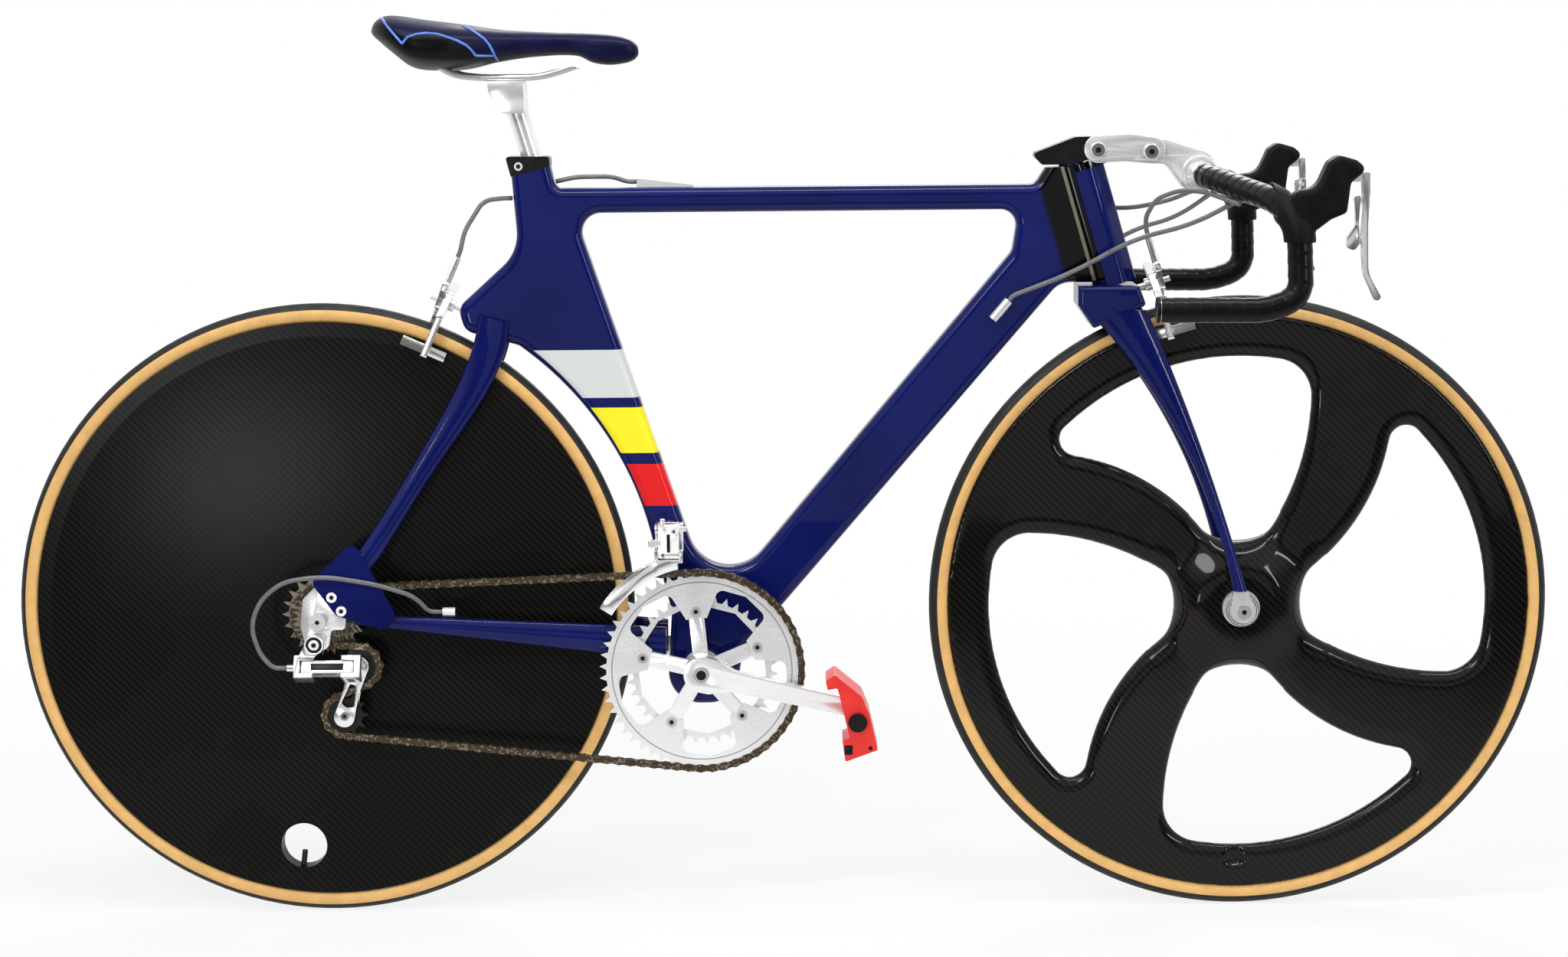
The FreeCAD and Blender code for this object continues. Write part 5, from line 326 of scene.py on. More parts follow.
def speck_group():
    """Small scattered marks: stone chips, dirt and oil spots."""
    wires, source, drain = new_group("Specks", ("Place", "Size", "Amount"), "Mask")
    cloud = wires.noise(source["Place"], source["Size"], 3.0)
    edge = wires.math("SUBTRACT", 0.86, wires.times(source["Amount"], 0.4))
    wires.feed(drain["Mask"], wires.spread(cloud, edge, wires.plus(edge, 0.04)))


def brush_group():
    """Fine lines along X, as left by a polishing wheel."""
    wires, source, drain = new_group("Brushed", ("Place", "Size"), "Value")
    stretched = wires.vector_math("MULTIPLY", source["Place"], (0.06, 1.0, 1.0))
    wires.feed(drain["Value"], wires.noise(stretched, source["Size"], 2.0))


# Finishes

BAND_RADIUS = 0.3645
BAND_FRONT = -0.04
BAND_SOFT = 0.0003
BANDS = ((0.565, 0.6165, "band_grey"), (0.505, 0.5543, "band_yellow"), (0.4475, 0.493, "band_red"))
# Painted shade: how far ahead of the head the navy turns to black, where the head tube lies in shadow
HEAD_PAINTED_SHADE = (-0.044, -0.036)
# Partly painted highlight: where the strip lies, for the steerer in the gap and the highlight on the head's front
# edge
HEAD_STRIP_AND_GLINT = (-0.0128, -0.0092)
CHIP_HEIGHTS = (0.50, 0.30)
CHIPS_FROM = -0.05
TYRE_THREADS = 2400
TREAD_LINES = 900
LACQUER_RINGS = 60
LINER_PITCH = 0.0022
RING_LINE = (0.0962, 0.0975)
LEATHER_CELLS = (620.0, 260.0)
CHIP_TINT = (0.02, 0.02, 0.03)
THREAD_TINT = (0.30, 0.17, 0.06)
DUST_TINT = (0.035, 0.033, 0.03)
DIRT_TINT = (0.16, 0.15, 0.14)
RUBBED_TINT = (0.38, 0.32, 0.25)
COG_TINT = (0.20, 0.17, 0.13)
COG_DIRT = (0.03, 0.022, 0.015)
ANODISED_TINT = (0.006, 0.006, 0.007)
PULLEY_TINT = (0.010, 0.010, 0.010)
PANEL_TINT = (0.003, 0.003, 0.0035)
PANEL_LIFT = (0.006, 0.006, 0.007)


def frame_marks(finish, colours, colour):
    """The main frame's colour with its bands, the black painted shade on the head, the head strip (partly a painted
    highlight) and stone chips.
    """
    parts = finish.split(finish.place)
    radius = finish.axle(REAR_AXLE)["Radius"]
    clear = finish.spread(radius, BAND_RADIUS - BAND_SOFT, BAND_RADIUS + BAND_SOFT)
    side = finish.times(clear, finish.math("LESS_THAN", parts["X"], BAND_FRONT))
    for low, high, label in BANDS:
        mask = finish.band(parts["Z"], low, high, BAND_SOFT)
        colour = finish.mix(finish.times(mask, side), colour, getattr(colours, label))
    # Painted shade: the shadowed recess of the head tube is drawn as black paint
    offset = finish.vector_math("SUBTRACT", finish.place, HEAD_FOOT)
    forward = finish.vector_math("DOT_PRODUCT", offset, STEER_FORWARD)
    colour = finish.mix(finish.spread(forward, *HEAD_PAINTED_SHADE), colour, colours.head_painted_shade)
    # Partly painted highlight: a pale strip for the steerer in the gap and the highlight along the head's front edge
    strip = finish.band(forward, *HEAD_STRIP_AND_GLINT, BAND_SOFT)
    above_crown = finish.math("GREATER_THAN", parts["Z"], HEAD_FOOT[2])
    colour = finish.mix(finish.times(strip, above_crown), colour, colours.head_strip_and_glint)
    low_down = finish.spread(parts["Z"], *CHIP_HEIGHTS)
    ahead = finish.math("GREATER_THAN", parts["X"], CHIPS_FROM)
    chips = finish.times(finish.specks(0.009, 0.16), finish.times(low_down, ahead))
    return finish.mix(chips, colour, CHIP_TINT)


def navy_paint(name, colours, banded=False):
    """Clear-coated paint with a soft cloud in it; the main frame's is also banded."""
    finish = Finish(name, {
        "Coat Weight": 0.42, "Coat Roughness": 0.02, "Coat IOR": 1.45, "Specular IOR Level": 0.04,
    })
    colour = finish.mix(finish.grain(0.11, 2.0), colours.paint, colours.paint_lift)
    if banded:
        colour = frame_marks(finish, colours, colour)
    haze = finish.ranged(finish.grain(0.02, 4.0), 0.20, 0.30)
    peel = finish.grain(0.0016, 1.0)
    return finish.wear(colour, haze, peel, depth=0.00002, strength=0.35)


def tyre_rubber(name, colours, centre, band):
    """Black tread with fine cross lines, and a tan side with cotton threads showing."""
    finish = Finish(name, {"Specular IOR Level": 0.3})
    around = finish.axle(centre)
    side = finish.band(around["Radius"], *band, 0.0004)
    cloud = finish.grain(0.014, 5.0)
    tan = finish.mix(cloud, shade(colours.tan, 0.80), colours.tan)
    threads = finish.waves(around["Turn"], TYRE_THREADS)
    tan = finish.mix(finish.spread(threads, -1.0, 1.0, 0.0, 0.10), tan, THREAD_TINT)
    dusty = finish.grain(0.03, 6.0)
    tread = finish.mix(finish.spread(dusty, 0.45, 1.0, 0.0, 0.5), colours.tread, DUST_TINT)
    file_lines = finish.waves(around["Turn"], TREAD_LINES)
    relief = finish.plus(finish.times(file_lines, 0.4), cloud)
    return finish.wear(finish.mix(side, tread, tan), finish.ranged(cloud, 0.48, 0.62), relief,
                       depth=0.00012, strength=0.4)


def carbon_weave(name, colours, tow, centre, gloss, gloss_rough):
    """Woven carbon under a thin lacquer that is worn unevenly."""
    finish = Finish(name, {"Coat Weight": gloss, "Coat Roughness": gloss_rough, "Specular IOR Level": 0.03})
    weave = finish.use("Weave", Place=finish.place, Tow=tow)
    cloud = finish.grain(0.16, 3.0)
    tows = finish.mix(weave["Over"], colours.carbon, colours.carbon_lift)
    colour = finish.mix(finish.spread(cloud, 0.2, 1.0, 0.0, 0.5), tows, colours.carbon)
    smear = finish.grain(0.05, 5.0)
    rough = finish.plus(finish.ranged(smear, 0.26, 0.40), finish.times(weave["Over"], 0.10))
    turned = finish.waves(finish.axle(centre)["Radius"], LACQUER_RINGS)
    rough = finish.plus(rough, finish.times(turned, 0.015))
    return finish.wear(colour, rough, weave["Height"], depth=0.00012, strength=0.5)


def polished_metal(name, tint, rough=(0.20, 0.30), dirt=0.2, dirt_tint=DIRT_TINT, turned_line=None, shine=0.68):
    """Bright metal with polishing lines, finger haze and a little dirt."""
    finish = Finish(name, {"Metallic": shine})
    lines = finish.use("Brushed", Place=finish.place, Size=0.0007)["Value"]
    haze = finish.grain(0.04, 3.0)
    spots = finish.specks(0.006, dirt)
    colour = finish.mix(finish.ranged(haze, 0.0, 0.20), tint, shade(tint, 0.86))
    if turned_line:
        radius = finish.axle(CRANK_CENTRE)["Radius"]
        line = finish.band(radius, *turned_line, 0.0002)
        colour = finish.mix(finish.times(line, 0.7), colour, dirt_tint)
    colour = finish.mix(finish.times(spots, 0.6), colour, dirt_tint)
    marks = finish.plus(finish.times(lines, 0.5), finish.times(haze, 0.5))
    worn = finish.plus(finish.spread(marks, 0.2, 0.8, *rough), finish.times(spots, 0.3))
    return finish.wear(colour, worn, lines, depth=0.00003, strength=0.05)


# Oily steel whose brown is partly painted shade, darkened for the shadow the chain runs in, with random grime and
# rubbed specks
def oily_shaded_chain(name, colours):
    finish = Finish(name, {"Metallic": 0.75, "Specular IOR Level": 0.5})
    grime = finish.grain(0.007, 6.0)
    rub = finish.specks(0.003, 0.75)
    colour = finish.mix(grime, shade(colours.chain, 0.45), colours.chain)
    colour = finish.mix(finish.times(rub, 0.5), colour, RUBBED_TINT)
    return finish.wear(colour, finish.ranged(grime, 0.30, 0.62), grime, depth=0.0002, strength=0.5)


def moulded(name, tint, rough, grain_size, grain_height, specular=0.2, lift=1.6):
    """Rubber or plastic with a moulded grain and rubbed lighter patches."""
    finish = Finish(name, {"Specular IOR Level": specular})
    rubbed = finish.grain(0.02, 5.0)
    colour = finish.mix(finish.spread(rubbed, 0.3, 1.0), tint, shade(tint, lift))
    grain = finish.grain(grain_size, 3.0)
    return finish.wear(colour, finish.ranged(rubbed, *rough), grain, grain_height, strength=0.6)


def wound_housing(name, colours):
    """Plastic housing whose wound liner shows as faint rings."""
    finish = Finish(name, {"Specular IOR Level": 0.5})
    cloud = finish.grain(0.01, 4.0)
    colour = finish.mix(cloud, shade(colours.housing, 0.7), colours.housing)
    parts = finish.split(finish.place)
    run = finish.plus(parts["X"], finish.times(parts["Z"], 0.6))
    rings = finish.waves(run, 1 / LINER_PITCH)
    return finish.wear(colour, finish.ranged(cloud, 0.28, 0.42), rings, depth=0.00005, strength=0.3)


def grained_leather(name, tint, lift):
    """Saddle leather: pebbled grain with fine pores, shinier where it is sat on."""
    finish = Finish(name, {"Specular IOR Level": 0.12})
    cells = [finish.node("ShaderNodeTexVoronoi", {"Vector": finish.place, "Scale": scale}) for scale in LEATHER_CELLS]
    pebble, pores = (cell.outputs["Distance"] for cell in cells)
    worn = finish.grain(0.03, 4.0)
    colour = finish.mix(finish.spread(worn, 0.3, 1.0), tint, lift)
    hole = finish.spread(pores, 0.0, 0.16, 1.0, 0.0)
    colour = finish.mix(finish.times(hole, 0.5), colour, shade(tint, 0.4))
    height = finish.math("SUBTRACT", finish.times(pebble, 0.6), hole)
    return finish.wear(colour, finish.ranged(worn, 0.30, 0.46), height, depth=0.00022, strength=0.55)


# Modelling helpers

SAME_CORNER = 0.000005
SAME_SEAM = 0.00001
QUARTER = (math.pi / 2, 0.0, 0.0)
BOTH, RIGHT, LEFT = (-1, 1), (-1,), (1,)


def pick_none():
    if bpy.context.object and bpy.context.object.mode != "OBJECT":
        bpy.ops.object.mode_set(mode="OBJECT")
    bpy.ops.object.select_all(action="DESELECT")


def pick(piece):
    pick_none()
    piece.select_set(True)
    bpy.context.view_layer.objects.active = piece


def apply_all(piece):
    pick(piece)
    for modifier in list(piece.modifiers):
        bpy.ops.object.modifier_apply(modifier=modifier.name)


def in_edit_mode(piece, *steps):
    """Run edit-mode operators on the whole mesh of a piece."""
    pick(piece)
    bpy.ops.object.mode_set(mode="EDIT")
    bpy.ops.mesh.select_all(action="SELECT")
    for step in steps:
        step()
    bpy.ops.object.mode_set(mode="OBJECT")


def close_up(piece):
    """Merge doubled corners and turn the faces outwards."""
    in_edit_mode(
        piece,
        lambda: bpy.ops.mesh.remove_doubles(threshold=SAME_SEAM),
        lambda: bpy.ops.mesh.normals_make_consistent(inside=False))


def named(piece, name):
    piece.name = name
    piece.data.name = name
    return piece


def joined(name, pieces):
    pick_none()
    for piece in pieces:
        piece.select_set(True)
    bpy.context.view_layer.objects.active = pieces[0]
    if len(pieces) > 1:
        bpy.ops.object.join()
    return named(bpy.context.object, name)


def settle(piece):
    """Put a piece's place into its mesh."""
    pick(piece)
    bpy.ops.object.transform_apply(location=True, rotation=True, scale=True)
    return piece


def melt(piece, voxel):
    """Mould a piece anew as one skin."""
    step = piece.modifiers.new("Melt", "REMESH")
    step.mode = "VOXEL"
    step.voxel_size = voxel


def soften(piece, rounds, group=""):
    step = piece.modifiers.new("Soften", "SMOOTH")
    step.factor = 0.5
    step.iterations = rounds
    step.vertex_group = group


def bevel(piece, width, segments, angle=30.0):
    step = piece.modifiers.new("Edge", "BEVEL")
    step.width = width
    step.segments = segments
    step.limit_method = "ANGLE"
    step.angle_limit = math.radians(angle)


def paint(piece, *materials):
    piece.data.materials.clear()
    for material in materials:
        piece.data.materials.append(material)


def dress(material, *names):
    """Give CAD nodes a finish."""
    for name in names:
        paint(NODES[name], material)


def copy_of(node, name):
    """A new piece with the shape of a CAD node, merged into closed surfaces."""
    made = NODES[node].copy()
    made.data = NODES[node].data.copy()
    made.parent = None
    for key in list(made.keys()):
        del made[key]
    bpy.context.scene.collection.objects.link(made)
    in_edit_mode(made, lambda: bpy.ops.mesh.remove_doubles(threshold=SAME_CORNER))
    return named(made, name)


def smooth(piece, angle):
    pick(piece)
    bpy.ops.object.shade_smooth_by_angle(angle=math.radians(angle))


def wrapped_grid(name, around, along, place):
    """A grid whose corners are put where place(u, v) says, with u along it and v round it."""
    pick_none()
    bpy.ops.mesh.primitive_grid_add(x_subdivisions=along, y_subdivisions=around, size=1.0)
    made = named(bpy.context.object, name)
    for corner in made.data.vertices:
        corner.co = place(corner.co.x + 0.5, corner.co.y + 0.5)
    close_up(made)
    return made


def between(table, x):
    """Smooth reading of a table of rows (x, value)."""
    last = len(table) - 1
    x = min(max(x, table[0][0]), table[last][0])
    row = next(number for number in range(last) if x <= table[number + 1][0])

    def slope(number):
        (x0, v0), (x1, v1) = table[max(0, number - 1)], table[min(last, number + 1)]
        return (v1 - v0) / (x1 - x0)

    (x0, v0), (x1, v1) = table[row], table[row + 1]
    t = (x - x0) / (x1 - x0)
    ease = t * t * (3 - 2 * t)
    lean = (x1 - x0) * (t * (1 - t) ** 2 * slope(row) - t * t * (1 - t) * slope(row + 1))
    return v0 + (v1 - v0) * ease + lean


def round_bar(vertices, radius, depth, place):
    """A short cylinder along Y."""
    pick_none()
    bpy.ops.mesh.primitive_cylinder_add(vertices=vertices, radius=radius, depth=depth, location=place,
                                        rotation=QUARTER)
    return settle(bpy.context.object)


def wire_ring(radius, wire, **lie):
    pick_none()
    bpy.ops.mesh.primitive_torus_add(major_radius=radius, minor_radius=wire, major_segments=40, minor_segments=10,
                                     **lie)
    return settle(bpy.context.object)


def thread(points, radius):
    """A thin round cord laid along points, as a mesh."""
    curve = bpy.data.curves.new("thread", "CURVE")
    curve.dimensions = "3D"
    spline = curve.splines.new("NURBS")
    spline.points.add(len(points) - 1)
    for knot, point in zip(spline.points, points):
        knot.co = (*point, 1.0)
    spline.order_u = 3
    spline.use_endpoint_u = True
    spline.resolution_u = 4
    curve.bevel_depth = radius
    curve.bevel_resolution = 3
    curve.use_fill_caps = True
    made = bpy.data.objects.new("thread", curve)
    bpy.context.scene.collection.objects.link(made)
    pick(made)
    bpy.ops.object.convert(target="MESH")
    return bpy.context.object


# Saddle, measured along the bike: upper line, lower line and half width

SADDLE_TOP = (
    (-0.4275, 0.957), (-0.4268, 0.9607), (-0.4225, 0.9672), (-0.413, 0.9722), (-0.400, 0.9722),
    (-0.3743, 0.9683), (-0.335, 0.9631), (-0.2859, 0.9562), (-0.2367, 0.9534), (-0.1816, 0.951),
    (-0.165, 0.9485), (-0.155, 0.9452), (-0.1495, 0.9408), (-0.1470, 0.9370), (-0.1465, 0.934))
SADDLE_LOW = (
    (-0.4275, 0.954), (-0.4265, 0.9513), (-0.4181, 0.9440), (-0.4048, 0.9326), (-0.3837, 0.9174),
    (-0.3525, 0.9142), (-0.327, 0.9155), (-0.2955, 0.9225), (-0.2544, 0.928), (-0.2114, 0.9285),
    (-0.1959, 0.9215), (-0.1783, 0.9187), (-0.1607, 0.9205), (-0.1515, 0.9238), (-0.1475, 0.9277),
    (-0.1465, 0.930))
SADDLE_HALF = (
    (-0.4275, 0.020), (-0.4225, 0.038), (-0.413, 0.054), (-0.400, 0.0645), (-0.384, 0.0700), (-0.366, 0.0712),
    (-0.345, 0.067), (-0.322, 0.0555), (-0.300, 0.042), (-0.275, 0.0305), (-0.245, 0.0235), (-0.21, 0.0195),
    (-0.18, 0.0188), (-0.163, 0.0165), (-0.154, 0.0130), (-0.1485, 0.0085), (-0.1465, 0.004))
SPLIT_SHARE = 0.42
SIDE_POWER = 0.72
CROWN_POWER = 0.95
SKIRT_POWER = 0.55
TUCK = 0.30
TUCK_POWER = 1.5
FLAT = 1e-6


def saddle_heights(x):
    """Top, widest height and low edge of the cover at a station."""
    top = between(SADDLE_TOP, x)
    low = between(SADDLE_LOW, x)
    return top, top - SPLIT_SHARE * (top - low), low


def saddle_place(x, angle):
    """A point on the cover at a station, at an angle round the section."""
    top, split, low = saddle_heights(x)
    across = math.cos(angle)
    rise = math.sin(angle)
    out = between(SADDLE_HALF, x) * math.copysign(abs(across) ** SIDE_POWER, across)
    if rise >= 0:
        return Vector((x, out, split + (top - split) * rise ** CROWN_POWER))
    tuck = 1.0 - TUCK * abs(rise) ** TUCK_POWER
    return Vector((x, out * tuck, split - (split - low) * abs(rise) ** SKIRT_POWER))


def saddle_side(x, z, side):
    """The point of the cover's side at a height."""
    top, split, low = saddle_heights(x)
    if z >= split:
        rise = min(1.0, (z - split) / max(FLAT, top - split)) ** (1 / CROWN_POWER)
    else:
        rise = -min(1.0, (split - z) / max(FLAT, split - low)) ** (1 / SKIRT_POWER)
    angle = math.asin(rise)
    return saddle_place(x, angle if side > 0 else math.pi - angle)


TAIL_PIPE = ((-0.4165, 0.9715), (-0.4116, 0.9681), (-0.400, 0.9555), (-0.389, 0.943))
PANEL_PIPE = (
    (-0.389, 0.943), (-0.3831, 0.9497), (-0.374, 0.9526), (-0.3636, 0.9537), (-0.352, 0.9525), (-0.3424, 0.9493),
    (-0.332, 0.9455), (-0.3232, 0.9405), (-0.318, 0.935), (-0.3148, 0.9299), (-0.305, 0.9297), (-0.2965, 0.9297))
CROSS_PIPE = ((-0.3297, 0.9608), (-0.320, 0.9568), (-0.3124, 0.952), (-0.306, 0.9475), (-0.301, 0.9413),
              (-0.297, 0.933), (-0.2945, 0.9245))
PIPE_STEP = 0.0025
BLACK_PANEL = (
    (-0.440, 0.9805), *TAIL_PIPE[1:], *PANEL_PIPE[1:], (-0.2945, 0.9245), (-0.29, 0.90), (-0.44, 0.90))
BELLY_TURN = -0.75
COVER_AROUND = 112
COVER_ALONG = 180


def inside(outline, x, z):
    """Whether a point lies inside a closed outline."""
    within = False
    for (x0, z0), (x1, z1) in zip(outline, outline[1:] + outline[:1]):
        if (z0 > z) != (z1 > z) and x < x0 + (z - z0) * (x1 - x0) / (z1 - z0):
            within = not within
    return within


class BIKE_OT_saddle(bpy.types.Operator):
    """Saddle cover with its black side panels and piping"""

    bl_idname = "bike.saddle"
    bl_label = "Saddle"

    def execute(self, context):
        colours = context.scene.bike_colours
        self.cover(colours)
        self.piping(colours, context.scene.bike_sizes.piping)
        return {"FINISHED"}

    @staticmethod
    def cover(colours):
        """The stretched leather, black on its side panels and underneath."""
        first, last = SADDLE_TOP[0][0], SADDLE_TOP[-1][0]

        def place(u, v):
            eased = (1 - math.cos(math.pi * u)) / 2
            return saddle_place(first + (last - first) * (u + eased) / 2, 2 * math.pi * v)

        cover = wrapped_grid("saddle_cover", COVER_AROUND, COVER_ALONG, place)
        in_edit_mode(
            cover,
            lambda: bpy.ops.mesh.select_all(action="DESELECT"),
            lambda: bpy.ops.mesh.select_non_manifold(),
            lambda: bpy.ops.mesh.edge_face_add(),
            lambda: bpy.ops.mesh.select_all(action="SELECT"),
            lambda: bpy.ops.mesh.normals_make_consistent(inside=False))
        soften(cover, 6)
        apply_all(cover)
        blue = grained_leather("Saddle leather", colours.leather, shade(colours.leather, 1.5))
        black = grained_leather("Saddle panel", PANEL_TINT, PANEL_LIFT)
        paint(cover, blue, black)
        for face in cover.data.polygons:
            middle = face.center
            if inside(BLACK_PANEL, middle.x, middle.z) or face.normal.z < BELLY_TURN:
                face.material_index = 1
        smooth(cover, 60)
        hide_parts("saddle")
        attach(cover, "seat")

    def piping(self, colours, radius):
        """Cords along the seams, on both sides."""
        cords = []
        for line in (TAIL_PIPE, PANEL_PIPE, CROSS_PIPE):
            for side in BOTH:
                points = [saddle_side(x, z, side) for x, z in self.finely(line)]
                cords.append(thread(points, radius))
        piping = joined("saddle_piping", cords)
        paint(piping, moulded("Saddle piping", colours.piping, (0.25, 0.4), 0.0008, 0.00005))
        smooth(piping, 60)
        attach(piping, "seat")

    @staticmethod
    def finely(line):
        """Extra places between the corners of a line, so that a cord hugs the cover."""
        made = []
        for (x0, z0), (x1, z1) in zip(line, line[1:]):
            count = max(1, round(math.hypot(x1 - x0, z1 - z0) / PIPE_STEP))
            made += [(x0 + (x1 - x0) * step / count, z0 + (z1 - z0) * step / count) for step in range(count)]
        return made + [line[-1]]


# Bar tape, on the same line as the bar: shares of the half width from the middle of the clamp

BAR_MIDDLE = (0.4478992, 0.0, 0.7986756)
BAR_HALF_WIDTH = 0.212
BAR_SHARES = (
    (0.0, 0.0, 0.0), (0.0, 0.25, 0.0), (0.27, 0.85, -0.10), (0.358, 0.985, -0.197), (0.368, 1.0, -0.546),
    (0.21, 1.0, -0.61), (-0.30, 1.0, -0.605))
BEND_REACH = 0.45
TAPE_INNER = 0.01235
TAPE_STEP = 0.0012
TAPE_SIDES = 28
LAP_LOW = 0.15
FADE_IN, FADE_OUT = 6.0, 4.0
PLUG_CORNERS = 40
PLUG_RADIUS = 0.0134
PLUG_DEPTH = 0.0041
PLUG_EDGE = 0.0016
PLUG_GAP = 0.0003
CLOSING_STEP = 4
CLOSING_WIRE = 0.0011
CLOSING_STRETCH = 5.0
SHORTEST_RUN = 1e-9


def bend(before, here, after):
    """Places along the arc that rounds off one corner of the bar."""
    back = before - here
    ahead = after - here
    reach = BEND_REACH * min(back.length, ahead.length)
    start = here + back.normalized() * reach
    half = back.angle(ahead) / 2
    radius = reach * math.tan(half)
    centre = here + (back.normalized() + ahead.normalized()).normalized() * (radius / math.sin(half))
    sweep = math.pi - 2 * half
    count = max(2, round(radius * sweep / TAPE_STEP))
    turns = [Matrix.Rotation(-sweep * step / count, 3, back.cross(ahead)) for step in range(count + 1)]
    return [centre + turn @ (start - centre) for turn in turns]


def bar_line(side):
    """Evenly spaced places along one half of the bar, as (place, heading)."""
    corners = [Vector(BAR_MIDDLE) + BAR_HALF_WIDTH * Vector((x, side * y, z)) for x, y, z in BAR_SHARES]
    line = [corners[0]]
    for trio in zip(corners, corners[1:], corners[2:]):
        line += bend(*trio)
    line.append(corners[-1])
    spaced = []
    carry = 0.0
    for first, second in zip(line, line[1:]):
        run = (second - first).length
        if run < SHORTEST_RUN:
            continue
        heading = (second - first) / run
        while carry < run:
            spaced.append((first + heading * carry, heading))
            carry += TAPE_STEP
        carry -= run
    return spaced


def facing(place, heading):
    """A lie at a place, with Z along a heading."""
    return Matrix.Translation(place) @ heading.to_track_quat("Z", "Y").to_matrix().to_4x4()


def tape_skin(line, side, pitch, lap):
    """A closed skin of overlapping turns along a line."""
    frames = []
    out = Vector((1.0, 0.0, 0.0))
    for middle, heading in line:
        out = (out - heading * out.dot(heading)).normalized()
        frames.append((middle, out, heading.cross(out)))
    count = len(frames) - 1

    def place(u, v):
        step = min(count, round(u * count))
        middle, first, second = frames[step]
        turn = (step * TAPE_STEP / pitch - side * v) % 1.0
        rise = lap * (LAP_LOW + (1.0 - LAP_LOW) * turn)
        fade = min(1.0, step / FADE_IN, (count - step) / FADE_OUT)
        angle = 2 * math.pi * v
        out = first * math.cos(angle) + second * math.sin(angle)
        return middle + out * (TAPE_INNER + rise * fade)

    return wrapped_grid("tape", TAPE_SIDES, count, place)


def bar_plug(middle, heading):
    pick_none()
    bpy.ops.mesh.primitive_cylinder_add(vertices=PLUG_CORNERS, radius=PLUG_RADIUS, depth=PLUG_DEPTH)
    plug = bpy.context.object
    bevel(plug, PLUG_EDGE, 3)
    apply_all(plug)
    plug.matrix_world = facing(middle + heading * (0.5 * PLUG_DEPTH + PLUG_GAP), heading)
    return settle(plug)


def closing_band(middle, heading):
    ring = wire_ring(TAPE_INNER, CLOSING_WIRE)
    ring.matrix_world = facing(middle, heading) @ Matrix.Diagonal((1.0, 1.0, CLOSING_STRETCH, 1.0))
    return settle(ring)


class BIKE_OT_tape(bpy.types.Operator):
    """Wound bar tape with its finishing bands and end plugs"""

    bl_idname = "bike.tape"
    bl_label = "Bar tape"

    def execute(self, context):
        colours = context.scene.bike_colours
        sizes = context.scene.bike_sizes
        start = min(abs(v.co.y) for v in NODES["bar_tape"].data.vertices)
        pieces = []
        for side in BOTH:
            line = [row for row in bar_line(side) if abs(row[0].y) > start]
            pieces += [tape_skin(line, side, sizes.tape_pitch, sizes.tape_lap), bar_plug(*line[-1]),
                       closing_band(*line[CLOSING_STEP])]
        tape = joined("wound_tape", pieces)
        paint(tape, moulded("Bar tape", colours.tape, (0.20, 0.34), 0.0009, 0.00008, specular=0.14))
        smooth(tape, 40)
        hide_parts("bar_tape")
        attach(tape, "bars")
        return {"FINISHED"}


class BIKE_OT_hoods(bpy.types.Operator):
    """Moulded rubber hoods with rounded edges"""

    bl_idname = "bike.hoods"
    bl_label = "Hoods"

    def execute(self, context):
        colours = context.scene.bike_colours
        hoods = copy_of("brake_hoods", "moulded_hoods")
        melt(hoods, context.scene.bike_sizes.hood_voxel)
        soften(hoods, 10)
        apply_all(hoods)
        paint(hoods, moulded("Hood rubber", colours.rubber, (0.40, 0.56), 0.0007, 0.00010, specular=0.09))
        smooth(hoods, 80)
        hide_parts("brake_hoods")
        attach(hoods, "bars")
        return {"FINISHED"}


CABLE_SPANS = (
    ("steering_housings", "bar_cables", (
        ("frame", "fork", (0.290, 0.0, 0.740), (0.345, 0.0, 0.740)),
        ("fork", "stem", (0.350, 0.0, 0.740), (0.405, 0.0, 0.740)),
        ("stem", "bars", (0.410, 0.0, 0.740), (0.465, 0.0, 0.740)))),
    ("front_brake_housing", "front_brake_cable", (
        ("fork", "stem", (0.3880, 0.0, 0.7490), (0.4036, 0.0, 0.7698)),
        ("stem", "bars", (0.4060, 0.0, 0.7730), (0.4228, 0.0, 0.7954)))),
    ("rear_housings", "rear_cables", (
        ("frame", "rd_upper", (-0.500, -0.080, 0.375), (-0.535, -0.080, 0.300)),)),
)


class BIKE_OT_cables(bpy.types.Operator):
    """Cable housings that bend with the parts that they run to"""

    bl_idname = "bike.cables"
    bl_label = "Cables"

    def execute(self, context):
        grey = wound_housing("Cable housing", context.scene.bike_colours)
        for node, name, spans in CABLE_SPANS:
            cuts = [self.cut_between(*pair) for pair in zip(spans, spans[1:])]
            cables = [copy_of(node, f"{name}_{number + 1}") for number in range(len(spans))]
            for number, (fixed, moved, start, end) in enumerate(spans):
                cable = cables[number]
                if number > 0:
                    self.bisect(cable, cuts[number - 1], clear_inner=True)
                if number < len(cuts):
                    self.bisect(cable, cuts[number], clear_outer=True)
                paint(cable, grey)
                smooth(cable, 60)
                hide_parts(node)
                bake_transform(cable, fixed, moved, start=start, end=end)
        return {"FINISHED"}

    @staticmethod
    def cut_between(first, second):
        """Place and direction of the cut between two spans, where both follow the same body."""
        run = Vector(first[3]) - Vector(first[2])
        return (Vector(first[3]) + Vector(second[2])) / 2, run.normalized()

    @staticmethod
    def bisect(cable, cut, **cleared):
        place, direction = cut
        in_edit_mode(cable, lambda: bpy.ops.mesh.bisect(
            plane_co=place, plane_no=direction, use_fill=True, **cleared))


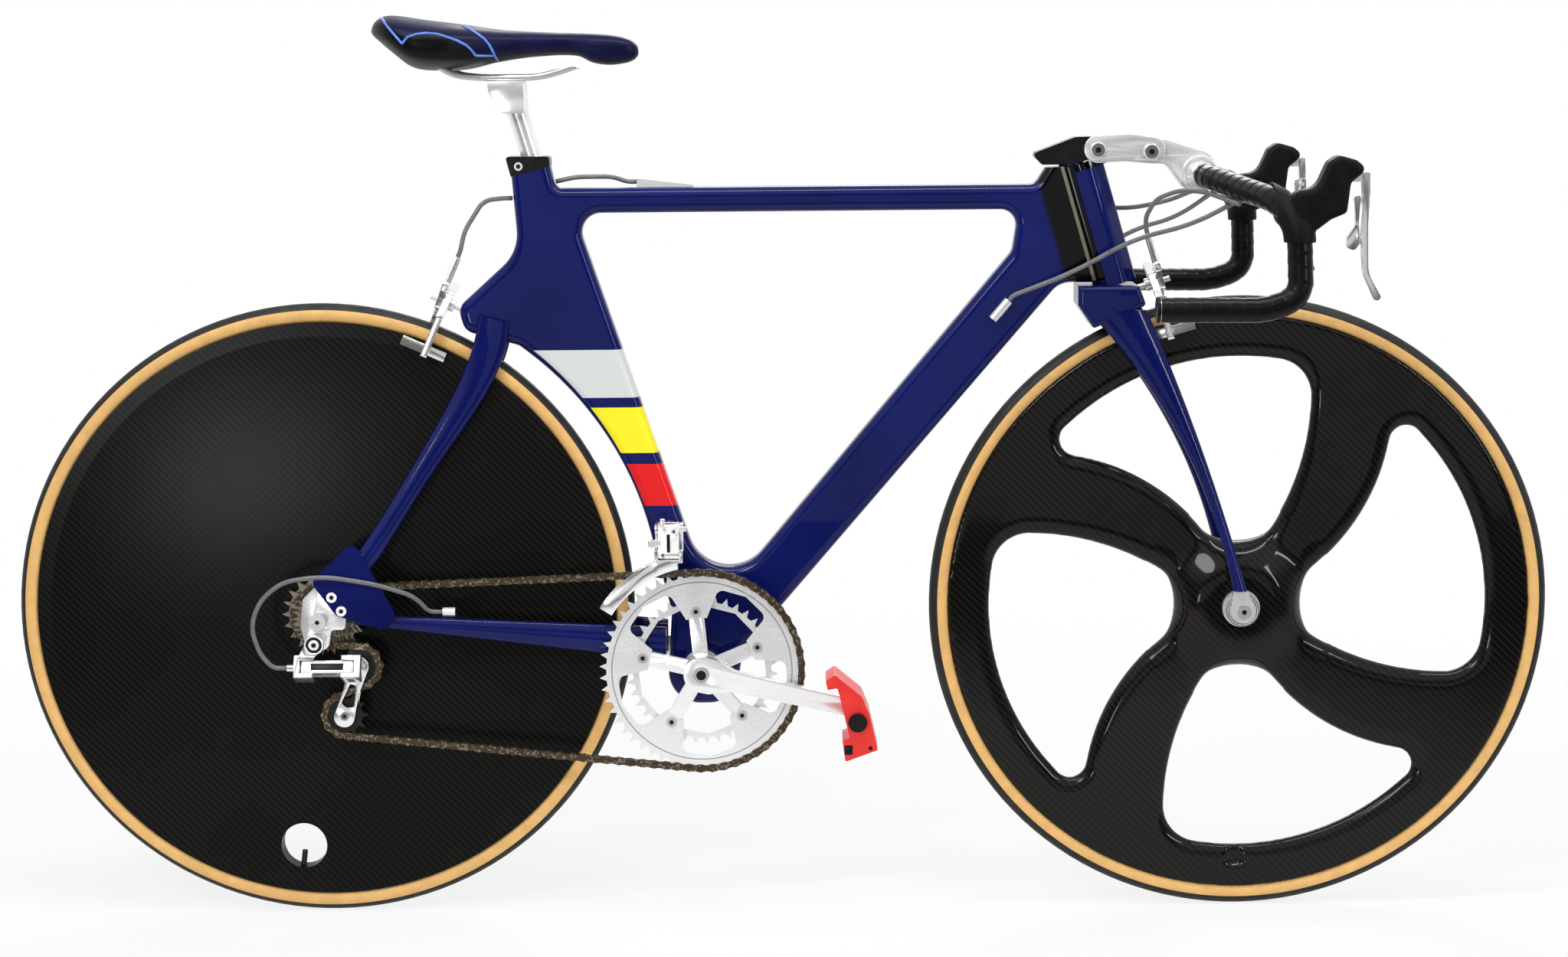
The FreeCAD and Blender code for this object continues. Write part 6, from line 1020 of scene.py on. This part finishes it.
class BIKE_OT_frame(bpy.types.Operator):
    """Paint on the frame, stays and fork, and black on the seat collar and stem base"""

    bl_idname = "bike.frame"
    bl_label = "Frame paint"

    def execute(self, context):
        colours = context.scene.bike_colours
        dress(navy_paint("Banded paint", colours, banded=True), "main_frame")
        dress(navy_paint("Plain paint", colours), "seat_stays", "chain_stays", "fork")
        dress(moulded("Black anodising", ANODISED_TINT, (0.22, 0.34), 0.0006, 0.00003), "seat_collar", "stem_base")
        return {"FINISHED"}


REAR_TAN = (0.3105, 0.3272)
FRONT_TAN = (0.3125, 0.3252)
HUB_CLEAR = 0.05
HUB_BLEND = (0.024, 0.11)
RIM_CLEAR = 0.29
WALL_STEP = 0.001
WALL_LEAN = 0.2
EDGE_LEAN = 0.3


def from_front_axle(place):
    return math.hypot(place.x - FRONT_AXLE[0], place.z - FRONT_AXLE[2])


def opening_walls(wheel):
    """Places along the walls of the openings between the spokes, for finding the nearest one."""
    marks = []
    corners = wheel.data.vertices
    for face in wheel.data.polygons:
        if abs(face.normal.y) > WALL_LEAN or not HUB_CLEAR < from_front_axle(face.center) < RIM_CLEAR:
            continue
        for first, second in face.edge_keys:
            run = corners[second].co - corners[first].co
            if abs(run.y) > EDGE_LEAN * run.length:
                continue
            count = max(1, round(run.length / WALL_STEP))
            marks += [corners[first].co + run * (step / count) for step in range(count)]
    tree = KDTree(len(marks))
    for number, mark in enumerate(marks):
        tree.insert((mark.x, 0.0, mark.z), number)
    tree.balance()
    return tree


class BIKE_OT_wheels(bpy.types.Operator):
    """Carbon of the disc and of the rounded spokes, and the tyres"""

    bl_idname = "bike.wheels"
    bl_label = "Wheels"

    def execute(self, context):
        colours = context.scene.bike_colours
        sizes = context.scene.bike_sizes
        dress(carbon_weave("Disc weave", colours, sizes.tow, REAR_AXLE, gloss=0.12, gloss_rough=0.20), "rear_disc")
        self.spokes(sizes, carbon_weave("Spoke weave", colours, sizes.tow, FRONT_AXLE, gloss=0.38, gloss_rough=0.06))
        dress(tyre_rubber("Rear tyre", colours, REAR_AXLE, REAR_TAN), "rear_tyre")
        dress(tyre_rubber("Front tyre", colours, FRONT_AXLE, FRONT_TAN), "front_tyre")
        return {"FINISHED"}

    @staticmethod
    def spokes(sizes, material):
        """The spoked wheel, with every spoke rounded off like a wing."""
        wheel = copy_of("front_wheel", "winged_spokes")
        walls = opening_walls(wheel)
        melt(wheel, sizes.spoke_voxel)
        apply_all(wheel)
        for corner in wheel.data.vertices:
            place = corner.co
            if HUB_CLEAR < from_front_axle(place) < RIM_CLEAR:
                gap = walls.find((place.x, 0.0, place.z))[2]
                share = min(1.0, gap / sizes.spoke_roll)
                place.y *= math.sqrt(1.0 - (1.0 - share) ** 2)
        melt(wheel, sizes.spoke_voxel)
        soften(wheel, 5)
        apply_all(wheel)
        hub = wheel.vertex_groups.new(name="hub")
        for corner in wheel.data.vertices:
            if HUB_BLEND[0] < from_front_axle(corner.co) < HUB_BLEND[1]:
                hub.add([corner.index], 1.0, "REPLACE")
        soften(wheel, 40, "hub")
        apply_all(wheel)
        paint(wheel, material)
        smooth(wheel, 70)
        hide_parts("front_wheel")
        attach(wheel, "front_wheel_set")


PIN_SPACING = 0.0127
PLATE_END = 0.0042
PLATE_WAIST = 0.0031
PLATE_THICKNESS = 0.001
INNER_PLATE = 0.0018
ROLLER_RADIUS = 0.0038
ROLLER_WIDTH = 0.0026
RIVET_RADIUS = 0.0018
RIVET_HEIGHT = 0.0006
PLATE_CORNERS = 20
ROLLER_CORNERS = 14
RIVET_CORNERS = 10
PLATE_SPREAD = 1.9
WAIST_COSINE = 0.2


def chain_plate(y):
    """One waisted plate, flat in XZ, with its middle at the origin."""
    pick_none()
    bpy.ops.mesh.primitive_circle_add(vertices=PLATE_CORNERS, radius=1.0, fill_type="NGON",
                                      rotation=QUARTER)
    plate = settle(bpy.context.object)
    for corner in plate.data.vertices:
        angle = math.atan2(corner.co.z, corner.co.x)
        if abs(math.cos(angle)) < WAIST_COSINE:
            corner.co = Vector((0.0, y, math.copysign(PLATE_WAIST, corner.co.z)))
            continue
        end = math.copysign(PIN_SPACING / 2, corner.co.x)
        wide = math.atan2(PLATE_SPREAD * corner.co.z, corner.co.x)
        corner.co = Vector((end + PLATE_END * math.cos(wide), y, PLATE_END * math.sin(wide)))
    thick = plate.modifiers.new("Thick", "SOLIDIFY")
    thick.thickness = PLATE_THICKNESS
    thick.offset = 0.0
    apply_all(plate)
    return plate


def loose_parts(piece):
    """The corners of each separate shell of a mesh."""
    owner = list(range(len(piece.data.vertices)))

    def top(number):
        while owner[number] != number:
            owner[number] = owner[owner[number]]
            number = owner[number]
        return number

    for edge in piece.data.edges:
        first, second = (top(number) for number in edge.vertices)
        owner[first] = second
    shells = {}
    for corner in piece.data.vertices:
        shells.setdefault(top(corner.index), []).append(corner.co.copy())
    return list(shells.values())


def lie_of(corners):
    """Middle of a link's part and the angle of its long axis in XZ."""
    middle = sum(corners, Vector()) / len(corners)
    xx = sum((c.x - middle.x) ** 2 for c in corners)
    zz = sum((c.z - middle.z) ** 2 for c in corners)
    xz = sum((c.x - middle.x) * (c.z - middle.z) for c in corners)
    return middle, 0.5 * math.atan2(2 * xz, xx - zz)


class BIKE_OT_chain(bpy.types.Operator):
    """Chain of waisted plates, rollers and rivets"""

    bl_idname = "bike.chain"
    bl_label = "Chain"

    def execute(self, context):
        source = copy_of("chain", "oily_links")
        pins = [(end * PIN_SPACING / 2, 0.0, 0.0) for end in (-1, 1)]
        rollers = [round_bar(ROLLER_CORNERS, ROLLER_RADIUS, ROLLER_WIDTH, pin) for pin in pins]
        rivets = [round_bar(RIVET_CORNERS, RIVET_RADIUS, PLATE_THICKNESS + RIVET_HEIGHT, pin) for pin in pins]
        inner = joined("inner_link", [chain_plate(-INNER_PLATE), chain_plate(INNER_PLATE)] + rollers)
        outer = joined("outer_plate", [chain_plate(0.0)] + rivets)
        links = []
        for shell in loose_parts(source):
            middle, turn = lie_of(shell)
            wide = max(c.y for c in shell) - min(c.y for c in shell)
            template = inner if wide > 2 * PLATE_THICKNESS else outer
            link = template.copy()
            link.data = template.data.copy()
            link.matrix_world = Matrix.Translation(middle) @ Matrix.Rotation(-turn, 4, "Y")
            context.scene.collection.objects.link(link)
            links.append(link)
        for spare in (source, inner, outer):
            bpy.data.objects.remove(spare)
        chain = joined("oily_links", links)
        settle(chain)
        paint(chain, oily_shaded_chain("Oily shaded chain", context.scene.bike_colours))
        smooth(chain, 40)
        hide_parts("chain")
        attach(chain, "frame")
        return {"FINISHED"}


SHARP = 38.0
LEVEL = 1.0


def round_edges(material, slot, width, *names):
    """Stand-ins for CAD nodes, with rounded edges that catch the light."""
    for name in names:
        piece = copy_of(name, f"rounded_{name}")
        flat = piece.modifiers.new("Flat", "DECIMATE")
        flat.decimate_type = "DISSOLVE"
        flat.angle_limit = math.radians(LEVEL)
        bevel(piece, width, 2, SHARP)
        apply_all(piece)
        paint(piece, material)
        smooth(piece, 35)
        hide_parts(name)
        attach(piece, body_of(NODES[name])[0])


ROUNDED_ALLOY = ("dropouts", "stem_link", "bar_clamp", "seatpost_clamp", "right_crank", "left_crank")
ROUNDED_CHROME = (
    "front_brake_arm_right", "front_brake_arm_left", "rear_brake_arm_right", "rear_brake_arm_left",
    "right_brake_blade", "left_brake_blade", "right_shift_paddle", "left_shift_paddle", "rd_upper_knuckle",
    "rd_outer_link", "rd_lower_knuckle", "rd_cage", "front_derailleur_bracket", "front_derailleur_link",
    "front_derailleur_cage",
)


class BIKE_OT_metal(bpy.types.Operator):
    """Finishes of the bright metal, cogs, pulleys and pedals"""

    bl_idname = "bike.metal"
    bl_label = "Metal and pedals"

    def execute(self, context):
        colours = context.scene.bike_colours
        slots = defaultdict(list)
        for row in frame["record"]["subparts"]:
            slots[row["material_slot"]].append(row["node"])
        edge = context.scene.bike_sizes.edge
        alloy = polished_metal("Polished alloy", colours.alloy)
        dress(alloy, *[name for name in slots["silver"] if name not in ROUNDED_ALLOY + ROUNDED_CHROME])
        dress(polished_metal("Turned ring", colours.alloy, turned_line=RING_LINE), "outer_chainring")
        round_edges(alloy, "silver", edge, *ROUNDED_ALLOY)
        round_edges(polished_metal("Mirror alloy", colours.alloy, (0.12, 0.22), shine=0.90), "silver", edge,
                    *ROUNDED_CHROME)
        dress(polished_metal("Bright steel", colours.steel, (0.16, 0.34), 0.35), *slots["steel"])
        dress(polished_metal("Worn cogs", COG_TINT, (0.25, 0.5), 0.6, COG_DIRT), "cassette")
        dress(moulded("Red pedal", colours.pedal, (0.24, 0.40), 0.0012, 0.00006, specular=0.5, lift=1.15),
              "right_pedal", "left_pedal")
        dress(moulded("Black pulley", PULLEY_TINT, (0.35, 0.5), 0.001, 0.00008),
              "rd_guide_pulley", "rd_tension_pulley")
        return {"FINISHED"}


# Small fasteners and trim: a stud is a stack of layers (finish, corners, radius), each one standing on the last

# The black six-cornered layers are painted shade: dark discs standing for the shadowed hex sockets of the bolts
STUDS = (
    ("frame", BOTH, (("black", 6, 0.0026),),
     ((-0.4777, 0.0785, 0.3606), (-0.4679, 0.0785, 0.3457), (-0.2753, 0.0175, 0.8127), (-0.4935, 0.0800, 0.3340))),
    ("fork", BOTH, (("black", 6, 0.0028),), ((0.4935, 0.0620, 0.3340),)),
    ("stem", BOTH, (("dark", 32, 0.0070), ("black", 6, 0.0032)),
     ((0.3394, 0.0233, 0.8250), (0.3959, 0.0233, 0.8227))),
    ("crankset", BOTH, (("black", 24, 0.0052),), ((-0.0862, 0.0720, 0.2720),)),
    ("crankset", RIGHT, (("black", 6, 0.0026),),
     ((-0.0264, 0.0484, 0.2975), (-0.0920, 0.0484, 0.3367), (-0.1496, 0.0484, 0.2865), (-0.1196, 0.0484, 0.2162),
      (-0.0435, 0.0484, 0.2230))),
    ("rd_upper", RIGHT, (("black", 32, 0.0088), ("bright", 24, 0.0056), ("black", 6, 0.0028)),
     ((-0.4971, 0.0843, 0.3105),)),
    ("rd_cage_set", RIGHT, (("dark", 24, 0.0046), ("black", 6, 0.0022)), ((-0.4711, 0.0538, 0.2266),)),
    ("right_pedal_set", RIGHT, (("black", 32, 0.0100),), ((0.0795, 0.1410, 0.2340),)),
    ("right_pedal_set", RIGHT, (("black", 12, 0.0022),), ((0.0928, 0.1360, 0.2058),)),
    ("left_pedal_set", LEFT, (("black", 32, 0.0100),), ((-0.2519, 0.1410, 0.3100),)),
    ("fd_link", RIGHT, (("bright", 20, 0.0030), ("black", 6, 0.0014)),
     ((-0.1262, 0.0514, 0.3990), (-0.1142, 0.0514, 0.4245))),
    ("fd_link", RIGHT, (("bright", 6, 0.0042),), ((-0.1375, 0.0500, 0.4110),)),
)
STUD_HEIGHT = 0.0005
SLAB_EDGE = 0.2
SLABS = (
    ("rd_outer", "black", (0.0350, 0.0008, 0.0070), (-0.4841, -0.0825, 0.2868), -27.0),
    ("right_pedal_set", "black", (0.0085, 0.0008, 0.0100), (0.0697, -0.1361, 0.2040), 0.0),
    # Painted shade: a dark slab standing for the shadowed gap down the middle of the derailleur link's front face
    ("fd_link", "black", (0.0036, 0.0008, 0.0190), (-0.1202, -0.0514, 0.4120), 0.0),
    ("fd_link", "bright", (0.0130, 0.0060, 0.0080), (-0.1355, -0.0460, 0.4110), 0.0),
    ("fd_link", "bright", (0.0050, 0.0060, 0.0110), (-0.1265, -0.0440, 0.4320), 0.0),
    ("fd_link", "bright", (0.0120, 0.0040, 0.0050), (-0.1070, -0.0440, 0.4260), 0.0),
)
RINGS = (
    ("rd_upper", "bright", RIGHT, (-0.4971, 0.0845, 0.3105), 0.0094, 0.0009),
    ("front_wheel_set", "dark", BOTH, (0.4935, 0.0497, 0.3340), 0.0172, 0.0006),
    ("front_wheel_set", "dark", BOTH, (0.4935, 0.0497, 0.3340), 0.0148, 0.0005),
)


class BIKE_OT_trim(bpy.types.Operator):
    """Painted shade for the bolt sockets and one gap, and the caps and small plates"""

    bl_idname = "bike.trim"
    bl_label = "Small trim"

    def execute(self, context):
        colours = context.scene.bike_colours
        finishes = {
            "black": moulded("Black trim", colours.rubber, (0.30, 0.45), 0.0008, 0.00004),
            "dark": polished_metal("Dark bolts", colours.bolt, (0.25, 0.40)),
            "bright": polished_metal("Bright trim", colours.alloy),
        }
        heaps = defaultdict(list)
        for body, sides, layers, places in STUDS:
            for level, (finish, corners, radius) in enumerate(layers):
                rise = level * STUD_HEIGHT
                heaps[body, finish] += [round_bar(corners, radius, 2 * STUD_HEIGHT, (x, side * (y + rise), z))
                                        for x, y, z in places for side in sides]
        for body, finish, *lie in SLABS:
            heaps[body, finish].append(self.slab(*lie))
        for body, finish, sides, (x, y, z), radius, wire in RINGS:
            heaps[body, finish] += [wire_ring(radius, wire, location=(x, side * y, z), rotation=QUARTER)
                                    for side in sides]
        for (body, finish), pieces in heaps.items():
            piece = joined(f"{body}_{finish}_trim", pieces)
            paint(piece, finishes[finish])
            smooth(piece, 30)
            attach(piece, body)
        return {"FINISHED"}

    @staticmethod
    def slab(size, place, lean):
        """A small plate with softened edges, leaning about X."""
        pick_none()
        bpy.ops.mesh.primitive_cube_add(size=1.0, location=place, scale=size,
                                        rotation=(math.radians(lean), 0.0, 0.0))
        made = settle(bpy.context.object)
        bevel(made, SLAB_EDGE * min(size), 2)
        apply_all(made)
        return made


# Studio

CAMERA_PLACE = (0.0288, -3.3714, 0.9356)
CAMERA_TURNS = (0.429, 7.801, 0.529)
CAMERA_LENS = 72.3
LAMPS = (
    ("key", (-1.3, -2.6, 2.5), (-0.1, 0.0, 0.5), (1.1, 0.9), 40.0),
    ("front", (0.0, -3.2, 0.35), (0.0, 0.0, 0.4), (3.4, 0.8), 5.0),
    ("strip", (0.15, -0.55, 2.3), (0.0, 0.0, 0.6), (2.6, 0.20), 26.0),
    ("side", (2.3, -2.0, 1.3), (0.2, 0.0, 0.5), (0.25, 1.3), 18.0),
    ("low", (-1.24, -3.2, 0.20), (-0.55, 0.0, 0.45), (0.45, 0.42), 7.0),
    ("back", (0.4, 2.6, 2.2), (0.0, 0.0, 0.5), (1.6, 0.9), 30.0),
)
WORLD_LEVEL = 0.42
ROOM_DEPTHS = (0.03, 1.0)
ROOM_BACK = (-0.75, 0.15)
ROOM_TOP = (0.15, 0.55)
FLOOR_FADE = (0.8, 1.9)
FLOOR_TINT = (0.86, 0.86, 0.86)
FLOOR_GLOW = 0.80
WHITE = (1.0, 1.0, 1.0, 1.0)


class BIKE_OT_stage(bpy.types.Operator):
    """Pale floor, soft lamps, white surroundings and the camera"""

    bl_idname = "bike.stage"
    bl_label = "Studio"

    def execute(self, context):
        scene = context.scene
        scene.view_settings.view_transform = "Standard"
        self.floor(scene.bike_sizes.floor)
        self.surroundings(scene)
        for row in LAMPS:
            self.lamp(*row)
        self.camera(scene)
        return {"FINISHED"}

    def floor(self, half):
        pick_none()
        bpy.ops.mesh.primitive_plane_add(size=2 * half)
        floor = named(bpy.context.object, "floor")
        finish = Finish("Pale floor", {"Specular IOR Level": 0.0, "Roughness": 0.9})
        cloud = finish.grain(0.5, 4.0)
        finish.set("Base Color", finish.mix(cloud, shade(FLOOR_TINT, 0.99), FLOOR_TINT))
        light = finish.node("ShaderNodeEmission", {"Color": WHITE, "Strength": 1.0})
        share = finish.times(self.seen_directly(finish), FLOOR_GLOW)
        lit = finish.node("ShaderNodeMixShader", {"Fac": share, 1: finish.shader.outputs[0], 2: light.outputs[0]})
        far = finish.spread(finish.vector_math("LENGTH", finish.place), *FLOOR_FADE)
        clear = finish.node("ShaderNodeBsdfTransparent")
        faded = finish.node("ShaderNodeMixShader", {"Fac": far, 1: lit.outputs[0], 2: clear.outputs[0]})
        finish.feed(finish.tree.nodes["Material Output"].inputs["Surface"], faded.outputs[0])
        paint(floor, finish.material)

    @staticmethod
    def seen_directly(wires):
        """One for rays of the camera, of gloss and of glass."""
        path = wires.node("ShaderNodeLightPath").outputs
        seen = wires.math("MAXIMUM", path["Is Camera Ray"], path["Is Glossy Ray"])
        return wires.math("MAXIMUM", seen, path["Is Transmission Ray"])

    def surroundings(self, scene):
        world = bpy.data.worlds.new("Studio")
        world.use_nodes = True
        scene.world = world
        wires = Wires(world.node_tree)
        path = wires.node("ShaderNodeLightPath").outputs
        parts = wires.split(wires.node("ShaderNodeTexCoord").outputs["Generated"])
        behind = wires.spread(parts["Y"], *ROOM_BACK, *ROOM_DEPTHS)
        above = wires.spread(parts["Z"], *ROOM_TOP)
        room = wires.math("MAXIMUM", behind, above)
        mirrored = wires.times(path["Is Glossy Ray"], room)
        seen = wires.math("MAXIMUM", path["Is Camera Ray"], path["Is Transmission Ray"])
        plain = wires.math("SUBTRACT", 1.0, self.seen_directly(wires))
        strength = wires.plus(wires.plus(seen, mirrored), wires.times(plain, WORLD_LEVEL))
        background = world.node_tree.nodes["Background"]
        background.inputs["Color"].default_value = WHITE
        wires.feed(background.inputs["Strength"], strength)

    @staticmethod
    def lamp(name, place, target, size, power):
        light = bpy.data.lights.new(name, "AREA")
        light.shape = "RECTANGLE"
        light.size, light.size_y = size
        light.energy = power
        made = bpy.data.objects.new(name, light)
        bpy.context.scene.collection.objects.link(made)
        made.location = place
        aim = Vector(target) - Vector(place)
        made.rotation_euler = aim.to_track_quat("-Z", "Y").to_euler()

    @staticmethod
    def camera(scene):
        lens = bpy.data.cameras.new("camera")
        lens.sensor_fit = "HORIZONTAL"
        lens.sensor_width = 36.0
        lens.lens = CAMERA_LENS
        made = bpy.data.objects.new("camera", lens)
        scene.collection.objects.link(made)
        yaw, down, roll = (math.radians(value) for value in CAMERA_TURNS)
        turn = Matrix.Rotation(yaw, 4, "Z") @ Matrix.Rotation(-down, 4, "X") @ Matrix.Rotation(roll, 4, "Y")
        made.matrix_world = Matrix.Translation(CAMERA_PLACE) @ turn @ Matrix.Rotation(math.pi / 2, 4, "X")
        scene.camera = made


PIECE_OPERATORS = (BIKE_OT_frame, BIKE_OT_wheels, BIKE_OT_metal, BIKE_OT_chain, BIKE_OT_trim, BIKE_OT_cables,
                   BIKE_OT_tape, BIKE_OT_hoods, BIKE_OT_saddle, BIKE_OT_stage)


class BIKE_PT_panel(bpy.types.Panel):
    """Buttons for every piece of the bike"""

    bl_idname = "BIKE_PT_panel"
    bl_label = "Time trial bike"
    bl_space_type = "VIEW_3D"
    bl_region_type = "UI"
    bl_category = "Bike"

    def draw(self, context):
        for operator in PIECE_OPERATORS:
            self.layout.operator(operator.bl_idname)
        for group in (context.scene.bike_colours, context.scene.bike_sizes):
            column = self.layout.column()
            for name in group.__annotations__:
                column.prop(group, name)


CLASSES = (BikeColours, BikeSizes, *PIECE_OPERATORS, BIKE_PT_panel)
GROUPS = (grain_group, band_group, axle_group, weave_group, speck_group, brush_group)


def register():
    for entry in CLASSES:
        bpy.utils.register_class(entry)
    bpy.types.Scene.bike_colours = PointerProperty(type=BikeColours)
    bpy.types.Scene.bike_sizes = PointerProperty(type=BikeSizes)


def unregister():
    del bpy.types.Scene.bike_sizes
    del bpy.types.Scene.bike_colours
    for entry in reversed(CLASSES):
        bpy.utils.unregister_class(entry)


def main():
    register()
    for build in GROUPS:
        build()
    pick_none()
    bpy.ops.bike.frame()
    bpy.ops.bike.wheels()
    bpy.ops.bike.metal()
    bpy.ops.bike.chain()
    bpy.ops.bike.trim()
    bpy.ops.bike.cables()
    bpy.ops.bike.tape()
    bpy.ops.bike.hoods()
    bpy.ops.bike.saddle()
    bpy.ops.bike.stage()


if __name__ == "__main__":
    main()
